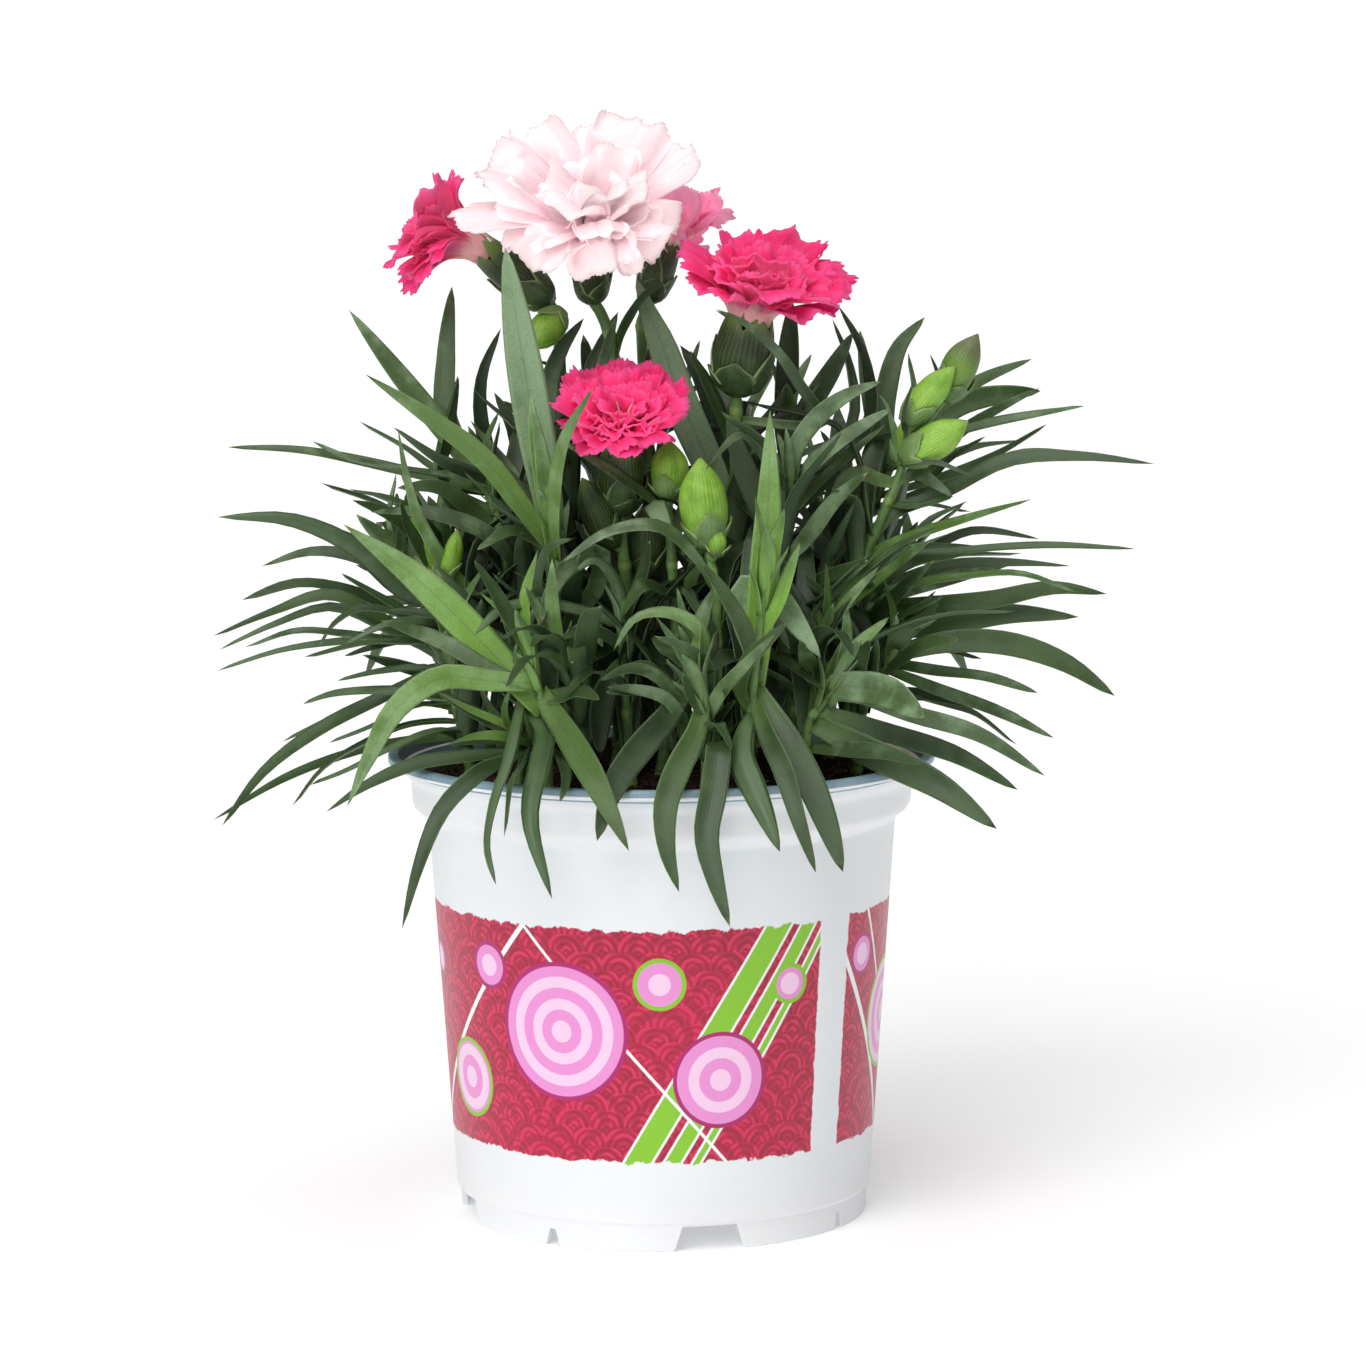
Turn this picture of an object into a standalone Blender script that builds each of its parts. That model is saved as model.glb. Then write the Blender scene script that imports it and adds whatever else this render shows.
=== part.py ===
"""A potted carnation: five open blooms, buds and leafy shoots in a thermoformed nursery pot.

Lengths are written in millimetres and turned into metres by MM. The layout is worked out round
the pot's axis, with the pot's foot at z = 0, X to the right as the plant is seen and Y away from
the viewer. At the end everything is shifted so that the origin is the centre of the base of the
whole plant's box. Places that were read off the view of the plant are written as pixels of that
view with a depth in millimetres, and seen() turns them into points.
"""

import math
import random
from collections import namedtuple

import bmesh
import bpy
from mathutils import Matrix, Vector
from mathutils.bvhtree import BVHTree
from mathutils.kdtree import KDTree

MM = 0.001
SEED = 20

# The view that the pixel places belong to
EYE = Vector((0.0, -1300.0, 304.0))
AIM = Vector((5.2, 0.0, 126.65))
FOCAL_PIXELS = 5522.6
CENTRE_PIXEL = 683.0
ROLL = -0.005
PIXELS_PER_MM = 4.25

# Pot
LIP_RADIUS = 65.0
POT_HEIGHT = 111.0
LIP_HEIGHT = 2.4
LIP_EDGE = 0.6
LIP_TOP_INSET = 2.6
LIP_THROAT_INSET = 3.6
FILLET = ((3.4, 1.0), (4.9, 2.3))
SHOULDER_RADIUS = 59.3
SHOULDER_TOP = 104.6
SHOULDER_FOOT = 98.2
BODY_TOP_RADIUS = 55.6
BODY_TOP = 95.4
BODY_FOOT_RADIUS = 49.5
BODY_FOOT = 6.9
FOOT_RADIUS = 48.5
FOOT_RING_WIDTH = 2.0
FOOT_CREASE = 0.7
POT_WALL = 1.3
FLOOR_UNDERSIDE = 8.0
POT_SIDES = 32
NOTCH_WIDTH = 18.5
NOTCH_TOP_WIDTH = 14.0
NOTCH_HEIGHT = 6.3
NOTCH_DEPTH = 12.0
NICK_WIDTH = 3.6
NICK_TOP_WIDTH = 0.4
NICK_HEIGHT = 4.2
FIRST_NOTCH_TURN = 12.7
DRAIN_RADIUS = 4.5
DRAIN_CIRCLE = 30.0
DRAIN_SIDES = 6
CUTTER_REACH = 2.0

# Soil
SOIL_EDGE = 105.2
SOIL_CENTRE = 107.6
SOIL_GAP = 0.35
SOIL_SIDES = 24
SOIL_DOME = ((28.0, 0.4), (48.0, 1.8))
SOIL_RIM_DROP = 0.9
HOLE_RADIUS = 2.6
HOLE_SIDES = 4
HOLE_DEPTH = 16.0

# Stems
SHOOT_BEVEL_RESOLUTION = 0
STALK_BEVEL_RESOLUTION = 1
SHOOT_FOOT_RADIUS = 1.45
SHOOT_TIP_RADIUS = 0.8
BUD_STALK_TIP_RADIUS = 1.08
FLOWER_STEM_RADIUS = 1.35
STEM_FOOT = SOIL_EDGE - HOLE_DEPTH + 1.5
STEM_COLLAR = SOIL_CENTRE + 1.0

# Leaves
CLEARANCE = 0.36
CLEAR_ABOVE = 0.6
CLEAR_BELOW = 1.6
LEAF_KEEL = 0.95
LEAF_TIP_KEEL = 0.62
LEAF_NARROWEST = 3.9
LEAF_WIDEST_AT = 0.4
LEAF_ROOT_WIDTH = 0.3
LEAF_TAPER = 0.72
LEAST_SIDE = 0.45
ALMOST_PARALLEL = 0.05
GENTLE_BEND = 0.75
STRONG_BEND = 1.7
LOWEST_ROOT = SOIL_CENTRE + 2.6
ROOT_BELOW_BASE_PIXELS = 8.0
BASE_AT_ROOT_PIXELS = 9.0
# Shifts in depth and bulges that a seen leaf may take to stay clear of the others
SLIDES = (0, 4, -4, 8, -8, 12, -12, 17, -17, 23, -23)
BULGES = (0, 5, -5, 10, -10)
# Crossings that a leaf may have with its own shoot's leaves, inside the stem
ROOT_CROSSINGS = 6

# Buds and calyces, as shares of their width and length
BUD_PROFILE = ((0.0, 1.0), (0.26, 0.84), (0.5, 0.52), (0.43, 0.2), (0.0, -0.02))
BUD_SIDES = 6
PEDICEL_RADIUS = 0.85
PEDICEL_DROP = 3.0
PEDICEL_SINK = 0.3
BRACT_TURNS = (0.9, 4.0)
BRACT_PROFILE = ((0.3, 0.0, -0.02), (1.0, 0.5, 0.3), (1.16, 0.5, 0.66))
BRACT_HALF_WIDTH = 0.55
CALYX_PROFILE = ((0.34, 0.86), (0.34, 1.0), (0.46, 1.0), (0.5, 0.6), (0.42, 0.16), (0.0, -0.02))
CALYX_SIDES = 10
CALYX_RIM = 0.44
CALYX_TOOTH_HEIGHT = 0.1
CALYX_TOOTH_SPREAD = 1.05
CALYX_BRACT_LENGTH = 0.62
SOCKET_SHARE = 0.34
SOCKET_DEPTH = 0.14
SOCKET_GAP = 0.45

# Petals
PETAL_THICKNESS = 0.62
PETAL_ROW_SHARES = (0.0, 0.52, 1.0)
PETAL_BOW = 0.2
PETAL_TOOTH = 0.06
PETAL_WAVE = 0.06
PETAL_FAN = 1.3
WIDE_PETAL_PIXELS = 45
WIDE_PETAL_COLUMNS = 6
NARROW_PETAL_COLUMNS = 4
CLAW_WIDTH = 1.5
CLAW_SPREAD = 1.9
CLAW_SINK = 1.6
CLAW_FACES = 2
CORE_RADIUS = 2.5
CORE_GAP = 0.5
CORE_RISE = 0.12
PETAL_TILTS = (0.3, 0.15, 0.45, 0.0, 0.6, -0.2, -0.4)
PETAL_LIFTS = (0.0, 1.5, -1.5, 3.0, -3.0, 4.5)
OTHER_NODE_WEIGHT = 3

# Curves and unions
FINE_STEPS = 10
WELD_DISTANCE = 0.000002
TURN_MERGE_DISTANCE = 0.00001
SHORT_EDGES = (0.7, 0.55, 0.4, 0.25, 0.1)
SHORTEST_CROSSING = 0.01
VOLUME_LOSS = 0.03
NEAREST_VERTICES = 0.002
THINNEST_TRIANGLE = 0.004
LEAST_AGREEMENT = 0.6
VOLUME_FAULT = 1000
OPEN_EDGE_FAULT = 100
TOUCH_FAULT = 10

Leaf = namedtuple("Leaf", "width tip_depth points")
Shoot = namedtuple("Shoot", "name foot stem leaves")
Bud = namedtuple("Bud", "base tip width")
Bloom = namedtuple("Bloom", "name stem calyx_base mouth calyx_width throat facing petals")
Petal = namedtuple("Petal", "tip width layer")

COLOURS = {
    "pot": ((0.83, 0.83, 0.84, 1.0), 0.35),
    "soil": ((0.035, 0.022, 0.016, 1.0), 0.95),
    "shoot": ((0.075, 0.145, 0.065, 1.0), 0.55),
    "stalk": ((0.11, 0.2, 0.07, 1.0), 0.5),
    "pink": ((0.8, 0.02, 0.14, 1.0), 0.6),
    "pale": ((0.9, 0.74, 0.77, 1.0), 0.6),
}


def view_axes():
    """Right, up and forward directions of the view."""
    forward = (AIM - EYE).normalized()
    level_right = forward.cross(Vector((0.0, 0.0, 1.0))).normalized()
    level_up = level_right.cross(forward)
    right = level_right * math.cos(ROLL) + level_up * math.sin(ROLL)
    up = level_up * math.cos(ROLL) - level_right * math.sin(ROLL)
    return right, up, forward


RIGHT, UP, FORWARD = view_axes()


def seen(pixel_x, pixel_y, depth):
    """The point in millimetres that shows at a pixel, at the given depth along Y."""
    ray = FORWARD.copy()
    ray += RIGHT * ((pixel_x - CENTRE_PIXEL) / FOCAL_PIXELS)
    ray += UP * ((CENTRE_PIXEL - pixel_y) / FOCAL_PIXELS)
    return EYE + ray * ((depth - EYE.y) / ray.y)


def pixel_of(point):
    """The pixel at which a point in millimetres shows."""
    ray = point - EYE
    distance = ray.dot(FORWARD)
    across = CENTRE_PIXEL + FOCAL_PIXELS * ray.dot(RIGHT) / distance
    down = CENTRE_PIXEL - FOCAL_PIXELS * ray.dot(UP) / distance
    return Vector((across, down))


# Leafy shoots that the view shows: the foot in the soil (x, y in mm), the stem from low to high
# (pixel x, pixel y, depth in mm), and the leaves (width in pixels, depth of the tip, then pixels
# from the tip to the base, some with a depth of their own)
SHOOTS = (
    Shoot("shoot_left_low", (-45, -16), ((455, 700, -17), (452, 662, -18)), (
        Leaf(14, -22, ((222, 826), (270, 765), (350, 710), (390, 695))),
        Leaf(10, -6, ((213, 820), (310, 765), (380, 745))),
        Leaf(6, -34, ((292, 806), (325, 765), (400, 725))),
        Leaf(7, -12, ((310, 785), (360, 765), (420, 735))),
        Leaf(7, 6, ((282, 742), (390, 695))),
        Leaf(12, -14, ((303, 704), (340, 692), (400, 690))),
        Leaf(6, -28, ((329, 743), (370, 728), (420, 705))),
        Leaf(8, -30, ((337, 681), (400, 668))),
    )),
    Shoot("shoot_left_outer", (-46, 4), ((446, 680, 4), (440, 640, 2)), (
        Leaf(8, -6, ((213, 636), (310, 598), (350, 600), (420, 640))),
        Leaf(9, 4, ((219, 650), (290, 618), (350, 608), (420, 650))),
        Leaf(6, -14, ((245, 647), (300, 630), (400, 640))),
        Leaf(8, 14, ((217, 671), (290, 648), (360, 640))),
        Leaf(8, 22, ((318, 646), (325, 630), (370, 605), (420, 625))),
        Leaf(6, -20, ((304, 657), (360, 642))),
        Leaf(12, -26, ((362, 655), (440, 672))),
        Leaf(7, -12, ((344, 656), (400, 640))),
        Leaf(7, 10, ((341, 573), (365, 587), (420, 620))),
    )),
    Shoot("shoot_left_middle", (-33, 14), ((470, 640, 12), (452, 580, 10), (446, 545, 10)), (
        Leaf(20, 0, ((217, 517), (300, 520), (330, 528), (380, 570), (440, 620))),
        Leaf(14, 16, ((262, 566), (330, 548), (365, 560), (430, 600))),
        Leaf(7, 22, ((370, 529), (410, 535))),
        Leaf(6, 8, ((349, 489), (410, 505))),
        Leaf(12, -2, ((352, 500), (400, 520), (440, 560))),
        Leaf(13, -10, ((242, 600), (310, 582), (390, 605), (450, 645))),
        Leaf(8, -12, ((339, 648), (400, 620), (450, 630))),
        Leaf(15, 30, ((400, 470), (430, 520))),
        Leaf(12, 36, ((330, 600), (400, 600))),
    )),
    Shoot("shoot_left_high", (-29, 0), ((522, 640, 0), (506, 560, 0), (488, 478, 2)), (
        Leaf(20, 4, ((349, 310), (370, 340), (400, 375), (440, 425), (480, 480))),
        Leaf(20, 12, ((452, 286), (447, 340), (447, 420))),
        Leaf(10, -6, ((459, 377), (452, 420), (443, 490))),
        Leaf(11, 2, ((227, 447), (320, 452), (420, 478), (470, 510))),
        Leaf(8, 16, ((312, 441), (340, 455), (420, 470))),
        Leaf(5, 22, ((359, 421), (395, 440), (440, 470))),
        Leaf(10, -10, ((393, 427), (440, 460))),
        Leaf(8, -16, ((396, 430), (405, 480), (430, 560), (480, 620))),
        Leaf(14, -12, ((397, 488), (420, 486), (450, 492), (500, 530))),
        Leaf(13, -8, ((370, 512), (430, 512), (490, 535), (520, 575))),
        Leaf(12, -20, ((430, 560), (460, 590), (510, 640))),
    )),
    Shoot("shoot_front_left", (-33, -36), ((530, 730, -40), (524, 690, -42)), (
        Leaf(15, -76, ((402, 929, -76), (430, 830, -74), (462, 790, -66), (500, 757, -56))),
        Leaf(10, -46, ((449, 744), (500, 738))),
        Leaf(11, -34, ((437, 692), (500, 725))),
        Leaf(11, -44, ((326, 812), (400, 768), (490, 755))),
        Leaf(11, -78, ((496, 885, -79), (486, 835, -78), (497, 792, -73), (510, 757, -61))),
        Leaf(10, -70, ((504, 837, -71), (505, 800, -70), (514, 775, -64), (522, 742, -52))),
        Leaf(19, -76, ((552, 899, -75), (530, 820, -73), (536, 778, -67), (545, 735, -54))),
        Leaf(14, -20, ((430, 640), (480, 660), (520, 700))),
    )),
    Shoot("shoot_front_bright", (-26, -45), ((548, 735, -47), (542, 700, -50), (530, 655, -50)), (
        Leaf(30, -40, ((343, 524), (400, 565), (430, 590), (490, 650), (540, 700))),
        Leaf(22, -66, ((347, 807), (375, 745), (400, 705), (460, 672), (520, 695))),
        Leaf(24, -76, ((629, 851, -76), (602, 795, -72), (585, 764, -65), (552, 712, -54))),
        Leaf(13, -30, ((380, 620), (440, 640), (510, 680))),
        Leaf(10, -58, ((474, 560), (500, 600), (524, 650))),
        Leaf(14, -66, ((600, 700), (575, 690))),
        Leaf(9, -70, ((560, 802, -70), (566, 785, -66), (560, 750, -56))),
    )),
    Shoot("shoot_hero_leaf", (-22, -22), ((567, 700, -24), (560, 600, -26), (553, 525, -28)), (
        Leaf(34, -24, ((505, 247), (520, 340), (548, 530))),
        Leaf(14, -34, ((531, 395), (541, 450), (552, 530))),
        Leaf(13, -20, ((500, 460), (530, 505), (552, 540))),
        Leaf(12, -46, ((594, 386, -52), (560, 450), (553, 490), (562, 560))),
        Leaf(19, -18, ((365, 374), (430, 418), (490, 465), (545, 540))),
        Leaf(12, -40, ((477, 550), (515, 530), (550, 550))),
        Leaf(10, -40, ((575, 538), (550, 545), (537, 590), (556, 620))),
        Leaf(18, -52, ((539, 626), (560, 575), (600, 553), (590, 600))),
        Leaf(22, -46, ((500, 622), (530, 605), (560, 640))),
        Leaf(14, -10, ((470, 420), (510, 470), (550, 540))),
    )),
    Shoot("shoot_centre_tuft", (-7, -31), ((626, 700, -34), (622, 640, -36), (622, 600, -37)), (
        Leaf(12, -58, ((475, 635), (520, 602), (610, 618))),
        Leaf(14, -54, ((560, 640), (590, 628), (620, 640))),
        Leaf(10, -44, ((575, 572), (598, 560), (620, 590))),
        Leaf(9, -30, ((601, 576), (628, 610))),
        Leaf(9, -56, ((629, 663), (630, 630), (624, 650))),
        Leaf(9, -22, ((680, 597), (640, 585), (624, 610))),
        Leaf(22, -44, ((600, 755), (603, 700), (622, 660))),
        Leaf(12, -60, ((560, 700), (590, 670), (620, 680))),
        Leaf(14, -30, ((650, 540), (640, 580), (622, 620))),
    )),
    Shoot("shoot_centre_front", (3, -41), ((684, 735, -44), (688, 700, -46), (690, 672, -47)), (
        Leaf(25, -75, ((597, 841, -75), (612, 790, -72), (634, 757, -64), (672, 712, -54))),
        Leaf(11, -62, ((613, 651), (645, 612), (700, 628), (700, 690))),
        Leaf(9, -62, ((600, 681), (645, 665), (680, 690))),
        Leaf(9, -66, ((606, 692), (660, 695), (684, 715))),
        Leaf(7, -44, ((695, 655), (675, 665), (684, 700))),
        Leaf(10, -36, ((652, 637), (680, 660))),
        Leaf(12, -40, ((680, 586), (713, 635), (695, 680))),
        Leaf(8, -58, ((727, 690), (700, 715))),
    )),
    Shoot("shoot_front_middle", (10, -50), ((706, 740, -52), (706, 715, -53), (700, 690, -54)), (
        Leaf(23, -76, ((679, 892, -76), (667, 850, -74), (668, 795, -70), (700, 728, -58))),
        Leaf(27, -78, ((730, 927, -77), (707, 845, -75), (714, 790, -70), (718, 735, -60))),
        Leaf(10, -64, ((732, 749), (718, 722))),
        Leaf(9, -66, ((683, 676), (694, 700))),
        Leaf(8, -50, ((735, 700), (715, 722))),
    )),
    Shoot("shoot_front_tall", (20, -43), ((750, 730, -46), (756, 660, -48), (766, 580, -50)), (
        Leaf(27, -46, ((770, 410), (769, 500), (762, 600), (752, 700))),
        Leaf(12, -54, ((767, 540), (764, 600))),
        Leaf(14, -44, ((800, 543), (778, 600), (760, 660))),
        Leaf(14, -60, ((788, 622), (745, 665), (740, 700))),
        Leaf(24, -76, ((780, 852, -75), (757, 795, -72), (742, 765, -65), (742, 735, -56))),
        Leaf(18, -74, ((816, 873, -74), (792, 800, -71), (780, 762, -64), (760, 725, -54))),
        Leaf(26, -75, ((843, 872, -76), (818, 800, -72), (790, 745, -63), (765, 712, -52))),
        Leaf(14, -56, ((700, 560), (735, 610), (755, 660))),
        Leaf(26, -56, ((821, 658), (775, 598), (740, 594), (757, 650))),
    )),
    Shoot("shoot_right_low", (34, -33), ((808, 725, -35), (826, 700, -36), (836, 680, -37)), (
        Leaf(27, -52, ((997, 829), (930, 780), (880, 757), (830, 735))),
        Leaf(18, -36, ((1018, 790), (970, 760), (880, 730))),
        Leaf(16, -44, ((1045, 776), (970, 730), (880, 705))),
        Leaf(12, -56, ((924, 765), (860, 748))),
        Leaf(30, -60, ((925, 718), (880, 690), (820, 690))),
        Leaf(14, -60, ((870, 640), (850, 680))),
        Leaf(10, -20, ((930, 700), (870, 690))),
        Leaf(16, -62, ((800, 640), (815, 680))),
    )),
    Shoot("shoot_right_outer", (46, -13), ((866, 700, -14), (884, 672, -14), (890, 655, -14)), (
        Leaf(22, -16, ((1115, 696), (1050, 655), (980, 640), (930, 645))),
        Leaf(12, -30, ((1038, 693), (980, 675), (905, 668))),
        Leaf(12, -8, ((1054, 738), (960, 695), (890, 683))),
        Leaf(14, 4, ((1020, 715), (960, 700), (890, 690))),
        Leaf(6, 8, ((1017, 745), (980, 715), (900, 690))),
        Leaf(12, -38, ((960, 640), (920, 645), (890, 670))),
        Leaf(16, 14, ((940, 600), (900, 640))),
    )),
    Shoot("shoot_right_middle", (40, 8), ((832, 690, 6), (850, 640, 4), (868, 600, 4)), (
        Leaf(22, 0, ((1079, 617), (1020, 612), (940, 625))),
        Leaf(17, 12, ((1107, 594), (1040, 588), (960, 605))),
        Leaf(9, -12, ((1080, 593), (1010, 572), (900, 586))),
        Leaf(14, -24, ((935, 560), (890, 600), (860, 640))),
        Leaf(8, -30, ((943, 596), (885, 620))),
        Leaf(11, 20, ((1071, 566), (970, 562), (900, 580))),
        Leaf(20, 6, ((982, 548), (900, 560))),
        Leaf(16, 34, ((1020, 560), (940, 580))),
        Leaf(14, -30, ((800, 570), (830, 600), (848, 650))),
    )),
    Shoot("shoot_right_high", (34, 24), ((830, 640, 22), (868, 520, 20), (905, 440, 20)), (
        Leaf(14, 12, ((1032, 359), (980, 380), (940, 405))),
        Leaf(22, 24, ((1041, 391), (970, 400), (915, 435))),
        Leaf(9, 34, ((1085, 406), (1000, 420), (925, 440))),
        Leaf(8, 8, ((1047, 424), (980, 462), (900, 490))),
        Leaf(7, 40, ((1020, 440), (960, 450), (900, 480))),
        Leaf(7, 30, ((1075, 451), (1020, 452), (900, 500))),
        Leaf(20, 34, ((925, 317), (893, 360), (884, 440))),
        Leaf(14, 44, ((860, 330), (870, 400), (880, 470))),
        Leaf(12, 2, ((820, 430), (850, 480), (868, 530))),
    )),
    Shoot("shoot_inner_right", (21, -12), ((772, 640, -14), (782, 560, -15), (790, 490, -16)), (
        Leaf(17, -20, ((882, 381), (830, 405), (795, 450))),
        Leaf(16, -12, ((892, 408), (840, 440), (795, 480))),
        Leaf(9, -4, ((885, 425), (830, 470), (790, 510))),
        Leaf(14, -28, ((868, 472), (835, 500), (790, 560))),
        Leaf(22, -20, ((727, 416), (745, 470), (782, 550))),
        Leaf(10, -28, ((705, 470), (740, 435), (780, 480))),
        Leaf(20, -24, ((912, 545), (850, 580), (785, 620))),
        Leaf(12, -34, ((868, 560), (820, 580), (785, 600))),
    )),
    Shoot("shoot_inner_back", (17, 16), ((766, 640, 16), (778, 520, 16), (786, 430, 16)), (
        Leaf(22, 18, ((792, 300), (788, 360), (784, 440))),
        Leaf(20, 10, ((853, 332), (820, 390), (786, 440))),
        Leaf(10, 22, ((832, 318), (855, 390), (840, 450), (788, 480))),
        Leaf(9, 10, ((715, 310), (770, 345), (805, 390), (800, 450))),
        Leaf(11, 30, ((838, 305), (868, 370), (860, 450), (790, 500))),
        Leaf(20, 30, ((700, 400), (740, 450), (775, 510))),
        Leaf(18, 4, ((740, 480), (760, 520), (770, 580))),
    )),
)

# Stalks that carry buds, with the buds' bases and tips
BUD_STALKS = (
    Shoot("stalk_right_buds", (32, -4), (
        (800, 690, -4), (845, 600, -6), (885, 510, -8), (904, 462, -8), (908, 436, -8)), (
        Leaf(13, -20, ((1155, 464), (1080, 456), (1000, 462), (905, 515))),
        Leaf(11, -30, ((1032, 499), (970, 517), (870, 550))),
        Leaf(11, -2, ((1136, 549), (1010, 545), (890, 560))),
        Leaf(16, -34, ((930, 541), (890, 565), (845, 605))),
        Leaf(14, -16, ((825, 514), (850, 475), (880, 480))),
        Leaf(8, -18, ((953, 496), (915, 505))),
    )),
    Shoot("stalk_big_bud", (12, -25), (
        (718, 700, -30), (717, 640, -33), (716, 595, -35), (708, 548, -35)), (
        Leaf(12, -52, ((563, 562), (620, 527), (680, 535), (714, 595))),
        Leaf(10, -30, ((740, 560), (720, 590))),
        Leaf(12, -46, ((790, 650), (760, 600), (720, 610))),
    )),
    Shoot("stalk_round_bud", (0, -19), (
        (676, 680, -22), (674, 600, -25), (668, 500, -27)), (
        Leaf(9, -44, ((560, 441), (620, 475), (664, 510))),
        Leaf(20, -40, ((672, 540), (655, 505), (664, 520))),
        Leaf(14, -14, ((720, 450), (690, 500), (672, 540))),
    )),
    Shoot("stalk_dark_bud", (-5, -6), (
        (652, 680, -9), (650, 620, -12), (646, 574, -14)), (
        Leaf(14, -6, ((600, 470), (630, 530), (650, 600))),
        Leaf(12, -2, ((700, 520), (670, 560), (652, 610))),
    )),
    Shoot("stalk_left_buds", (-40, -4), (
        (476, 680, -6), (462, 620, -8), (440, 578, -8)), (
        Leaf(9, -18, ((400, 500), (415, 540), (440, 580))),
        Leaf(8, 0, ((470, 500), (458, 545), (444, 585))),
    )),
)
BUDS = {
    "stalk_right_buds": (
        Bud((945, 400, -8), (978, 334, -8), 36), Bud((905, 422, -13), (955, 366, -13), 31),
        Bud((903, 460, -14), (968, 421, -17), 37), Bud((897, 462, -4), (907, 416, -4), 17)),
    "stalk_big_bud": (
        Bud((708, 546, -35), (700, 458, -37), 48), Bud((716, 556, -38), (719, 528, -39), 18)),
    "stalk_round_bud": (Bud((668, 497, -27), (669, 440, -28), 38),),
    "stalk_dark_bud": (Bud((645, 576, -14), (647, 505, -14), 38),),
    "stalk_left_buds": (
        Bud((438, 580, -8), (412, 512, -10), 22), Bud((444, 582, -12), (458, 528, -14), 20),
        Bud((430, 580, -2), (428, 540, -2), 18)),
}

# Blooms: stem pixels from low to high, calyx base and mouth, calyx width, the point in the
# throat, the direction the bloom faces, and the petals' tips with width and layer
BLOOMS = (
    Bloom("pale", (-8, 11, ((616, 640, 10), (612, 480, 9), (614, 360, 9), (603, 318, 9))),
          (592, 300, 8), (592, 246, 1), 36, (597, 200, -6), (0.0, -0.62, 0.78), (
        Petal((480, 170, -8), 69, 0), Petal((452, 224, -16), 38, 0), Petal((524, 262, -22), 69, 0),
        Petal((604, 280, -27), 58, 0), Petal((654, 256, -20), 63, 0), Petal((680, 222, -10), 49, 0),
        Petal((694, 150, 4), 52, 0), Petal((645, 118, 10), 67, 0), Petal((584, 124, 12), 60, 0),
        Petal((520, 136, 6), 65, 0), Petal((545, 176, -10), 52, 1), Petal((560, 214, -20), 43, 1),
        Petal((606, 234, -24), 43, 1), Petal((650, 186, -12), 49, 1), Petal((610, 146, 0), 49, 1),
        Petal((584, 182, -16), 31, 2), Petal((618, 192, -18), 31, 2))),
    Bloom("pink_left", (-19, 17, ((575, 640, 16), (566, 480, 14), (560, 360, 12), (556, 318, 11))),
          (549, 303, 10), (484, 250, 5), 40, (452, 240, 2), (-0.9, -0.14, 0.4), (
        Petal((462, 176, 2), 51, 0), Petal((424, 196, -14), 49, 0), Petal((398, 256, -14), 46, 0),
        Petal((404, 294, 0), 46, 0), Petal((428, 276, -16), 40, 0), Petal((430, 192, 14), 46, 0),
        Petal((408, 236, 14), 46, 0), Petal((414, 224, -6), 38, 1), Petal((420, 262, 4), 35, 1))),
    Bloom("pink_back", (-1, 30, ((655, 640, 28), (650, 480, 27), (642, 340, 26), (645, 312, 26))),
          (648, 300, 26), (668, 244, 30), 34, (682, 220, 34), (0.55, 0.5, 0.6), (
        Petal((674, 184, 26), 49, 0), Petal((712, 188, 38), 49, 0), Petal((726, 226, 36), 49, 0),
        Petal((704, 254, 24), 46, 0), Petal((668, 250, 26), 46, 0), Petal((690, 200, 50), 46, 0),
        Petal((700, 216, 30), 38, 1), Petal((690, 232, 28), 35, 1))),
    Bloom("pink_right", (11, 1, ((728, 640, 0), (734, 520, -2), (736, 420, -4))),
          (736, 392, -5), (750, 318, -9), 60, (762, 290, -11), (0.16, -0.3, 0.94), (
        Petal((678, 250, -10), 59, 0), Petal((700, 288, -22), 57, 0), Petal((812, 322, -24), 59, 0),
        Petal((848, 300, -14), 59, 0), Petal((844, 268, 2), 57, 0), Petal((806, 240, 12), 57, 0),
        Petal((750, 234, 12), 57, 0), Petal((770, 300, -32), 54, 0), Petal((724, 262, -6), 49, 1),
        Petal((800, 268, -10), 49, 1), Petal((760, 260, -18), 43, 1))),
    Bloom("pink_front", (-11, -14, ((636, 700, -17), (628, 600, -19), (622, 540, -21))),
          (621, 512, -22), (621, 446, -27), 46, (622, 424, -30), (0.0, -0.58, 0.81), (
        Petal((556, 394, -26), 54, 0), Petal((570, 434, -38), 51, 0), Petal((606, 456, -45), 51, 0),
        Petal((648, 448, -43), 51, 0), Petal((688, 412, -32), 51, 0), Petal((678, 376, -20), 51, 0),
        Petal((634, 360, -14), 51, 0), Petal((588, 366, -16), 51, 0), Petal((594, 400, -34), 43, 1),
        Petal((648, 404, -34), 43, 1), Petal((622, 388, -26), 40, 1))),
)
# Buds and bract-like leaves on the bloom stems
BLOOM_SIDE_BUDS = {
    "pink_left": (Bud((561, 312, 8), (528, 348, 2), 34),),
    "pink_front": (Bud((612, 545, -22), (582, 478, -27), 36),),
}
BLOOM_STEM_LEAVES = {
    "pale": (
        Leaf(10, 0, ((664, 282), (640, 300), (614, 345))),
        Leaf(12, 18, ((580, 380), (600, 420)))),
    "pink_left": (Leaf(14, 4, ((500, 400), (540, 430), (566, 480))),),
    "pink_back": (
        Leaf(20, 30, ((640, 285), (660, 360), (652, 440))),
        Leaf(12, 36, ((700, 340), (670, 420)))),
    "pink_right": (
        Leaf(10, -10, ((690, 350), (715, 400), (735, 450))),
        Leaf(10, 6, ((785, 389), (760, 425)))),
    "pink_front": (Leaf(12, -14, ((575, 520), (600, 560), (628, 610))),),
}

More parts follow.
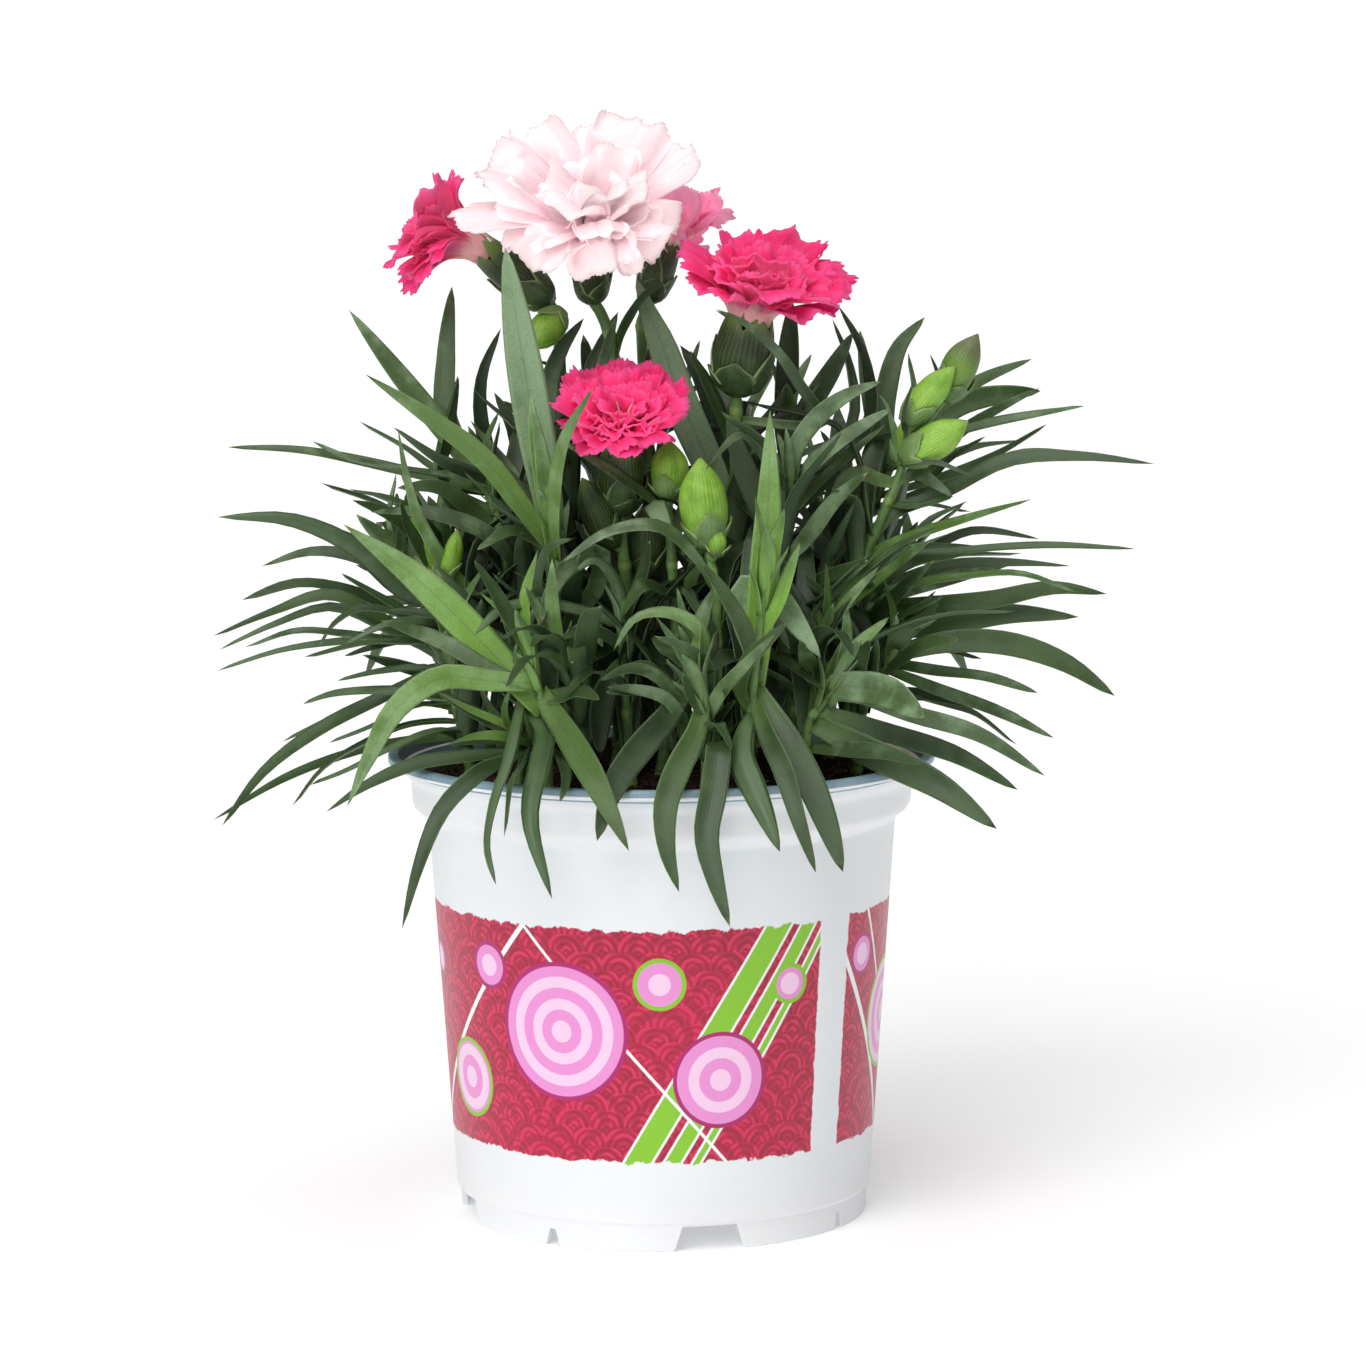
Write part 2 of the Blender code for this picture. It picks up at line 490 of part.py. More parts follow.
# Shoots grown by rule: name, distance and direction of the foot from the pot's axis, and how
# tall the shoot is beside the others
GrownShoot = namedtuple("GrownShoot", "name radius degrees height")
GROWN_SHOOTS = (
    GrownShoot("shoot_back_01", 48, 25, 1.0),
    GrownShoot("shoot_back_02", 48, 52, 1.0),
    GrownShoot("shoot_back_03", 48, 75, 1.0),
    GrownShoot("shoot_back_04", 48, 98, 1.0),
    GrownShoot("shoot_back_05", 48, 120, 1.0),
    GrownShoot("shoot_back_06", 48, 143, 1.0),
    GrownShoot("shoot_back_07", 48, 165, 1.0),
    GrownShoot("shoot_back_08", 28, 59, 1.55),
    GrownShoot("shoot_back_09", 28, 112, 1.6),
    GrownShoot("shoot_inner_01", 10.8, -68, 0.8),
    GrownShoot("shoot_inner_02", 38, -117, 0.7),
    GrownShoot("shoot_inner_03", 36, -40, 0.72),
    GrownShoot("shoot_inner_04", 17.5, -167, 0.9))
GROWN_STEPS = 3
GROWN_STEP = 15.0
GROWN_LEAN = 3.6
RULE_PAIRS = 5
RULE_LOWEST_PAIR = 0.3
RULE_SHRINK_ABOVE = 0.55
RULE_SHRINK = 0.35
RULE_LEAF_LENGTH = (44.0, 64.0)
RULE_LEAF_WIDTH = (4.2, 6.0)
RULE_LEAF_STEPS = 4
RULE_RISE_DEGREES = (38, 74)
RULE_DROOP_DEGREES = (35, 105)
RULE_SWERVE = 0.35
RULE_ROLL = 0.5
RULE_ROOT_JITTER = 0.8
RULE_ROOT_SINK = 0.45
RULE_TRIES = 16
# Foliage grown by rule shows no further out than this box of pixels
FOLIAGE_BOX = (300, 345, 1035, 800)


# Curves and solids

def smooth_route(points, count):
    """Points at equal steps along a smooth curve through the given points."""
    ends = [points[0] * 2 - points[1]] + list(points) + [points[-1] * 2 - points[-2]]
    fine = []
    for index in range(len(points) - 1):
        before, start, end, after = ends[index:index + 4]
        for step in range(FINE_STEPS):
            t = step / FINE_STEPS
            fine.append(0.5 * (
                2 * start + (end - before) * t
                + (2 * before - 5 * start + 4 * end - after) * t ** 2
                + (3 * start - before - 3 * end + after) * t ** 3))
    fine.append(points[-1].copy())
    lengths = [0.0]
    for first, second in zip(fine, fine[1:]):
        lengths.append(lengths[-1] + (second - first).length)
    route = []
    segment = 0
    for index in range(count):
        goal = lengths[-1] * index / (count - 1)
        while segment < len(fine) - 2 and lengths[segment + 1] < goal:
            segment += 1
        span = lengths[segment + 1] - lengths[segment]
        share = (goal - lengths[segment]) / span if span > 0 else 0.0
        route.append(fine[segment].lerp(fine[segment + 1], min(1.0, share)))
    return route


def tangents_of(route):
    """Unit direction of the route at each of its points."""
    last = len(route) - 1
    return [(route[min(i + 1, last)] - route[max(i - 1, 0)]).normalized() for i in range(last + 1)]


def blade(route, widths_across, half_width, grow=0.0):
    """Vertices and faces of a leaf: a three-sided blade that ends in a point."""
    last = len(route) - 1
    directions = tangents_of(route)
    verts = []
    faces = []
    for index in range(last):
        share = index / last
        half = half_width * leaf_outline(share) + grow
        keel = LEAF_KEEL + (LEAF_TIP_KEEL - LEAF_KEEL) * share
        across = widths_across[index]
        normal = across.cross(directions[index]).normalized()
        verts.append(route[index] - across * half + normal * grow * CLEAR_ABOVE)
        verts.append(route[index] + across * half + normal * grow * CLEAR_ABOVE)
        verts.append(route[index] - normal * (keel + grow * CLEAR_BELOW))
    verts.append(route[last] + directions[last] * grow)
    faces.append((0, 2, 1))
    for ring in range(last - 1):
        for side in range(3):
            a = ring * 3 + side
            b = ring * 3 + (side + 1) % 3
            faces.append((a, b, a + 3))
            faces.append((b, b + 3, a + 3))
    tip = len(verts) - 1
    low = (last - 1) * 3
    for side in range(3):
        faces.append((low + side, low + (side + 1) % 3, tip))
    return verts, faces


def leaf_outline(share):
    """Half width along a leaf, as a share of the widest, from the root to the tip."""
    if share < LEAF_WIDEST_AT:
        swell = math.sin(share / LEAF_WIDEST_AT * math.pi / 2)
        return LEAF_ROOT_WIDTH + (1.0 - LEAF_ROOT_WIDTH) * swell
    taper = (share - LEAF_WIDEST_AT) / (1.0 - LEAF_WIDEST_AT)
    return math.cos(taper * math.pi / 2) ** LEAF_TAPER


def blade_faces_outward(verts, faces):
    """Whether the signed volume of the faces is positive."""
    volume = sum(verts[a].dot(verts[b].cross(verts[c])) for a, b, c in faces)
    return volume > 0


def mesh_object(name, verts, faces):
    """A new object from vertices in millimetres."""
    if not blade_faces_outward(verts, faces):
        faces = [tuple(reversed(face)) for face in faces]
    mesh = bpy.data.meshes.new(name)
    mesh.from_pydata([vert * MM for vert in verts], [], faces)
    mesh.update()
    piece = bpy.data.objects.new(name, mesh)
    return piece


def tube_object(name, route, radii, bevel_resolution):
    """A stem as a bevelled curve, made a closed mesh."""
    curve = bpy.data.curves.new(name, "CURVE")
    curve.dimensions = "3D"
    curve.bevel_depth = MM
    curve.bevel_resolution = bevel_resolution
    curve.use_fill_caps = True
    curve.twist_mode = "MINIMUM"
    spline = curve.splines.new("POLY")
    spline.points.add(len(route) - 1)
    for point, place, radius in zip(spline.points, route, radii):
        point.co = (*(place * MM), 1.0)
        point.radius = radius
    guide = bpy.data.objects.new(name + "_guide", curve)
    bpy.context.scene.collection.objects.link(guide)
    piece = bpy.data.objects.new(name, applied_mesh(guide, name))
    bpy.data.objects.remove(guide)
    bpy.data.curves.remove(curve)
    weld(piece.data)
    return piece


def turned_object(name, profile, sides, turn=None):
    """A turned solid from a profile (radius, height in mm), as the Screw modifier makes it."""
    mesh = bpy.data.meshes.new(name + "_profile")
    edges = [(index, index + 1) for index in range(len(profile) - 1)]
    mesh.from_pydata([Vector((radius, 0.0, height)) * MM for radius, height in profile], edges, [])
    piece = bpy.data.objects.new(name, mesh)
    bpy.context.scene.collection.objects.link(piece)
    screw = piece.modifiers.new("turn", "SCREW")
    screw.axis = "Z"
    screw.steps = sides
    screw.render_steps = sides
    screw.use_merge_vertices = True
    screw.merge_threshold = TURN_MERGE_DISTANCE
    screw.use_normal_calculate = True
    turned_mesh = applied_mesh(piece, name)
    bpy.data.objects.remove(piece)
    bpy.data.meshes.remove(mesh)
    weld(turned_mesh)
    result = bpy.data.objects.new(name, turned_mesh)
    if turn is not None:
        turned_mesh.transform(turn)
    return result


def applied_mesh(piece, name):
    """The mesh of an object with its modifiers applied."""
    bpy.context.view_layer.update()
    graph = bpy.context.evaluated_depsgraph_get()
    mesh = bpy.data.meshes.new_from_object(piece.evaluated_get(graph))
    mesh.name = name
    return mesh


def weld(mesh):
    """Joins doubled vertices, makes triangles and turns the faces outward."""
    shape = bmesh.new()
    shape.from_mesh(mesh)
    bmesh.ops.remove_doubles(shape, verts=shape.verts, dist=WELD_DISTANCE)
    bmesh.ops.triangulate(shape, faces=shape.faces)
    bmesh.ops.recalc_face_normals(shape, faces=shape.faces)
    shape.to_mesh(mesh)
    shape.free()


def keep_largest_shell(mesh):
    """Drops sealed hollows and loose scraps, which a union can leave, from a mesh."""
    shape = bmesh.new()
    shape.from_mesh(mesh)
    shape.faces.ensure_lookup_table()
    waiting = set(shape.faces)
    shells = []
    while waiting:
        start = waiting.pop()
        shell = {start}
        unread = [start]
        while unread:
            face = unread.pop()
            for edge in face.edges:
                for other in edge.link_faces:
                    if other in waiting:
                        waiting.remove(other)
                        shell.add(other)
                        unread.append(other)
        shells.append(shell)
    shells.sort(key=len, reverse=True)
    dropped = [face for shell in shells[1:] for face in shell]
    if dropped:
        bmesh.ops.delete(shape, geom=dropped, context="FACES")
    shape.to_mesh(mesh)
    shape.free()


def fused(name, pieces, material, collection):
    """One object that is the union of several closed pieces."""
    base = pieces[0]
    bpy.context.scene.collection.objects.link(base)
    others = bpy.data.collections.new(name + "_pieces")
    bpy.context.scene.collection.children.link(others)
    for piece in pieces[1:]:
        others.objects.link(piece)
    union = base.modifiers.new("union", "BOOLEAN")
    union.operation = "UNION"
    union.operand_type = "COLLECTION"
    union.collection = others
    best = None
    for solver in ("MANIFOLD", "EXACT"):
        union.solver = solver
        mesh = applied_mesh(base, name)
        keep_largest_shell(mesh)
        faults = collapse_short_edges(mesh)
        if best is None or faults < best[0]:
            best = (faults, mesh)
        if faults == 0:
            break
    if best[0]:
        print("faults left:", name, best[0])
    for piece in pieces:
        bpy.data.objects.remove(piece)
    bpy.data.collections.remove(others)
    return finished(name, best[1], material, collection)


def collapse_short_edges(mesh):
    """Collapses the short edges that a union leaves where pieces cross, and says what is wrong."""
    best = None
    for limit in SHORT_EDGES:
        shape = bmesh.new()
        shape.from_mesh(mesh)
        bmesh.ops.triangulate(shape, faces=shape.faces)
        volume = shape.calc_volume()
        while collapse_pass(shape, limit * MM):
            pass
        faults = own_faults(shape)
        if abs(shape.calc_volume() - volume) > VOLUME_LOSS * abs(volume):
            faults += VOLUME_FAULT
        if best is None or faults < best[0]:
            if best is not None:
                best[1].free()
            best = (faults, shape)
        else:
            shape.free()
        if faults == 0:
            break
    best[1].to_mesh(mesh)
    best[1].free()
    return best[0]


def own_faults(shape):
    """A score for crossing faces, slivers, touching vertices and edges without two faces."""
    verts = [vert.co / MM for vert in shape.verts]
    shape.verts.index_update()
    faces = [[vert.index for vert in face.verts] for face in shape.faces]
    tree = BVHTree.FromPolygons(verts, faces, all_triangles=True, epsilon=SHORTEST_CROSSING ** 2)
    open_edges = sum(1 for edge in shape.edges if len(edge.link_faces) != 2)
    slivers = sum(1 for face in shape.faces if triangle_normal([vert.co for vert in face.verts]) is None)
    near = KDTree(len(verts))
    for index, vert in enumerate(verts):
        near.insert(vert, index)
    near.balance()
    touching = sum(1 for vert in verts if len(near.find_range(vert, NEAREST_VERTICES)) > 1)
    return len(tree.overlap(tree)) + OPEN_EDGE_FAULT * open_edges + slivers + TOUCH_FAULT * touching


def collapse_pass(shape, limit):
    """Collapses what edges under a length it can, and says how many."""
    count = 0
    for edge in sorted(shape.edges, key=lambda edge: edge.calc_length()):
        if not edge.is_valid:
            continue
        if edge.calc_length() > limit:
            break
        place = collapse_place(edge)
        if place is not None:
            bmesh.ops.pointmerge(shape, verts=list(edge.verts), merge_co=place)
            count += 1
            shape.edges.ensure_lookup_table()
    return count


def collapse_place(edge):
    """Where an edge can shrink to a point with no face turned over, or None."""
    first, second = edge.verts
    neighbours = [{link.other_vert(vert) for link in vert.link_edges} for vert in (first, second)]
    if len(neighbours[0] & neighbours[1]) != 2:
        return None
    around = [face for vert in (first, second) for face in vert.link_faces if edge not in face.edges]
    for place in (first.co.copy(), second.co.copy(), (first.co + second.co) / 2):
        if all(keeps_side(face, (first, second), place) for face in around):
            return place
    return None


def keeps_side(face, moved, place):
    """Whether a triangle still faces the same way when one of its corners moves."""
    before = triangle_normal([vert.co for vert in face.verts])
    after = triangle_normal([place if vert in moved else vert.co for vert in face.verts])
    if before is None:
        return True
    return after is not None and after.dot(before) > LEAST_AGREEMENT


def triangle_normal(corners):
    """A triangle's unit normal, or None if it is a sliver."""
    turned = (corners[1] - corners[0]).cross(corners[2] - corners[0])
    longest = max((corners[i] - corners[i - 1]).length for i in range(3))
    if turned.length < longest * THINNEST_TRIANGLE * MM:
        return None
    return turned.normalized()


def finished(name, mesh, material, collection):
    """The named object of a sub-part, with its material, in the plant's collection."""
    mesh.materials.clear()
    mesh.materials.append(material)
    piece = bpy.data.objects.new(name, mesh)
    collection.objects.link(piece)
    return piece


def material_of(slot):
    """A Principled material with the slot's colour and roughness."""
    if slot in bpy.data.materials:
        return bpy.data.materials[slot]
    colour, roughness = COLOURS[slot]
    material = bpy.data.materials.new(slot)
    material.use_nodes = True
    shader = material.node_tree.nodes["Principled BSDF"]
    shader.inputs["Base Color"].default_value = colour
    shader.inputs["Roughness"].default_value = roughness
    shader.inputs["Metallic"].default_value = 0.0
    return material


# Keeping nodes clear of each other

class Thicket:
    """What has been placed so far, to test a new piece against every other node."""

    def __init__(self):
        self.entries = []

    def add(self, node, verts, faces, is_blade=False):
        """Remembers a piece; a blade also counts for crossings inside its own node."""
        tree = BVHTree.FromPolygons(verts, faces, all_triangles=True)
        self.entries.append((node, tree, *box_of(verts), is_blade))

    def add_object(self, node, piece):
        """Remembers the mesh of an object."""
        verts = [vert.co / MM for vert in piece.data.vertices]
        piece.data.calc_loop_triangles()
        faces = [tuple(triangle.vertices) for triangle in piece.data.loop_triangles]
        self.add(node, verts, faces)

    def crossings(self, node, verts, faces, among_own):
        """How many faces cross those of the other nodes, or of the node's own blades."""
        low, high = box_of(verts)
        tree = None
        count = 0
        for other, other_tree, other_low, other_high, is_blade in self.entries:
            if (other == node) != among_own or (among_own and not is_blade):
                continue
            if any(low[k] > other_high[k] or high[k] < other_low[k] for k in range(3)):
                continue
            if tree is None:
                tree = BVHTree.FromPolygons(verts, faces, all_triangles=True)
            count += len(tree.overlap(other_tree))
            if count and not among_own:
                return count
        return count


def folds_over(verts, faces):
    """Whether a blade crosses itself."""
    tree = BVHTree.FromPolygons(verts, faces, all_triangles=True)
    return bool(tree.overlap(tree))


def box_of(verts):
    """Lowest and highest corner of some vertices."""
    low = Vector(min(vert[k] for vert in verts) for k in range(3))
    high = Vector(max(vert[k] for vert in verts) for k in range(3))
    return low, high


# Stems and leaves

def stem_route(foot, stem):
    """A stem's points: upright in the soil, then through its seen points."""
    x, y = foot
    points = [Vector((x, y, STEM_FOOT)), Vector((x, y, STEM_COLLAR))]
    points += [seen(*place) for place in stem]
    upper = smooth_route(points[1:], 3 + len(stem) // 2)
    return [points[0]] + upper


def stem_radii(count, foot_radius, tip_radius):
    """Radius at each point of a stem."""
    return [foot_radius + (tip_radius - foot_radius) * index / (count - 1) for index in range(count)]


def nearest_on_stem(route, pixel):
    """The stem's point that shows nearest to a pixel, above the soil."""
    best = None
    for first, second in zip(route[1:], route[2:]):
        for step in range(FINE_STEPS + 1):
            point = first.lerp(second, step / FINE_STEPS)
            distance = (pixel_of(point) - pixel).length
            if point.z > LOWEST_ROOT and (best is None or distance < best[0]):
                best = (distance, point)
    return best[1]


def leaf_route(leaf, stem, slide, bulge):
    """A leaf's points from the stem to the tip, moved in depth by slide and bulge."""
    pixels = [Vector(place[:2]) for place in leaf.points]
    root = nearest_on_stem(stem, pixels[-1] + Vector((0.0, ROOT_BELOW_BASE_PIXELS)))
    root_pixel = pixel_of(root)
    if (pixels[-1] - root_pixel).length < BASE_AT_ROOT_PIXELS:
        pixels = pixels[:-1]
    spans = [0.0]
    for first, second in zip(pixels, pixels[1:] + [root_pixel]):
        spans.append(spans[-1] + (second - first).length)
    points = []
    for index, pixel in enumerate(pixels):
        share = 1.0 - spans[index] / spans[-1]
        depth = root.y + (leaf.tip_depth - root.y) * share
        if len(leaf.points[index]) == 3:
            depth = leaf.points[index][2]
        depth += slide * share + bulge * math.sin(math.pi * share)
        points.append(seen(pixel.x, pixel.y, depth))
    points.append(root)
    points.reverse()
    return points


def across_of_seen_leaf(route, width_pixels):
    """Half width and the across directions, so that a leaf shows at its width in the view."""
    shown = width_pixels / PIXELS_PER_MM
    width = max(shown, LEAF_NARROWEST)
    turn = math.acos(min(1.0, shown / width))
    directions = tangents_of(route)
    sides = []
    for direction in reversed(directions):
        side = direction.cross(-FORWARD)
        if side.length < LEAST_SIDE:
            before = sides[-1] if sides else RIGHT
            side = before - direction * before.dot(direction)
        side = side.normalized()
        if sides and side.dot(sides[-1]) < 0:
            side = -side
        sides.append(side)
    sides.reverse()
    lift = 1.0 if sum(side.z for side in sides) > 0 else -1.0
    across = []
    for direction, side in zip(directions, sides):
        towards = side.cross(direction).normalized()
        if towards.dot(FORWARD) > 0:
            towards = -towards
        normal = towards * math.cos(turn) + side * lift * math.sin(turn)
        across.append(direction.cross(normal).normalized())
    for index in range(1, len(across)):
        if across[index].dot(across[index - 1]) < 0:
            across[index] = -across[index]
    return width / 2, across


def across_of_grown_leaf(route, roll):
    """The across directions of a leaf whose upper face looks up."""
    across = []
    for direction in tangents_of(route):
        level = direction.cross(Vector((0.0, 0.0, 1.0)))
        level = level.normalized() if level.length > ALMOST_PARALLEL else RIGHT.copy()
        normal = level.cross(direction).normalized()
        across.append((level * math.cos(roll) + normal * math.sin(roll)).normalized())
    for index in range(1, len(across)):
        if across[index].dot(across[index - 1]) < 0:
            across[index] = -across[index]
    return across


def stations_for(points):
    """How many stations a leaf takes, by how much it bends."""
    bend = 0.0
    for before, middle, after in zip(points, points[1:], points[2:]):
        bend += (middle - before).angle(after - middle, 0.0)
    return 4 if bend < GENTLE_BEND else 5 if bend < STRONG_BEND else 6


def place_seen_leaf(node, leaf, stem, thicket):
    """A read leaf at the depth where it is clear of other nodes and least crosses its own."""
    best = None
    for slide in SLIDES:
        for bulge in BULGES:
            points = leaf_route(leaf, stem, slide, bulge)
            route = smooth_route(points, stations_for(points))
            half_width, across = across_of_seen_leaf(route, leaf.width)
            if thicket.crossings(node, *blade(route, across, half_width, CLEARANCE), False):
                continue
            verts, faces = blade(route, across, half_width)
            if folds_over(verts, faces):
                continue
            crossings = thicket.crossings(node, verts, faces, True)
            if best is None or crossings < best[0]:
                best = (crossings, verts, faces)
            if crossings <= ROOT_CROSSINGS:
                break
        if best is not None and best[0] <= ROOT_CROSSINGS:
            break
    if best is None:
        return None
    thicket.add(node, *best[1:], is_blade=True)
    return mesh_object(node, *best[1:])


def grown_leaf_points(root, heading, length, rise, droop):
    """Points of a leaf that leaves its stem at a rise above level and droops outward."""
    points = [root]
    for step in range(RULE_LEAF_STEPS):
        angle = rise - droop * (step + 0.5) / RULE_LEAF_STEPS
        direction = heading * math.cos(angle) + Vector((0.0, 0.0, math.sin(angle)))
        points.append(points[-1] + direction * (length / RULE_LEAF_STEPS))
    return points


def shows_inside(points, box):
    """Whether the points all show within a box of pixels."""
    left, top, right, bottom = box
    for point in points:
        pixel = pixel_of(point)
        if not (left < pixel.x < right and top < pixel.y < bottom):
            return False
    return True


def place_grown_leaf(node, root, turn, size, thicket, draw):
    """A leaf by rule, redrawn until it is clear of the other nodes."""
    best = None
    for attempt in range(RULE_TRIES):
        heading_angle = turn + draw.uniform(-RULE_SWERVE, RULE_SWERVE) * (1 + attempt / 4)
        heading = Vector((math.cos(heading_angle), math.sin(heading_angle), 0.0))
        length = size * draw.uniform(*RULE_LEAF_LENGTH)
        rise = math.radians(draw.uniform(*RULE_RISE_DEGREES))
        droop = math.radians(draw.uniform(*RULE_DROOP_DEGREES))
        shift = Vector((0.0, 0.0, draw.uniform(-RULE_ROOT_JITTER, RULE_ROOT_JITTER)))
        points = grown_leaf_points(root - heading * RULE_ROOT_SINK + shift, heading, length, rise, droop)
        width = size * draw.uniform(*RULE_LEAF_WIDTH)
        route = smooth_route(points, RULE_LEAF_STEPS)
        across = across_of_grown_leaf(route, draw.uniform(-RULE_ROLL, RULE_ROLL))
        if not shows_inside(points, FOLIAGE_BOX):
            continue
        if thicket.crossings(node, *blade(route, across, width / 2, CLEARANCE), False):
            continue
        verts, faces = blade(route, across, width / 2)
        if folds_over(verts, faces):
            continue
        crossings = thicket.crossings(node, verts, faces, True)
        if best is None or crossings < best[0]:
            best = (crossings, verts, faces)
        if crossings <= ROOT_CROSSINGS:
            break
    if best is None:
        return None
    thicket.add(node, *best[1:], is_blade=True)
    return mesh_object(node, *best[1:])


def grown_stem(shoot):
    """Stem points of a shoot that leans outward as it rises."""
    turn = math.radians(shoot.degrees)
    outward = Vector((math.cos(turn), math.sin(turn), 0.0))
    foot = outward * shoot.radius + Vector((0.0, 0.0, STEM_FOOT))
    points = [foot, foot + Vector((0.0, 0.0, HOLE_DEPTH + 1.0))]
    for step in range(GROWN_STEPS):
        lean = outward * (GROWN_LEAN * (step + 1) * shoot.radius / LIP_RADIUS)
        points.append(points[-1] + lean + Vector((0.0, 0.0, GROWN_STEP * shoot.height)))
    return points


# Flowers and buds

def axis_frame(base, tip):
    """A matrix that stands a turned piece on base with its axis towards tip, in metres."""
    turn = (tip - base).to_track_quat("Z", "Y")
    return Matrix.Translation(base * MM) @ turn.to_matrix().to_4x4()


def bud_pieces(name, bud, stem):
    """A closed bud: a pointed turned body with bracts that hug its base, on a short stalk."""
    base = seen(*bud.base)
    tip = seen(*bud.tip)
    length = (tip - base).length
    width = bud.width / PIXELS_PER_MM
    profile = [(radius * width, height * length) for radius, height in BUD_PROFILE]
    frame = axis_frame(base, tip)
    pieces = [turned_object(name, profile, BUD_SIDES, frame)]
    foot = nearest_on_stem(stem, pixel_of(base) + Vector((0.0, PIXELS_PER_MM * PEDICEL_DROP)))
    pedicel = [foot, base, base.lerp(tip, PEDICEL_SINK)]
    pieces.append(tube_object(name, pedicel, [PEDICEL_RADIUS] * 3, SHOOT_BEVEL_RESOLUTION))
    for turn in BRACT_TURNS:
        pieces.append(bract(name, frame, turn, width / 2, length))
    return pieces


def bract(name, frame, turn, radius, length):
    """A short pointed scale that stands on a bud's or calyx's foot."""
    outward = Vector((math.cos(turn), math.sin(turn), 0.0))
    inner = []
    for spread, gap, height in BRACT_PROFILE:
        inner.append(outward * (radius * spread + gap) + Vector((0, 0, height * length)))
    place = [Vector(frame @ (point * MM)) / MM for point in inner]
    side = (frame.to_3x3() @ Vector((math.sin(turn), -math.cos(turn), 0.0))).normalized()
    verts, faces = blade(place, [side] * len(place), radius * BRACT_HALF_WIDTH)
    return mesh_object(name, verts, faces)


def calyx_pieces(name, bloom):
    """The green tube under a bloom, with an open mouth, five teeth and bracts at its foot."""
    base = seen(*bloom.calyx_base)
    mouth = seen(*bloom.mouth)
    length = (mouth - base).length
    width = bloom.calyx_width / PIXELS_PER_MM
    profile = [(0.0, (1.0 - SOCKET_DEPTH) * length)]
    profile += [(radius * width, height * length) for radius, height in CALYX_PROFILE]
    frame = axis_frame(base, mouth)
    tube = turned_object(name, profile, CALYX_SIDES)
    rim_radius = CALYX_RIM * width * MM
    for vert in tube.data.vertices:
        radius = math.hypot(vert.co.x, vert.co.y)
        if abs(vert.co.z - length * MM) < TURN_MERGE_DISTANCE and radius > rim_radius:
            sector = round(math.atan2(vert.co.y, vert.co.x) / (2 * math.pi) * CALYX_SIDES)
            if sector % 2 == 0:
                vert.co.z += CALYX_TOOTH_HEIGHT * length * MM
                vert.co.xy *= CALYX_TOOTH_SPREAD
    tube.data.transform(frame)
    pieces = [tube]
    for turn in BRACT_TURNS:
        pieces.append(bract(name, frame, turn, width / 2, length * CALYX_BRACT_LENGTH))
    return pieces


def petal_rows(root, along, tip, width, columns, phase, tilt):
    """Rows of points on a fan-shaped petal, from the claw to the toothed edge."""
    reach = (tip - root).length
    handle = root + along * reach * 0.45 + (tip - root) * 0.08
    rows = []
    for share, row_columns in zip(PETAL_ROW_SHARES, (1, columns // 2, columns)):
        points = []
        for column in range(row_columns + 1):
            u = column / row_columns * 2 - 1
            s = share * (1.0 - PETAL_BOW * u * u)
            if share == 1.0 and column % 2 == 1:
                s -= PETAL_TOOTH
            centre = root.lerp(handle, s).lerp(handle.lerp(tip, s), s)
            direction = (handle.lerp(tip, s) - root.lerp(handle, s)).normalized()
            side = direction.cross(along)
            side = side.normalized() if side.length > ALMOST_PARALLEL else RIGHT.copy()
            normal = side.cross(direction).normalized()
            side = side * math.cos(tilt) + normal * math.sin(tilt)
            spread = math.sin(min(1.0, s * 1.2) * math.pi / 2)
            half = (CLAW_WIDTH + (width - CLAW_WIDTH) * spread) / 2
            fan = math.sin(u * PETAL_FAN) / math.sin(PETAL_FAN)
            wave = PETAL_WAVE * width * s * s * math.sin(u * math.pi * 1.5 + phase)
            points.append(centre + side * half * fan + normal * wave)
        rows.append(points)
    return rows


def outer_part(verts, faces):
    """The faces of a petal beyond its claw."""
    half = len(verts) // 2
    return [face for face in faces if all(index % half >= CLAW_FACES for index in face)]


def place_petal(node, petal, index, columns, throat, facing, thicket):
    """A petal with the tilt and lift at which it least crosses the petals before it."""
    tip = seen(*petal.tip)
    radial = (tip - throat) - facing * (tip - throat).dot(facing)
    spread = CLAW_SPREAD * (1.0 - 0.25 * petal.layer)
    root = throat + radial.normalized() * spread - facing * CLAW_SINK
    best = None
    for lift in PETAL_LIFTS:
        for tilt in PETAL_TILTS:
            rows = petal_rows(
                root, facing, tip + facing * lift, petal.width / PIXELS_PER_MM, columns, index * 1.9, tilt)
            verts, faces = thick_sheet(rows, PETAL_THICKNESS)
            crossings = thicket.crossings(node, verts, outer_part(verts, faces), True)
            crossings += OTHER_NODE_WEIGHT * thicket.crossings(node, verts, faces, False)
            if best is None or crossings < best[0]:
                best = (crossings, verts, faces)
    thicket.add(node, *best[1:], is_blade=True)
    return mesh_object(node, *best[1:])


def row_strip(first, second, first_start, second_start):
    """Triangles between two rows of points that may differ in number."""
    faces = []
    a = 0
    b = 0
    while a < first - 1 or b < second - 1:
        if b < second - 1 and (a == first - 1 or (b + 0.5) / (second - 1) <= (a + 0.5) / (first - 1)):
            faces.append((first_start + a, second_start + b, second_start + b + 1))
            b += 1
        else:
            faces.append((first_start + a, second_start + b, first_start + a + 1))
            a += 1
    return faces


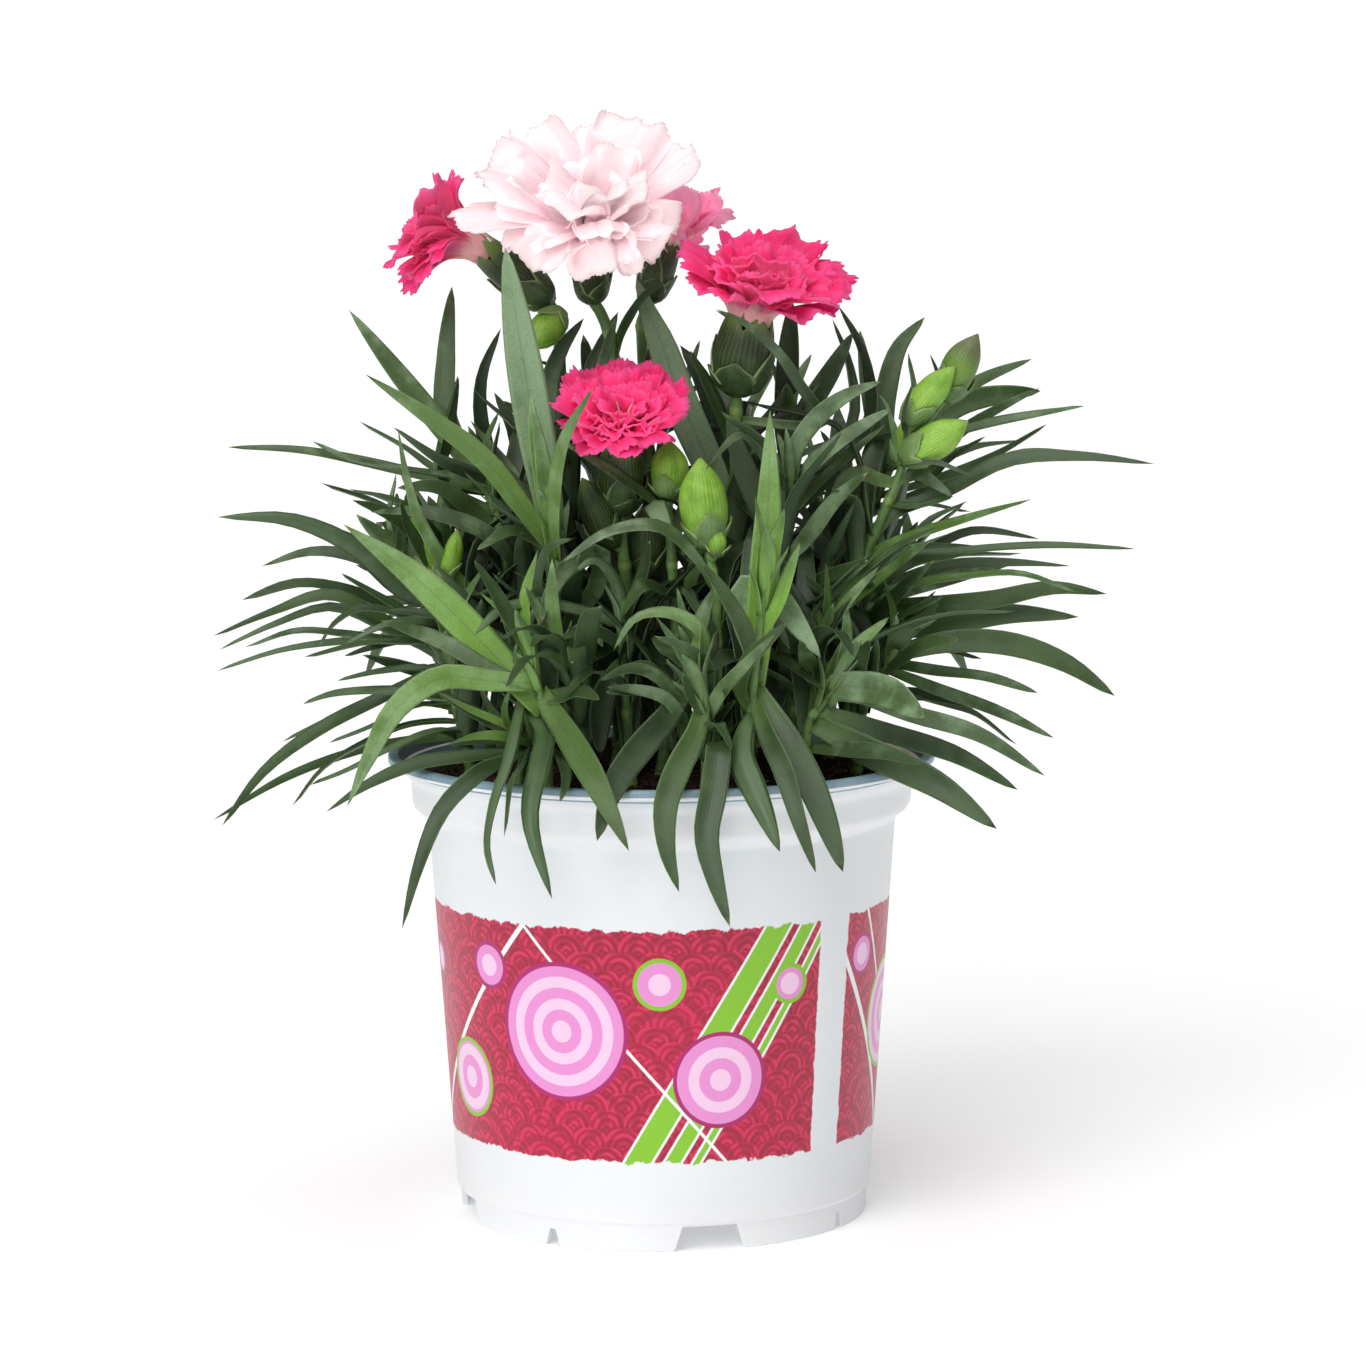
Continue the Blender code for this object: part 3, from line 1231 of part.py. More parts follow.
def thick_sheet(rows, thickness):
    """A closed waved sheet from rows of points, with the same triangles on both faces."""
    starts = [sum(len(row) for row in rows[:index]) for index in range(len(rows))]
    flat = [point for row in rows for point in row]
    top = []
    for index in range(len(rows) - 1):
        top += row_strip(len(rows[index]), len(rows[index + 1]), starts[index], starts[index + 1])
    normals = [Vector() for _ in flat]
    for a, b, c in top:
        normal = (flat[b] - flat[a]).cross(flat[c] - flat[a])
        for index in (a, b, c):
            normals[index] += normal
    offset = len(flat)
    verts = [point + normal.normalized() * thickness / 2 for point, normal in zip(flat, normals)]
    verts += [point - normal.normalized() * thickness / 2 for point, normal in zip(flat, normals)]
    faces = list(top)
    faces += [(a + offset, c + offset, b + offset) for a, b, c in top]
    rim = list(range(len(rows[0])))
    rim += [starts[index] + len(rows[index]) - 1 for index in range(1, len(rows))]
    rim += list(range(starts[-1] + len(rows[-1]) - 2, starts[-1] - 1, -1))
    rim += [starts[index] for index in range(len(rows) - 2, 0, -1)]
    for first, second in zip(rim, rim[1:] + rim[:1]):
        faces += [(first, second, first + offset), (second, second + offset, first + offset)]
    return verts, faces


def bloom_pieces(name, bloom, thicket):
    """The petals of a bloom round a core whose foot stands in the calyx's mouth."""
    base = seen(*bloom.calyx_base)
    mouth = seen(*bloom.mouth)
    throat = seen(*bloom.throat)
    length = (mouth - base).length
    along = (mouth - base).normalized()
    width = bloom.calyx_width / PIXELS_PER_MM
    facing = Vector(bloom.facing).normalized()
    socket_floor = mouth - along * length * SOCKET_DEPTH
    plug_radius = SOCKET_SHARE * width * math.cos(math.pi / CALYX_SIDES) - SOCKET_GAP
    neck = mouth + along * (CORE_RISE * length + CORE_GAP)
    core_route = [socket_floor + along * CORE_GAP, mouth + along * CORE_GAP, neck, throat]
    core_radii = [plug_radius, plug_radius, plug_radius, CORE_RADIUS]
    core = tube_object(name, core_route, core_radii, STALK_BEVEL_RESOLUTION)
    thicket.add_object(name, core)
    pieces = [core]
    for index, petal in enumerate(bloom.petals):
        columns = WIDE_PETAL_COLUMNS if petal.width > WIDE_PETAL_PIXELS else NARROW_PETAL_COLUMNS
        pieces.append(place_petal(name, petal, index, columns, throat, facing, thicket))
    return pieces


# Pot and soil

def body_radius(height):
    """Outer radius of the pot's tapered body at a height."""
    share = (height - BODY_FOOT) / (BODY_TOP - BODY_FOOT)
    return BODY_FOOT_RADIUS + (BODY_TOP_RADIUS - BODY_FOOT_RADIUS) * share


def pot_profile():
    """The pot's section from the middle of the floor up the inside, over the lip and down."""
    floor_top = FLOOR_UNDERSIDE + POT_WALL
    lip_foot = POT_HEIGHT - LIP_HEIGHT
    step_slope = (SHOULDER_RADIUS - BODY_TOP_RADIUS) / 2
    foot_outer = FOOT_RADIUS - 0.2
    inside = [
        (0.0, floor_top), (body_radius(floor_top) - POT_WALL, floor_top),
        (BODY_TOP_RADIUS - POT_WALL, BODY_TOP),
        (SHOULDER_RADIUS - POT_WALL - LIP_EDGE, SHOULDER_FOOT + LIP_EDGE),
        (SHOULDER_RADIUS - POT_WALL, SHOULDER_TOP), (LIP_RADIUS - LIP_THROAT_INSET, lip_foot),
        (LIP_RADIUS - LIP_TOP_INSET, POT_HEIGHT)]
    lip = [
        (LIP_RADIUS - LIP_EDGE, POT_HEIGHT), (LIP_RADIUS, POT_HEIGHT - LIP_EDGE), (LIP_RADIUS, lip_foot)]
    fillet = [(LIP_RADIUS - inset, lip_foot - drop) for inset, drop in FILLET]
    outside = [
        (SHOULDER_RADIUS, SHOULDER_TOP), (SHOULDER_RADIUS - LIP_EDGE, SHOULDER_FOOT),
        (SHOULDER_RADIUS - step_slope, SHOULDER_FOOT - step_slope), (BODY_TOP_RADIUS, BODY_TOP),
        (BODY_FOOT_RADIUS, BODY_FOOT), (FOOT_RADIUS, BODY_FOOT - FOOT_CREASE), (foot_outer, 0.0),
        (foot_outer - FOOT_RING_WIDTH, 0.0), (FOOT_RADIUS - 1.6, FLOOR_UNDERSIDE), (0.0, FLOOR_UNDERSIDE)]
    return inside + lip + fillet + outside


def wedge_cutter(turn_degrees, foot_width, top_width, height):
    """A cutter for a notch through the foot ring, wider at its foot."""
    shape = bmesh.new()
    bmesh.ops.create_cube(shape, size=1.0)
    for vert in shape.verts:
        width = top_width if vert.co.z > 0 else foot_width
        vert.co.x *= width
        vert.co.y = vert.co.y * NOTCH_DEPTH - (FOOT_RADIUS - FOOT_RING_WIDTH / 2)
        vert.co.z = height if vert.co.z > 0 else -CUTTER_REACH
    turn = Matrix.Rotation(math.radians(turn_degrees), 4, "Z")
    shape.transform(Matrix.Scale(MM, 4))
    shape.transform(turn)
    mesh = bpy.data.meshes.new("notch_cutter")
    shape.to_mesh(mesh)
    shape.free()
    return bpy.data.objects.new("notch_cutter", mesh)


def hole_cutter(x, y, low, high, radius, sides):
    """An upright cutter for a hole."""
    shape = bmesh.new()
    size = radius * MM
    depth = (high - low) * MM
    bmesh.ops.create_cone(shape, cap_ends=True, segments=sides, radius1=size, radius2=size, depth=depth)
    shape.transform(Matrix.Translation(Vector((x, y, (low + high) / 2)) * MM))
    mesh = bpy.data.meshes.new("hole_cutter")
    shape.to_mesh(mesh)
    shape.free()
    return bpy.data.objects.new("hole_cutter", mesh)


def cut(piece, cutters, group_name):
    """A Boolean difference of a group of cutters, kept on the object."""
    group = bpy.data.collections.new(group_name)
    bpy.data.collections["cutters"].children.link(group)
    for cutter in cutters:
        group.objects.link(cutter)
        cutter.hide_render = True
        cutter.display_type = "WIRE"
    difference = piece.modifiers.new(group_name, "BOOLEAN")
    difference.operation = "DIFFERENCE"
    difference.operand_type = "COLLECTION"
    difference.collection = group
    difference.solver = "EXACT"


def build_pot(collection):
    """The thermoformed pot with its foot notches and drain holes."""
    turned = turned_object("pot_turned", pot_profile(), POT_SIDES)
    pot = finished("pot", turned.data, material_of("pot"), collection)
    bpy.data.objects.remove(turned)
    cutters = []
    floor_low = FLOOR_UNDERSIDE - CUTTER_REACH
    floor_high = FLOOR_UNDERSIDE + POT_WALL + CUTTER_REACH
    for quarter in range(4):
        turn = FIRST_NOTCH_TURN + 90.0 * quarter
        cutters.append(wedge_cutter(turn, NOTCH_WIDTH, NOTCH_TOP_WIDTH, NOTCH_HEIGHT))
        cutters.append(wedge_cutter(turn + 45.0, NICK_WIDTH, NICK_TOP_WIDTH, NICK_HEIGHT))
        angle = math.radians(turn + 45.0)
        x = DRAIN_CIRCLE * math.cos(angle)
        y = DRAIN_CIRCLE * math.sin(angle)
        cutters.append(hole_cutter(x, y, floor_low, floor_high, DRAIN_RADIUS, DRAIN_SIDES))
    cut(pot, cutters, "pot_cutters")
    return pot


def build_soil(collection):
    """The block of soil that fills the pot."""
    floor = FLOOR_UNDERSIDE + POT_WALL + SOIL_GAP
    flats = math.cos(math.pi / POT_SIDES)
    gap = SOIL_GAP + POT_WALL + 0.2
    profile = [(0.0, SOIL_CENTRE)]
    profile += [(radius, SOIL_CENTRE - drop) for radius, drop in SOIL_DOME]
    profile += [
        (SHOULDER_RADIUS * flats - gap, SOIL_EDGE - SOIL_RIM_DROP),
        (SHOULDER_RADIUS * flats - gap - LIP_EDGE, SHOULDER_FOOT + 2 * LIP_EDGE),
        (BODY_TOP_RADIUS * flats - gap, BODY_TOP), (body_radius(floor) * flats - gap, floor), (0.0, floor)]
    turned = turned_object("soil_turned", profile, SOIL_SIDES)
    soil = finished("soil", turned.data, material_of("soil"), collection)
    bpy.data.objects.remove(turned)
    return soil


def cut_stem_holes(soil, feet):
    """A plain hole in the soil for every stem."""
    cutters = []
    for x, y in feet:
        floor = SOIL_EDGE - HOLE_DEPTH
        cutters.append(hole_cutter(x, y, floor, SOIL_CENTRE + CUTTER_REACH, HOLE_RADIUS, HOLE_SIDES))
    cut(soil, cutters, "soil_cutters")


# Assembly

def clear_scene():
    """Removes the objects that the scene starts with."""
    for piece in list(bpy.data.objects):
        bpy.data.objects.remove(piece)


def build_plant(collection, thicket):
    """Every stem first, then the blooms, then the leaves, each node clear of the others."""
    draw = random.Random(SEED)
    nodes = {}
    stems = {}
    slots = {}
    feet = []
    for shoot in SHOOTS + BUD_STALKS:
        route = stem_route(shoot.foot, shoot.stem)
        tip_radius = SHOOT_TIP_RADIUS if shoot in SHOOTS else BUD_STALK_TIP_RADIUS
        start_node(shoot.name, route, SHOOT_FOOT_RADIUS, tip_radius, nodes, stems, thicket)
        slots[shoot.name] = "shoot" if shoot in SHOOTS else "stalk"
        feet.append(shoot.foot)
    for bloom in BLOOMS:
        foot_x, foot_y, stem = bloom.stem
        name = "stalk_" + bloom.name
        route = stem_route((foot_x, foot_y), stem)
        route.append(seen(*bloom.calyx_base))
        start_node(name, route, SHOOT_FOOT_RADIUS, FLOWER_STEM_RADIUS, nodes, stems, thicket)
        slots[name] = "stalk"
        feet.append((foot_x, foot_y))
    for shoot in GROWN_SHOOTS:
        route = grown_stem(shoot)
        start_node(shoot.name, route, SHOOT_FOOT_RADIUS, SHOOT_TIP_RADIUS, nodes, stems, thicket)
        slots[shoot.name] = "shoot"
        feet.append((route[0].x, route[0].y))
    for stalk in BUD_STALKS:
        for bud in BUDS[stalk.name]:
            add_pieces(stalk.name, bud_pieces(stalk.name, bud, stems[stalk.name]), nodes, thicket)
    for bloom in BLOOMS:
        name = "stalk_" + bloom.name
        add_pieces(name, calyx_pieces(name, bloom), nodes, thicket)
        for bud in BLOOM_SIDE_BUDS.get(bloom.name, ()):
            add_pieces(name, bud_pieces(name, bud, stems[name]), nodes, thicket)
        petals = "petals_" + bloom.name
        nodes[petals] = bloom_pieces(petals, bloom, thicket)
        slots[petals] = "pale" if bloom.name == "pale" else "pink"
    for shoot in SHOOTS + BUD_STALKS:
        for leaf in shoot.leaves:
            piece = place_seen_leaf(shoot.name, leaf, stems[shoot.name], thicket)
            keep_leaf(nodes[shoot.name], piece, shoot.name, leaf)
    for bloom in BLOOMS:
        name = "stalk_" + bloom.name
        for leaf in BLOOM_STEM_LEAVES[bloom.name]:
            piece = place_seen_leaf(name, leaf, stems[name], thicket)
            keep_leaf(nodes[name], piece, name, leaf)
    for shoot in GROWN_SHOOTS:
        grow_leaf_pairs(shoot.name, stems[shoot.name], nodes, thicket, draw)
    for name, pieces in nodes.items():
        fused(name, pieces, material_of(slots[name]), collection)
    return feet


def start_node(name, route, foot_radius, tip_radius, nodes, stems, thicket):
    """Begins a node with its stem."""
    resolution = STALK_BEVEL_RESOLUTION if name.startswith("stalk") else SHOOT_BEVEL_RESOLUTION
    tube = tube_object(name, route, stem_radii(len(route), foot_radius, tip_radius), resolution)
    nodes[name] = [tube]
    stems[name] = route
    thicket.add_object(name, tube)


def add_pieces(name, pieces, nodes, thicket):
    """Adds pieces to a node and to what the others keep clear of."""
    for piece in pieces:
        nodes[name].append(piece)
        thicket.add_object(name, piece)


def keep_leaf(pieces, piece, name, leaf):
    """Adds a leaf that found a place, or names one that did not."""
    if piece is None:
        print("no clear place:", name, leaf.points[0])
        return
    pieces.append(piece)


def grow_leaf_pairs(name, route, nodes, thicket, draw):
    """Opposite pairs of leaves up a stem, each pair turned a quarter from the last."""
    first_turn = draw.uniform(0.0, math.pi)
    for pair in range(RULE_PAIRS):
        height = RULE_LOWEST_PAIR + (1.0 - RULE_LOWEST_PAIR) * pair / (RULE_PAIRS - 1)
        place = height * (len(route) - 2) + 1
        low = min(int(place), len(route) - 2)
        root = route[low].lerp(route[low + 1], place - low)
        size = 1.0 - RULE_SHRINK * max(0.0, height - RULE_SHRINK_ABOVE) / (1.0 - RULE_SHRINK_ABOVE)
        for side in range(2):
            turn = first_turn + pair * math.pi / 2 + side * math.pi
            piece = place_grown_leaf(name, root, turn, size, thicket, draw)
            if piece is not None:
                nodes[name].append(piece)


def move_origin_to_base(collection):
    """Shifts everything so that the origin is the centre of the base of the whole box."""
    bpy.context.view_layer.update()
    graph = bpy.context.evaluated_depsgraph_get()
    corners = []
    for piece in collection.objects:
        shown = piece.evaluated_get(graph)
        corners += [vert.co.copy() for vert in shown.data.vertices]
    low, high = box_of(corners)
    shift = Vector((-(low.x + high.x) / 2, -(low.y + high.y) / 2, 0.0))
    for piece in bpy.data.objects:
        piece.data.transform(Matrix.Translation(shift))


def main():
    """Builds the whole plant in its pot."""
    clear_scene()
    collection = bpy.data.collections.new("potted_carnation")
    cutters = bpy.data.collections.new("cutters")
    bpy.context.scene.collection.children.link(collection)
    bpy.context.scene.collection.children.link(cutters)
    thicket = Thicket()
    pot = build_pot(collection)
    soil = build_soil(collection)
    thicket.add_object("pot", pot)
    thicket.add_object("soil", soil)
    feet = build_plant(collection, thicket)
    cut_stem_holes(soil, feet)
    move_origin_to_base(collection)


main()
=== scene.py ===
"""Dresses a packed potted carnation for its picture: fine leaves, petals, buds, soil and pot.

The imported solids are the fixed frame. Each fine leaf follows the centre line of a solid leaf,
which is read back from the rings of its blade, and each fine petal follows the place of a solid
petal. Lengths in tables are millimetres, or pixels of the reference view with a depth in
millimetres, and seen() turns those into points round the pot's axis. Meshes are in metres.
"""

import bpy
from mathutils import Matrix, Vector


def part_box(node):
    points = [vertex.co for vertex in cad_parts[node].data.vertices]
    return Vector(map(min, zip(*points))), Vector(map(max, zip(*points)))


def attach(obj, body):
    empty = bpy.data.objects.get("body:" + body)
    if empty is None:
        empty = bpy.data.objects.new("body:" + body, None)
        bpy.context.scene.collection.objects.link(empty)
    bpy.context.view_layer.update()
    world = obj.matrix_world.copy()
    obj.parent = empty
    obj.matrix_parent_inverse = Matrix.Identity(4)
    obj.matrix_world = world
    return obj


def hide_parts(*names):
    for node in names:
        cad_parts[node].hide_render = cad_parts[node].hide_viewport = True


bl_info = {
    "name": "Potted carnation finish",
    "version": (1, 0, 0),
    "blender": (4, 5, 0),
    "location": "View3D > Sidebar > Carnation",
    "description": "Builds the fine leaves, blooms, soil, pot and studio round the packed solids",
    "category": "Object",
}

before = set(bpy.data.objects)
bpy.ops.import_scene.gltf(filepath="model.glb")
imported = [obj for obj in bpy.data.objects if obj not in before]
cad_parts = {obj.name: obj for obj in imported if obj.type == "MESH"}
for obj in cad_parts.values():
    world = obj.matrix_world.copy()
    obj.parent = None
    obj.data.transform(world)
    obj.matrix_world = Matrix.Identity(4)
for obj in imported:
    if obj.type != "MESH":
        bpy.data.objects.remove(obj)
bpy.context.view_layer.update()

import math
import random
from collections import namedtuple

import bmesh
import bpy
from bpy.props import FloatProperty, FloatVectorProperty, IntProperty, PointerProperty
from mathutils import Matrix, Quaternion, Vector, noise

POT_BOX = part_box("pot")
POT_AXIS = (Vector(POT_BOX[0]) + Vector(POT_BOX[1])) / 2
POT_AXIS.z = 0.0
MM = 0.001
SEED = 11
FULL_TURN = 2 * math.pi
TINY = 1e-6
UPRIGHT = Vector((0.0, 0.0, 1.0))

# The view that pixel places belong to, round the pot's axis
EYE = Vector((0.0, -1300.0, 304.0))
AIM = Vector((5.2, 0.0, 126.65))
FOCAL_PIXELS = 5522.6
VIEW_PIXELS = 1366.0
ROLL = -0.005
PIXELS_PER_MM = 4.25
SENSOR_WIDTH = 36.0

# Pot, soil and stems, as their solids are made
SHOULDER_RADIUS = 59.3
BODY_TOP_RADIUS = 55.6
BODY_TOP = 95.4
BODY_FOOT_RADIUS = 49.5
BODY_FOOT = 6.9
FOOT_RADIUS = 48.5
FIRST_NOTCH_TURN = 12.7
SOIL_EDGE = 105.2
SOIL_CENTRE = 107.6
STEM_FOOT = 90.7

Stem = namedtuple("Stem", "foot route")
GrownStem = namedtuple("GrownStem", "radius degrees height")
Bud = namedtuple("Bud", "base tip width ripeness")
Bloom = namedtuple("Bloom", "calyx_base mouth calyx_width throat facing petals")
Petal = namedtuple("Petal", "tip width layer")

# Stems of the shoots and stalks: the foot in the soil (mm) and the route in pixels with a depth
STEMS = {
    "shoot_left_low": Stem((-45, -16), ((455, 700, -17), (452, 662, -18))),
    "shoot_left_outer": Stem((-46, 4), ((446, 680, 4), (440, 640, 2))),
    "shoot_left_middle": Stem((-33, 14), ((470, 640, 12), (452, 580, 10), (446, 545, 10))),
    "shoot_left_high": Stem((-29, 0), ((522, 640, 0), (506, 560, 0), (488, 478, 2))),
    "shoot_front_left": Stem((-33, -36), ((530, 730, -40), (524, 690, -42))),
    "shoot_front_bright": Stem((-26, -45), ((548, 735, -47), (542, 700, -50), (530, 655, -50))),
    "shoot_hero_leaf": Stem((-22, -22), ((567, 700, -24), (560, 600, -26), (553, 525, -28))),
    "shoot_centre_tuft": Stem((-7, -31), ((626, 700, -34), (622, 640, -36), (622, 600, -37))),
    "shoot_centre_front": Stem((3, -41), ((684, 735, -44), (688, 700, -46), (690, 672, -47))),
    "shoot_front_middle": Stem((10, -50), ((706, 740, -52), (706, 715, -53), (700, 690, -54))),
    "shoot_front_tall": Stem((20, -43), ((750, 730, -46), (756, 660, -48), (766, 580, -50))),
    "shoot_right_low": Stem((34, -33), ((808, 725, -35), (826, 700, -36), (836, 680, -37))),
    "shoot_right_outer": Stem((46, -13), ((866, 700, -14), (884, 672, -14), (890, 655, -14))),
    "shoot_right_middle": Stem((40, 8), ((832, 690, 6), (850, 640, 4), (868, 600, 4))),
    "shoot_right_high": Stem((34, 24), ((830, 640, 22), (868, 520, 20), (905, 440, 20))),
    "shoot_inner_right": Stem((21, -12), ((772, 640, -14), (782, 560, -15), (790, 490, -16))),
    "shoot_inner_back": Stem((17, 16), ((766, 640, 16), (778, 520, 16), (786, 430, 16))),
    "stalk_right_buds": Stem(
        (32, -4), ((800, 690, -4), (845, 600, -6), (885, 510, -8), (904, 462, -8), (908, 436, -8))),
    "stalk_big_bud": Stem((12, -25), ((718, 700, -30), (717, 640, -33), (716, 595, -35), (708, 548, -35))),
    "stalk_round_bud": Stem((0, -19), ((676, 680, -22), (674, 600, -25), (668, 500, -27))),
    "stalk_dark_bud": Stem((-5, -6), ((652, 680, -9), (650, 620, -12), (646, 574, -14))),
    "stalk_left_buds": Stem((-40, -4), ((476, 680, -6), (462, 620, -8), (440, 578, -8))),
    "stalk_pale": Stem(
        (-8, 11), ((616, 640, 10), (612, 480, 9), (614, 360, 9), (603, 318, 9), (592, 300, 8))),
    "stalk_pink_left": Stem(
        (-19, 17), ((575, 640, 16), (566, 480, 14), (560, 360, 12), (556, 318, 11), (549, 303, 10))),
    "stalk_pink_back": Stem(
        (-1, 30), ((655, 640, 28), (650, 480, 27), (642, 340, 26), (645, 312, 26), (648, 300, 26))),
    "stalk_pink_right": Stem((11, 1), ((728, 640, 0), (734, 520, -2), (736, 420, -4), (736, 392, -5))),
    "stalk_pink_front": Stem(
        (-11, -14), ((636, 700, -17), (628, 600, -19), (622, 540, -21), (621, 512, -22))),
}
# Shoots that grow by rule: the foot's distance and direction from the axis, and height as a share
GROWN_STEMS = {
    "shoot_back_01": GrownStem(48, 25, 1.0),
    "shoot_back_02": GrownStem(48, 52, 1.0),
    "shoot_back_03": GrownStem(48, 75, 1.0),
    "shoot_back_04": GrownStem(48, 98, 1.0),
    "shoot_back_05": GrownStem(48, 120, 1.0),
    "shoot_back_06": GrownStem(48, 143, 1.0),
    "shoot_back_07": GrownStem(48, 165, 1.0),
    "shoot_back_08": GrownStem(28, 59, 1.55),
    "shoot_back_09": GrownStem(28, 112, 1.6),
    "shoot_inner_01": GrownStem(10.8, -68, 0.8),
    "shoot_inner_02": GrownStem(38, -117, 0.7),
    "shoot_inner_03": GrownStem(36, -40, 0.72),
    "shoot_inner_04": GrownStem(17.5, -167, 0.9),
}
GROWN_FIRST_STEP = 17.0
GROWN_STEPS = 3
GROWN_STEP = 15.0
GROWN_LEAN = 3.6
GROWN_LEAN_RADIUS = 65.0

# Buds: the middle of the foot and the tip in pixels with a depth, width in pixels, ripeness 0 to 1
BUDS = {
    "stalk_right_buds": (
        Bud((945, 400, -8), (978, 334, -8), 36, 0.45), Bud((905, 422, -13), (955, 366, -13), 31, 0.8),
        Bud((903, 460, -14), (968, 421, -17), 37, 0.8), Bud((897, 462, -4), (907, 416, -4), 17, 0.9)),
    "stalk_big_bud": (
        Bud((708, 546, -35), (700, 458, -37), 48, 0.75), Bud((716, 556, -38), (719, 528, -39), 18, 0.7)),
    "stalk_round_bud": (Bud((668, 497, -27), (669, 440, -28), 38, 0.95),),
    "stalk_dark_bud": (Bud((645, 576, -14), (647, 505, -14), 38, 0.2),),
    "stalk_left_buds": (
        Bud((438, 580, -8), (412, 512, -10), 22, 0.75), Bud((444, 582, -12), (458, 528, -14), 20, 0.7),
        Bud((430, 580, -2), (428, 540, -2), 18, 0.7)),
    "stalk_pink_left": (Bud((561, 312, 8), (528, 348, 2), 34, 1.0),),
    "stalk_pink_front": (Bud((612, 545, -22), (582, 478, -27), 36, 0.1),),
}

# Blooms: ends of the calyx and its width, the throat, the way the bloom faces, and the petals that
# show, by the pixel and depth of the tip, width in pixels and layer from the rim inward
BLOOMS = {
    "pale": Bloom((592, 300, 8), (592, 246, 1), 36, (597, 196, -6), (0.0, -0.8, 0.6), (
        Petal((480, 170, -8), 69, 0), Petal((452, 224, -16), 38, 0), Petal((524, 262, -22), 69, 0),
        Petal((604, 280, -27), 58, 0), Petal((654, 256, -20), 63, 0), Petal((680, 222, -10), 49, 0),
        Petal((694, 150, 4), 52, 0), Petal((645, 118, 10), 67, 0), Petal((584, 124, 12), 60, 0),
        Petal((520, 136, 6), 65, 0), Petal((545, 176, -10), 52, 1), Petal((560, 214, -20), 43, 1),
        Petal((606, 234, -24), 43, 1), Petal((650, 186, -12), 49, 1), Petal((610, 146, 0), 49, 1),
        Petal((584, 182, -16), 31, 2), Petal((618, 192, -18), 31, 2))),
    "pink_left": Bloom((549, 303, 10), (484, 250, 5), 40, (452, 240, 2), (-0.9, -0.14, 0.4), (
        Petal((462, 176, 2), 51, 0), Petal((424, 196, -14), 49, 0), Petal((398, 256, -14), 46, 0),
        Petal((404, 294, 0), 46, 0), Petal((428, 276, -16), 40, 0), Petal((430, 192, 14), 46, 0),
        Petal((408, 236, 14), 46, 0), Petal((414, 224, -6), 38, 1), Petal((420, 262, 4), 35, 1))),
    "pink_back": Bloom((648, 300, 26), (668, 244, 30), 34, (682, 220, 34), (0.55, 0.5, 0.6), (
        Petal((674, 184, 26), 49, 0), Petal((712, 188, 38), 49, 0), Petal((726, 226, 36), 49, 0),
        Petal((704, 254, 24), 46, 0), Petal((668, 250, 26), 46, 0), Petal((690, 200, 50), 46, 0),
        Petal((700, 216, 30), 38, 1), Petal((690, 232, 28), 35, 1))),
    "pink_right": Bloom((736, 392, -5), (750, 318, -9), 60, (762, 290, -11), (0.16, -0.3, 0.94), (
        Petal((678, 250, -10), 59, 0), Petal((700, 288, -22), 57, 0), Petal((812, 322, -24), 59, 0),
        Petal((848, 300, -14), 59, 0), Petal((844, 268, 2), 57, 0), Petal((806, 240, 12), 57, 0),
        Petal((750, 234, 12), 57, 0), Petal((770, 300, -32), 54, 0), Petal((724, 262, -6), 49, 1),
        Petal((800, 268, -10), 49, 1), Petal((760, 260, -18), 43, 1))),
    "pink_front": Bloom((621, 512, -22), (621, 446, -27), 46, (622, 424, -30), (0.0, -0.58, 0.81), (
        Petal((556, 394, -26), 54, 0), Petal((570, 434, -38), 51, 0), Petal((606, 456, -45), 51, 0),
        Petal((648, 448, -43), 51, 0), Petal((688, 412, -32), 51, 0), Petal((678, 376, -20), 51, 0),
        Petal((634, 360, -14), 51, 0), Petal((588, 366, -16), 51, 0), Petal((594, 400, -34), 43, 1),
        Petal((648, 404, -34), 43, 1), Petal((622, 388, -26), 40, 1))),
}

# Looks of single leaves: the pixel of the tip, tone from dark to waxy with each leaf's light and shade
# painted in, and youth
LEAF_LOOKS = (
    ((770, 410), 0.75, 0.95), ((767, 540), 0.8, 1.0), ((800, 543), 0.8, 1.0), ((343, 524), 0.7, 0.8),
    ((347, 807), 0.7, 0.5), ((531, 395), 0.7, 0.5), ((594, 386), 0.6, 0.45), ((930, 541), 0.7, 0.5),
    ((1032, 499), 0.6, 0.4), ((1080, 593), 0.6, 0.35), ((613, 651), 0.75, 0.4), ((365, 374), 0.5, 0.45),
    ((563, 562), 0.7, 0.05), ((672, 540), 0.95, 0.1), ((821, 658), 0.85, 0.15), ((925, 718), 0.75, 0.1),
    ((500, 622), 0.75, 0.2), ((505, 247), 0.95, 0.1), ((452, 286), 0.5, 0.1), ((393, 427), 0.1, 0.0),
    ((727, 416), 0.4, 0.0), ((792, 300), 0.1, 0.0), ((832, 318), 0.1, 0.0), ((838, 305), 0.1, 0.0),
    ((1020, 715), 0.1, 0.0), ((600, 755), 0.15, 0.0), ((349, 310), 0.6, 0.15), ((882, 381), 0.7, 0.1),
    ((892, 408), 0.7, 0.1), ((868, 472), 0.65, 0.1), ((629, 851), 0.35, 0.3), ((552, 899), 0.25, 0.1),
)
LOOK_REACH_PIXELS = 14.0
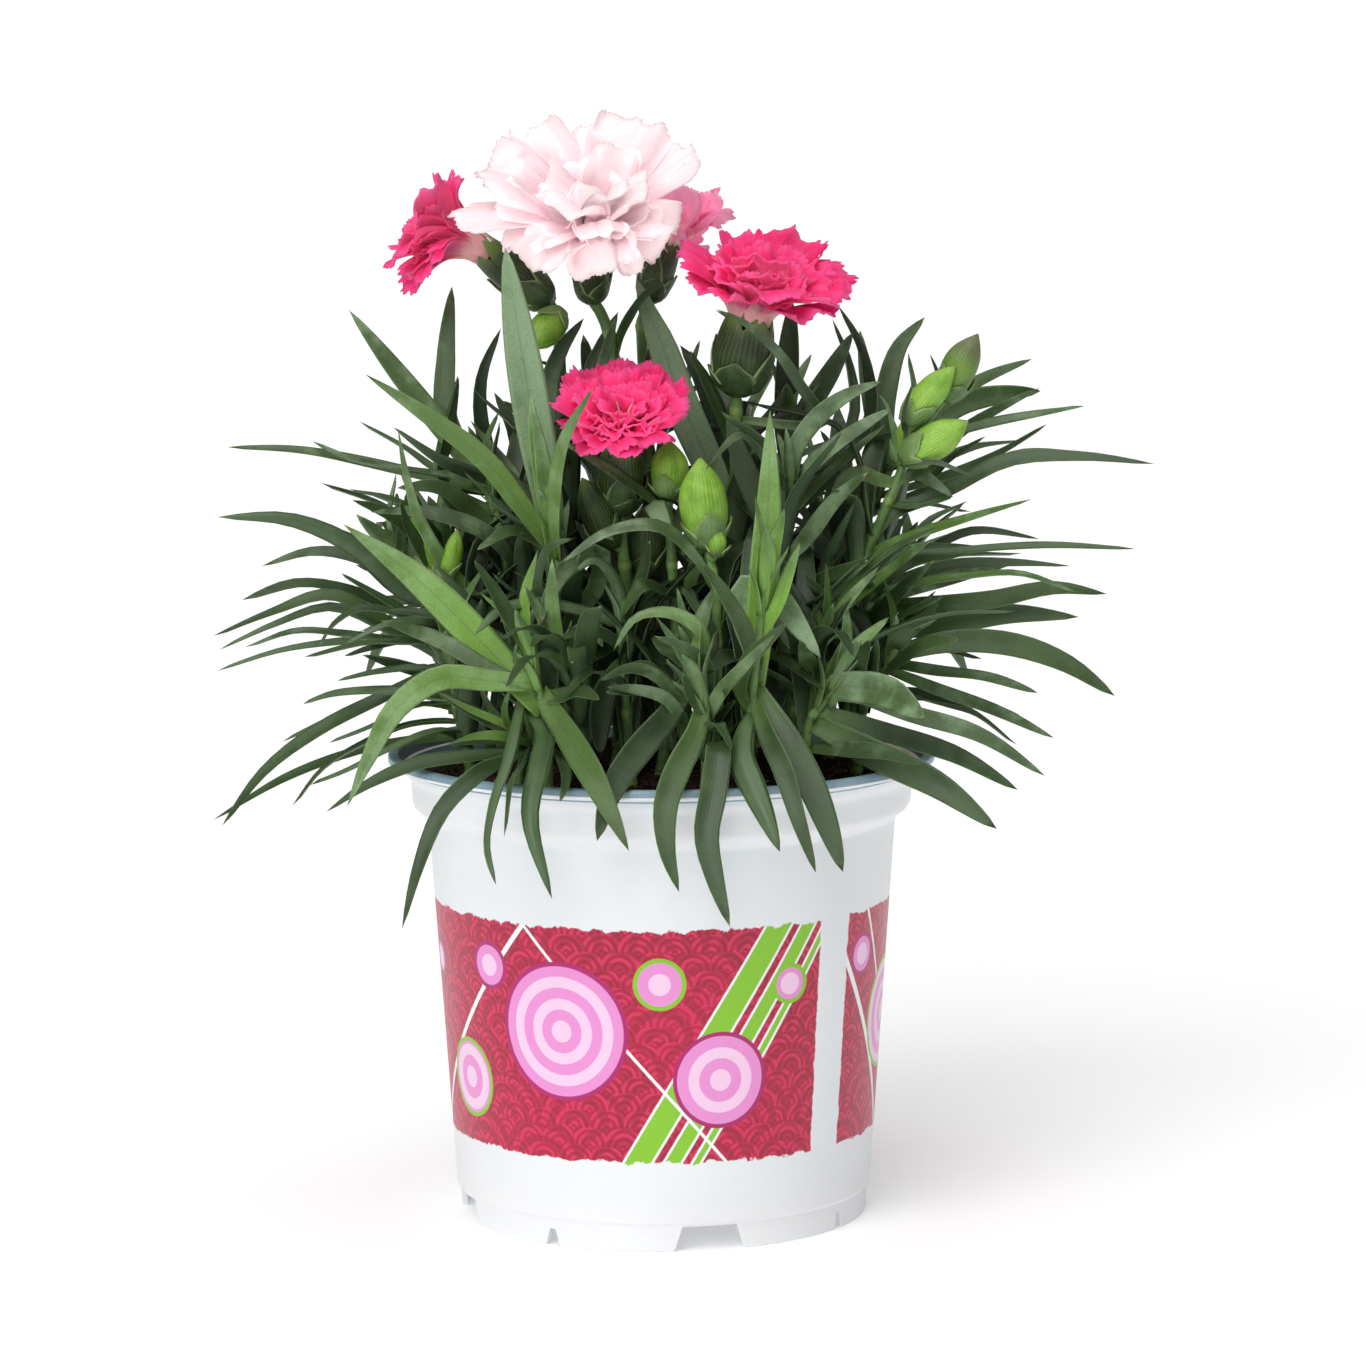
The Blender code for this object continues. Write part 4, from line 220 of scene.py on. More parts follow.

# Leaves beside those of the solids: width in pixels, tone, youth, and pixels with a depth in
# millimetres from the stem to the tip. The darkest ones are painted shade that fills gaps in the
# plant, and a tone above 1 is painted light on a leaf that lies in shade.
Extra = namedtuple("Extra", "width tone youth route")
EXTRA_LEAVES = {
    "stalk_right_buds": (
        Extra(6, 0.05, 0.0, ((938, 392, -6), (938, 375, -6), (930, 354, -6))),
        Extra(5, 0.05, 0.0, ((942, 385, -5), (944, 372, -5), (944, 359, -5))),
        Extra(6, 0.05, 0.0, ((904, 425, -17), (905, 408, -18), (913, 382, -18))),
        Extra(5, 0.7, 0.3, ((897, 462, -8), (894, 436, -10), (888, 408, -11), (879, 394, -12))),
        Extra(6, 0.35, 0.0, ((904, 464, -16), (934, 462, -20), (958, 470, -22), (976, 478, -22))),
        Extra(13, 0.6, 0.0, ((902, 480, -10), (918, 474, -14), (936, 484, -18), (953, 497, -20)))),
    "stalk_big_bud": (
        Extra(40, 0.0, 0.0, ((718, 725, -26), (708, 690, -20), (700, 645, -16))),
        Extra(34, 0.0, 0.0, ((718, 725, -22), (732, 695, -16), (740, 650, -12)))),
    "stalk_round_bud": (
        Extra(38, 0.0, 0.0, ((676, 725, -18), (660, 690, -12), (648, 645, -10))),),
    "shoot_front_tall": (
        Extra(34, 0.0, 0.0, ((756, 725, -36), (772, 690, -28), (784, 640, -24))),
        Extra(30, 0.0, 0.0, ((752, 728, -38), (750, 700, -28), (762, 660, -22)))),
    "stalk_pink_right": (
        # Painted light: this leaf lies in the blooms' shade and gets a tone past the waxy end to look lit.
        Extra(36, 1.15, 0.05, (
            (732, 520, -2), (702, 450, 2), (680, 400, 4), (662, 345, 5), (648, 312, 6), (637, 279, 8))),
        Extra(26, 0.05, 0.0, (
            (730, 500, 6), (724, 450, 8), (713, 405, 8), (697, 370, 8), (680, 345, 10))),
        Extra(12, 0.5, 0.0, (
            (820, 425, -12), (800, 385, -18), (776, 350, -24), (745, 323, -28), (716, 309, -30)))),
    "stalk_pale": (
        Extra(12, 0.15, 0.0, (
            (610, 420, 9), (590, 375, 12), (598, 350, 14), (608, 330, 16), (617, 313, 18))),
        Extra(22, 0.15, 0.0, ((610, 470, 10), (640, 400, 16), (655, 350, 20), (662, 320, 24))),
        Extra(13, 0.55, 0.0, ((594, 430, 6), (598, 385, 4), (607, 348, 2), (618, 311, 0))),
        Extra(24, 0.0, 0.0, ((612, 450, 20), (600, 405, 22), (590, 370, 24), (583, 334, 26))),
        Extra(22, 0.0, 0.0, ((612, 450, 24), (626, 405, 26), (614, 360, 28), (606, 326, 30)))),
    "stalk_pink_left": (
        Extra(21, 0.45, 0.0, (
            (564, 470, 10), (549, 430, 8), (548, 392, 8), (560, 352, 8), (584, 318, 10))),
        Extra(16, 0.05, 0.0, (
            (562, 480, 18), (500, 470, 20), (482, 425, 20), (482, 376, 20), (501, 328, 22))),
        Extra(20, 0.05, 0.0, ((562, 500, 24), (525, 460, 26), (512, 425, 26), (494, 392, 28)))),
    "shoot_left_high": (
        Extra(14, 0.55, 0.1, (
            (470, 520, 4), (441, 482, 4), (444, 440, 4), (452, 405, 4), (458, 375, 5))),
        Extra(14, 0.7, 0.55, (
            (548, 560, -8), (544, 530, -14), (528, 505, -18), (512, 480, -22), (499, 459, -24)))),
    "shoot_hero_leaf": (
        Extra(18, 0.75, 0.75, (
            (556, 545, -28), (548, 515, -32), (541, 470, -34), (534, 430, -35), (531, 394, -35))),),
    "shoot_left_middle": (
        Extra(15, 0.65, 0.45, (
            (500, 640, 0), (474, 600, -8), (442, 560, -14), (418, 515, -18), (405, 470, -20),
            (398, 428, -20))),),
    "shoot_right_high": (
        Extra(12, 0.5, 0.05, (
            (930, 470, 16), (940, 450, 14), (970, 425, 10), (1005, 405, 8), (1040, 388, 6))),
        Extra(8, 0.3, 0.0, ((925, 480, 10), (950, 458, 6), (986, 436, 2))),),
    "shoot_right_middle": (
        Extra(10, 0.1, 0.0, ((900, 570, 4), (950, 538, 2), (985, 530, 0), (1040, 539, -2))),),
    "shoot_front_left": (
        Extra(8, 0.6, 0.8, ((528, 738, -40), (500, 722, -44), (468, 708, -46), (438, 692, -48))),
        Extra(10, 0.5, 0.6, ((528, 742, -42), (502, 736, -48), (476, 736, -50), (449, 744, -52))),
        Extra(8, 0.5, 0.3, ((524, 735, -42), (508, 725, -48), (505, 706, -50), (511, 686, -52))),
        Extra(8, 0.5, 0.1, ((520, 735, -38), (502, 722, -42), (488, 704, -44), (479, 682, -46)))),
    "shoot_centre_front": (
        Extra(13, 0.6, 0.1, ((688, 728, -48), (668, 700, -54), (640, 690, -58), (606, 687, -62))),
        Extra(13, 0.5, 0.1, ((688, 715, -48), (662, 680, -54), (632, 668, -58), (600, 680, -62))),
        Extra(14, 0.45, 0.05, ((700, 720, -46), (708, 672, -52), (690, 650, -56), (654, 636, -58))),
        Extra(14, 0.65, 0.2, ((702, 722, -50), (722, 690, -56), (748, 662, -60), (775, 634, -64)))),
}

# The part of the view, in pixels, that is full of leaves
THICKET = (
    (345, 480), (400, 420), (470, 365), (530, 345), (640, 380), (760, 350), (830, 340), (900, 420),
    (945, 500), (960, 580), (950, 650), (925, 690), (385, 690), (345, 640), (325, 560))


def srgb(red, green, blue):
    """A linear colour from 0 to 255 screen values."""
    return tuple((value / 255 / 12.92) if value <= 10 else ((value / 255 + 0.055) / 1.055) ** 2.4
                 for value in (red, green, blue)) + (1.0,)


# Settings that a user would change

class PotSettings(bpy.types.PropertyGroup):
    """Sizes and colours of the pot and of the printed band round it."""
    sides: IntProperty(name="Sides", description="Faces round the pot", default=192)
    band_low: FloatProperty(name="Band foot", description="Height of the band's lower edge",
                            default=0.0215, unit="LENGTH")
    band_high: FloatProperty(name="Band top", description="Height of the band's upper edge",
                             default=0.0765, unit="LENGTH")
    shell: FloatVectorProperty(name="Shell", description="Colour of the outside", size=4,
                               subtype="COLOR", default=srgb(240, 241, 243))
    inside: FloatVectorProperty(name="Inside", description="Colour of the lip and the inside", size=4,
                                subtype="COLOR", default=srgb(112, 143, 158))
    ground: FloatVectorProperty(name="Ground", description="Ground colour of the band", size=4,
                                subtype="COLOR", default=srgb(172, 6, 48))
    pattern: FloatVectorProperty(name="Pattern", description="Scallops on the band's ground", size=4,
                                 subtype="COLOR", default=srgb(212, 42, 92))
    disc: FloatVectorProperty(name="Discs", description="Colour of the large discs", size=4,
                              subtype="COLOR", default=srgb(238, 148, 212))
    accent: FloatVectorProperty(name="Accent", description="Colour of the stripes", size=4,
                                subtype="COLOR", default=srgb(138, 200, 40))


class SoilSettings(bpy.types.PropertyGroup):
    """How the soil is strewn."""
    crumb_size: FloatProperty(name="Crumb size", description="Radius of a crumb", default=0.0011,
                              unit="LENGTH")
    crumb_density: FloatProperty(name="Crumbs", description="Crumbs a square metre", default=150000.0)
    fibre_length: FloatProperty(name="Fibre length", description="Length of a coir fibre",
                                default=0.008, unit="LENGTH")
    fibre_density: FloatProperty(name="Fibres", description="Fibres a square metre", default=30000.0)
    grit_density: FloatProperty(name="Grit", description="Pale grains a square metre", default=2600.0)
    peat: FloatVectorProperty(name="Peat", description="Colour of the soil", size=4, subtype="COLOR",
                              default=srgb(38, 27, 20))
    fibre: FloatVectorProperty(name="Fibre", description="Colour of the coir", size=4,
                               subtype="COLOR", default=srgb(92, 50, 32))


class LeafSettings(bpy.types.PropertyGroup):
    """Form and colours of the leaves and stems."""
    stations: IntProperty(name="Stations", description="Sections along a leaf", default=18)
    thickness: FloatProperty(name="Thickness", description="Thickness at the midrib", default=0.0005,
                             unit="LENGTH")
    channel: FloatProperty(name="Channel", description="Depth of the channel beside the half width",
                           default=0.17)
    # dark is painted shade: leaves deep in the plant and under the blooms get it in place of the shade that
    # falls there.
    dark: FloatVectorProperty(name="Dark", description="Old leaves in the shade", size=4,
                              subtype="COLOR", default=srgb(40, 58, 30))
    middle: FloatVectorProperty(name="Middle", description="Grown leaves", size=4, subtype="COLOR",
                                default=srgb(64, 84, 50))
    # waxy is the leaves' grey-green bloom; at the brightest tones it also serves as painted highlight on
    # lit leaves.
    waxy: FloatVectorProperty(name="Waxy", description="Leaves with a waxy bloom", size=4,
                              subtype="COLOR", default=srgb(134, 160, 124))
    young: FloatVectorProperty(name="Young", description="New leaves", size=4, subtype="COLOR",
                               default=srgb(130, 178, 66))


class PetalSettings(bpy.types.PropertyGroup):
    """Form and colours of the petals."""
    thickness: FloatProperty(name="Thickness", description="Thickness of a petal", default=0.00032,
                             unit="LENGTH")
    deep: FloatVectorProperty(name="Deep", description="Depths of the pink blooms", size=4,
                              subtype="COLOR", default=srgb(186, 2, 62))
    pink: FloatVectorProperty(name="Pink", description="Blades of the pink petals", size=4,
                              subtype="COLOR", default=srgb(228, 22, 102))
    rim: FloatVectorProperty(name="Rim", description="Rims of the pink petals", size=4,
                             subtype="COLOR", default=srgb(241, 88, 154))
    throat: FloatVectorProperty(name="Throat", description="Throat of the pale bloom", size=4,
                                subtype="COLOR", default=srgb(226, 168, 186))
    pale: FloatVectorProperty(name="Pale", description="Blades of the pale petals", size=4,
                              subtype="COLOR", default=srgb(228, 209, 212))


class StudioSettings(bpy.types.PropertyGroup):
    """The floor, the lights and the camera."""
    floor_radius: FloatProperty(name="Floor radius", description="Radius of the floor", default=40.0,
                                unit="LENGTH")
    key: FloatProperty(name="Key", description="Strength of the soft light from the left", default=1.75)
    top: FloatProperty(name="Top", description="Strength of the soft light from above", default=1.4)
    sky: FloatProperty(name="Sky", description="Strength of the light from all round", default=0.14)
    glow: FloatProperty(name="Glow", description="Light that the floor gives off", default=0.22)
    floor: FloatVectorProperty(name="Floor", description="Colour of the floor", size=4,
                               subtype="COLOR", default=srgb(251, 251, 252))


# Places and curves

def view_axes():
    """Right, up and forward directions of the reference view."""
    forward = (AIM - EYE).normalized()
    level_right = forward.cross(UPRIGHT).normalized()
    level_up = level_right.cross(forward)
    right = level_right * math.cos(ROLL) + level_up * math.sin(ROLL)
    up = level_up * math.cos(ROLL) - level_right * math.sin(ROLL)
    return right, up, forward


RIGHT, UP, FORWARD = view_axes()


def seen(pixel_x, pixel_y, depth):
    """The point in metres that shows at a pixel, at a depth in millimetres behind the axis."""
    ray = FORWARD.copy()
    ray += RIGHT * ((pixel_x - VIEW_PIXELS / 2) / FOCAL_PIXELS)
    ray += UP * ((VIEW_PIXELS / 2 - pixel_y) / FOCAL_PIXELS)
    return (EYE + ray * ((depth - EYE.y) / ray.y)) * MM + POT_AXIS


def pixel_of(point):
    """The pixel at which a point in metres shows."""
    ray = (point - POT_AXIS) / MM - EYE
    distance = ray.dot(FORWARD)
    across = VIEW_PIXELS / 2 + FOCAL_PIXELS * ray.dot(RIGHT) / distance
    down = VIEW_PIXELS / 2 - FOCAL_PIXELS * ray.dot(UP) / distance
    return Vector((across, down))


def from_pixels(length):
    """A length of the reference view in metres."""
    return length / PIXELS_PER_MM * MM


def from_axis(x, y, z):
    """A point in metres from millimetres round the pot's axis."""
    return Vector((x, y, z)) * MM + POT_AXIS


def level_way(turn):
    """The level direction at an angle round the axis."""
    return Vector((math.cos(turn), math.sin(turn), 0.0))


def around(side, up, angle):
    """The direction at an angle, between two that are square to each other."""
    return side * math.cos(angle) + up * math.sin(angle)


def nearest(points, goal):
    """The point that is nearest to a goal."""
    return min(points, key=lambda point: (point - goal).length)


def square_to(vector, direction):
    """The unit part of a vector that is square to a direction."""
    rest = vector - direction * vector.dot(direction)
    if rest.length < TINY:
        rest = direction.orthogonal()
    return rest.normalized()


def curve_point(points, place):
    """A point on the smooth curve through some points, at a place counted in points."""
    last = len(points) - 1
    index = min(int(place), last - 1)
    t = place - index
    before = points[index - 1] if index > 0 else points[0] * 2 - points[1]
    after = points[index + 2] if index + 2 <= last else points[-1] * 2 - points[-2]
    start = points[index]
    end = points[index + 1]
    return 0.5 * (2 * start + (end - before) * t
                  + (2 * before - 5 * start + 4 * end - after) * t ** 2
                  + (3 * start - before - 3 * end + after) * t ** 3)


CURVE_STEPS = 12


def even_route(points, count):
    """Points at equal steps along the smooth curve, with their places on it."""
    fine_count = (len(points) - 1) * CURVE_STEPS
    fine = [curve_point(points, (len(points) - 1) * step / fine_count) for step in range(fine_count + 1)]
    lengths = [0.0]
    for first, second in zip(fine, fine[1:]):
        lengths.append(lengths[-1] + (second - first).length)
    route = []
    places = []
    step = 0
    for index in range(count):
        goal = lengths[-1] * index / (count - 1)
        while step < fine_count - 1 and lengths[step + 1] < goal:
            step += 1
        span = lengths[step + 1] - lengths[step]
        share = min(1.0, (goal - lengths[step]) / span) if span > 0 else 0.0
        route.append(fine[step].lerp(fine[step + 1], share))
        places.append((step + share) / CURVE_STEPS)
    return route, places


def directions_of(route):
    """Unit direction at each point of a route."""
    last = len(route) - 1
    return [(route[min(i + 1, last)] - route[max(i - 1, 0)]).normalized() for i in range(last + 1)]


# Meshes

class Batch:
    """Vertices, faces, surface places, tints and material slots gathered for one piece."""

    def __init__(self):
        self.verts = []
        self.faces = []
        self.places = []
        self.tints = []
        self.slots = []

    def add(self, verts, faces, places, tints, slot=0):
        """Adds a form; tints is one tint for all of it or one for each vertex."""
        start = len(self.verts)
        self.verts += verts
        self.faces += [tuple(start + index for index in face) for face in faces]
        self.places += places
        self.tints += tints if isinstance(tints, list) else [tints] * len(verts)
        self.slots += [slot] * len(faces)

    def piece(self, name, materials):
        """The smooth object with its surface map and tint."""
        mesh = bpy.data.meshes.new(name)
        mesh.from_pydata(self.verts, [], self.faces)
        for material in materials:
            mesh.materials.append(material)
        mesh.polygons.foreach_set("material_index", self.slots)
        mesh.polygons.foreach_set("use_smooth", [True] * len(self.faces))
        surface = mesh.uv_layers.new(name="surface")
        flat = []
        for loop in mesh.loops:
            flat += self.places[loop.vertex_index]
        surface.data.foreach_set("uv", flat)
        tint = mesh.attributes.new("tint", "FLOAT_COLOR", "POINT")
        tint.data.foreach_set("color", [value for entry in self.tints for value in entry])
        mesh.update()
        return new_object(name, mesh)


def new_object(name, data):
    """An object in the scene."""
    made = bpy.data.objects.new(name, data)
    bpy.context.scene.collection.objects.link(made)
    return made


def plain_mesh(piece):
    """The mesh of a piece with its modifiers applied."""
    bpy.context.view_layer.update()
    evaluated = piece.evaluated_get(bpy.context.evaluated_depsgraph_get())
    return bpy.data.meshes.new_from_object(evaluated)


def settle(piece):
    """Puts the result of a piece's modifiers in the place of its mesh."""
    plain = plain_mesh(piece)
    piece.modifiers.clear()
    old = piece.data
    piece.data = plain
    bpy.data.meshes.remove(old)


def face_outward(piece):
    """Turns the faces of every closed form in a piece outward."""
    shape = bmesh.new()
    shape.from_mesh(piece.data)
    bmesh.ops.recalc_face_normals(shape, faces=shape.faces)
    shape.to_mesh(piece.data)
    shape.free()


def hand_over(piece, slot, *nodes):
    """Hangs a finished piece under the root and hides the solids that it takes the place of."""
    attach(piece, "root")
    if nodes:
        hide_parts(*nodes)


def chance_for(name):
    """Random draws that are always the same for a name."""
    return random.Random(SEED + sum(ord(letter) for letter in name))


def ring_faces(rings, ring_size, closed_ends=True):
    """Faces of a tube of rings, with flat ends."""
    faces = []
    for ring in range(rings - 1):
        for side in range(ring_size):
            a = ring * ring_size + side
            b = ring * ring_size + (side + 1) % ring_size
            faces.append((a, b, b + ring_size, a + ring_size))
    if closed_ends:
        faces.append(tuple(reversed(range(ring_size))))
        faces.append(tuple(range((rings - 1) * ring_size, rings * ring_size)))
    return faces


# Reading leaves back from the solids

LeafLine = namedtuple("LeafLine", "points normals half_width")
WELD_DISTANCE = 0.000002
LEAST_TIP_LENGTH = 0.0027
LOWEST_TIP = 0.03
MOST_MISSING_RINGS = 3
FLIPPED = -0.3
OUTLINE_WIDEST = 0.4
OUTLINE_ROOT = 0.3
OUTLINE_TAPER = 0.72


def neighbours(vert):
    """The vertices that share an edge with one."""
    return {edge.other_vert(vert) for edge in vert.link_edges}


def is_ring(verts):
    """Whether three vertices are joined in a triangle."""
    if len(verts) != 3:
        return False
    first, second, third = verts
    return second in neighbours(first) and third in neighbours(first) and third in neighbours(second)


def leaf_tips(shape):
    """The pointed ends of the blades in a solid."""
    tips = []
    for vert in shape.verts:
        beside = neighbours(vert)
        if is_ring(beside) and min((other.co - vert.co).length for other in beside) > LEAST_TIP_LENGTH:
            tips.append(vert)
    return tips


def rings_below(tip):
    """The rings of a blade from its tip down to where other forms cross it."""
    known = {tip}
    ring = neighbours(tip)
    rings = []
    while is_ring(ring):
        rings.append(list(ring))
        known |= ring
        below = set()
        for vert in ring:
            below |= neighbours(vert)
        ring = below - known
    return rings


def solid_outline(share):
    """Half width of a solid blade along it, as a share of the widest."""
    if share < OUTLINE_WIDEST:
        return OUTLINE_ROOT + (1.0 - OUTLINE_ROOT) * math.sin(share / OUTLINE_WIDEST * math.pi / 2)
    return math.cos((share - OUTLINE_WIDEST) / (1.0 - OUTLINE_WIDEST) * math.pi / 2) ** OUTLINE_TAPER


def read_ring(ring):
    """Centre, normal and half width of a blade's ring: its keel faces its longest side."""
    keel = max(ring, key=lambda vert: -sum((vert.co - other.co).length for other in ring))
    edges = [vert for vert in ring if vert is not keel]
    middle = (edges[0].co + edges[1].co) / 2
    return middle, (middle - keel.co).normalized(), (edges[0].co - edges[1].co).length / 2


def read_leaf(tip, stem):
    """The line of a leaf from the stem to its tip, from the rings of its blade."""
    places = [read_ring(ring) for ring in rings_below(tip)]
    step = (tip.co - places[0][0]).length
    above = places[-2][0] if len(places) > 1 else tip.co
    lowest = places[-1][0]
    down = (lowest - above).normalized()
    best = None
    for missing in range(1, MOST_MISSING_RINGS + 1):
        guess = lowest + down * step * missing
        root = nearest(stem, guess)
        gap = (root - guess).length * missing ** 0.5
        if best is None or gap < best[0]:
            best = (gap, root, missing)
    _, root, missing = best
    count = len(places) + missing
    shares = [1.0 - (index + 1) / count for index in range(len(places))]
    widths = [place[2] / solid_outline(share) for place, share in zip(places, shares)]
    points = [tip.co.copy()] + [place[0] for place in places] + [root.copy()]
    normals = [places[0][1]] + [place[1] for place in places] + [places[-1][1]]
    points.reverse()
    normals.reverse()
    for index in range(1, len(normals)):
        if normals[index].dot(normals[index - 1]) < FLIPPED:
            normals[index] = -normals[index]
    return LeafLine(points, normals, sum(widths) / len(widths))


def leaf_lines(node, stem):
    """The leaves of a node's solid."""
    shape = bmesh.new()
    shape.from_mesh(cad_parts[node].data)
    bmesh.ops.remove_doubles(shape, verts=shape.verts, dist=WELD_DISTANCE)
    above_soil = [point for point in stem if point.z > SOIL_EDGE * MM]
    lines = [read_leaf(tip, above_soil) for tip in leaf_tips(shape) if tip.co.z > LOWEST_TIP]
    shape.free()
    return lines


# Leaves by rule that fill the middle of the plant, dark with painted shade, in metres

INNER_FIRST = 0.006
INNER_SPACING = 0.0105
INNER_SPACING_CHANCE = (0.8, 1.2)
INNER_TOP = 0.86
INNER_HIGHEST_ROOT = 0.176
INNER_TURN_CHANCE = 0.3
INNER_LENGTH = (0.03, 0.052)
INNER_LEAN = (0.35, 0.8)
INNER_HALF_WIDTH = (0.0017, 0.0032)
INNER_REACH = 0.062
INNER_LOWEST_TIP = 0.116
INNER_FRONT = -0.038
INNER_STATIONS = 10
FOOT_CROWDING = 0.6
FOOT_ZONE_TOP = 0.132
CLEAR_MARGIN_PIXELS = 6.0
WATCHED_PLACES = (0.5, 1.0, 1.4, 1.7, 2.0)


def inside(pixel, corners):
    """Whether a pixel is inside a polygon."""
    count = 0
    for first, second in zip(corners, corners[1:] + corners[:1]):
        if (first[1] > pixel.y) != (second[1] > pixel.y):
            share = (pixel.y - first[1]) / (second[1] - first[1])
            if pixel.x < first[0] + (second[0] - first[0]) * share:
                count += 1
    return count % 2 == 1


def clear_places():
    """The parts that no inner leaf may hide: pixel, reach in pixels, and depth in metres."""
    places = []
    for buds in BUDS.values():
        for bud in buds:
            places.append((bud.base, bud.tip, bud.width))
    for bloom in BLOOMS.values():
        places.append((bloom.calyx_base, bloom.mouth, bloom.calyx_width))
        for petal in bloom.petals:
            places.append((bloom.throat, petal.tip, petal.width))
    clear = []
    for base, tip, width in places:
        middle = Vector([(first + second) / 2 for first, second in zip(base, tip)])
        reach = (Vector(base[:2]) - Vector(tip[:2])).length / 2 + CLEAR_MARGIN_PIXELS
        clear.append((middle.xy, max(reach, width / 2), seen(*middle).y + from_pixels(width) / 2))
    return clear


CLEAR_PLACES = clear_places()


def hides_something(line):
    """Whether a leaf passes in front of one of the clear places."""
    for place in WATCHED_PLACES:
        point = curve_point(line.points, place)
        pixel = pixel_of(point)
        for middle, reach, depth in CLEAR_PLACES:
            if point.y < depth and (pixel - middle).length < reach:
                return True
    return False


def stays_inside(tip):
    """Whether the tip of an inner leaf is among the other leaves."""
    from_centre = Vector((tip.x - POT_AXIS.x, tip.y - POT_AXIS.y))
    if from_centre.length > INNER_REACH or tip.z < INNER_LOWEST_TIP or from_centre.y < INNER_FRONT:
        return False
    return inside(pixel_of(tip), THICKET)


def inner_leaves(stem, draw):
    """Leaves in crossed pairs along a stem, where they stay inside the plant; their dark tone is painted
    shade.
    """
    lines = []
    along = 0.0
    due = INNER_FIRST
    pair = draw.uniform(0.0, math.pi)
    for index in range(1, int(len(stem) * INNER_TOP)):
        root = stem[index]
        if stem[index - 1].z < SOIL_CENTRE * MM or root.z > INNER_HIGHEST_ROOT:
            continue
        along += (root - stem[index - 1]).length
        if along < due:
            continue
        crowding = FOOT_CROWDING if root.z < FOOT_ZONE_TOP else 1.0
        due += INNER_SPACING * crowding * draw.uniform(*INNER_SPACING_CHANCE)
        pair += math.pi / 2 + draw.uniform(-INNER_TURN_CHANCE, INNER_TURN_CHANCE)
        for outward in (level_way(pair), level_way(pair + math.pi)):
            length = draw.uniform(*INNER_LENGTH)
            lean = draw.uniform(*INNER_LEAN)
            rise = UPRIGHT * (1.0 - lean * 0.3) + outward * 0.2
            middle = root + rise.normalized() * length * 0.5
            tip = middle + (UPRIGHT * (1.0 - lean) + outward * lean).normalized() * length * 0.5
            if not stays_inside(tip):
                continue
            line = LeafLine([root, middle, tip], [-outward] * 3, draw.uniform(*INNER_HALF_WIDTH))
            if not hides_something(line):
                lines.append(line)
    return lines


# Stems

STEM_SIDES = 10
STEM_STEP = 0.0016
STEM_LEAST_STEPS = 8
STEM_COLLAR = 1.0
STEM_TINT = (0.5, 0.3, 0.5, 0.0)
STEM_SLOT = 1
# Radii in millimetres
STEM_FOOT_RADIUS = 1.45
SHOOT_TIP_RADIUS = 0.8
BUD_STALK_TIP_RADIUS = 1.08
BLOOM_STALK_TIP_RADIUS = 1.35
NODE_SPACING = 0.017
NODE_SWELL = 0.28
NODE_SHARPNESS = 12


def stem_line(node):
    """Closely spaced points of a node's stem, from the soil up."""
    if node in STEMS:
        foot, route = STEMS[node]
        points = [from_axis(*foot, STEM_FOOT), from_axis(*foot, SOIL_CENTRE + STEM_COLLAR)]
        points += [seen(*place) for place in route]
    else:
        grown = GROWN_STEMS[node]
        outward = level_way(math.radians(grown.degrees))
        points = [outward * grown.radius + UPRIGHT * STEM_FOOT]
        points.append(points[0] + UPRIGHT * GROWN_FIRST_STEP)
        for step in range(1, GROWN_STEPS + 1):
            lean = outward * (GROWN_LEAN * step * grown.radius / GROWN_LEAN_RADIUS)
            points.append(points[-1] + lean + UPRIGHT * (GROWN_STEP * grown.height))
        points = [point * MM + POT_AXIS for point in points]
    length = sum((second - first).length for first, second in zip(points, points[1:]))
    return even_route(points, max(STEM_LEAST_STEPS, int(length / STEM_STEP)))[0]


def add_stem(batch, line, foot_radius, tip_radius, tint, slot=0):
    """A round stem with swollen joints; its radii are in metres."""
    verts = []
    places = []
    along = 0.0
    ways = directions_of(line)
    side = ways[0].orthogonal().normalized()
    for index, (point, way) in enumerate(zip(line, ways)):
        if index:
            along += (point - line[index - 1]).length
        side = square_to(side, way)
        up = way.cross(side)
        share = index / (len(line) - 1)
        radius = foot_radius + (tip_radius - foot_radius) * share
        swell = max(0.0, math.cos(along / NODE_SPACING * FULL_TURN)) ** NODE_SHARPNESS
        radius *= 1.0 + NODE_SWELL * swell
        for turn in range(STEM_SIDES):
            verts.append(point + around(side, up, FULL_TURN * turn / STEM_SIDES) * radius)
            places.append((turn / STEM_SIDES, along))
    batch.add(verts, ring_faces(len(line), STEM_SIDES), places, tint, slot)


# Leaves

TOP_OFFSETS = (-1.0, -0.78, -0.42, -0.12, 0.12, 0.42, 0.78, 1.0)
UNDER_OFFSETS = (0.7, 0.3, 0.0, -0.3, -0.7)
# A blade's section: place across, and 0 on the upper side or 1 on the underside
SECTION = [(offset, 0.0) for offset in TOP_OFFSETS] + [(offset, 1.0) for offset in UNDER_OFFSETS]
BASE_WIDTH = 0.62
FINE_WIDEST = 0.44
BLUNT_TIP = 0.6
SHARP_TIP = 0.85
FINE_WIDTH = 1.12
BLADE_TWIST = 0.22
BLADE_RIPPLE = 0.05
BLADE_RIPPLES = 9.0
CHANNEL_CURVE = 1.6
KEEL_CURVE = 2.2
RIB_DEPTH = 0.6
RIB_SHARPNESS = 4
ANY_TURN = 6.28
EXTRA_GAP = 0.002
BRACT_REACH = 0.0085
# Painted shade: leaves whose tips lie low, and those of the grown shoots at the back and inside, have their
# tone cut by this share.
SHADED_LEAF_TIP = 0.106
SHADED_LEAF_TONE = 0.45
YOUNG_LEAVES = 6
BRIGHT_SHOOTS = ("shoot_front_tall", "shoot_front_bright")
BRIGHT_GAIN = 0.5


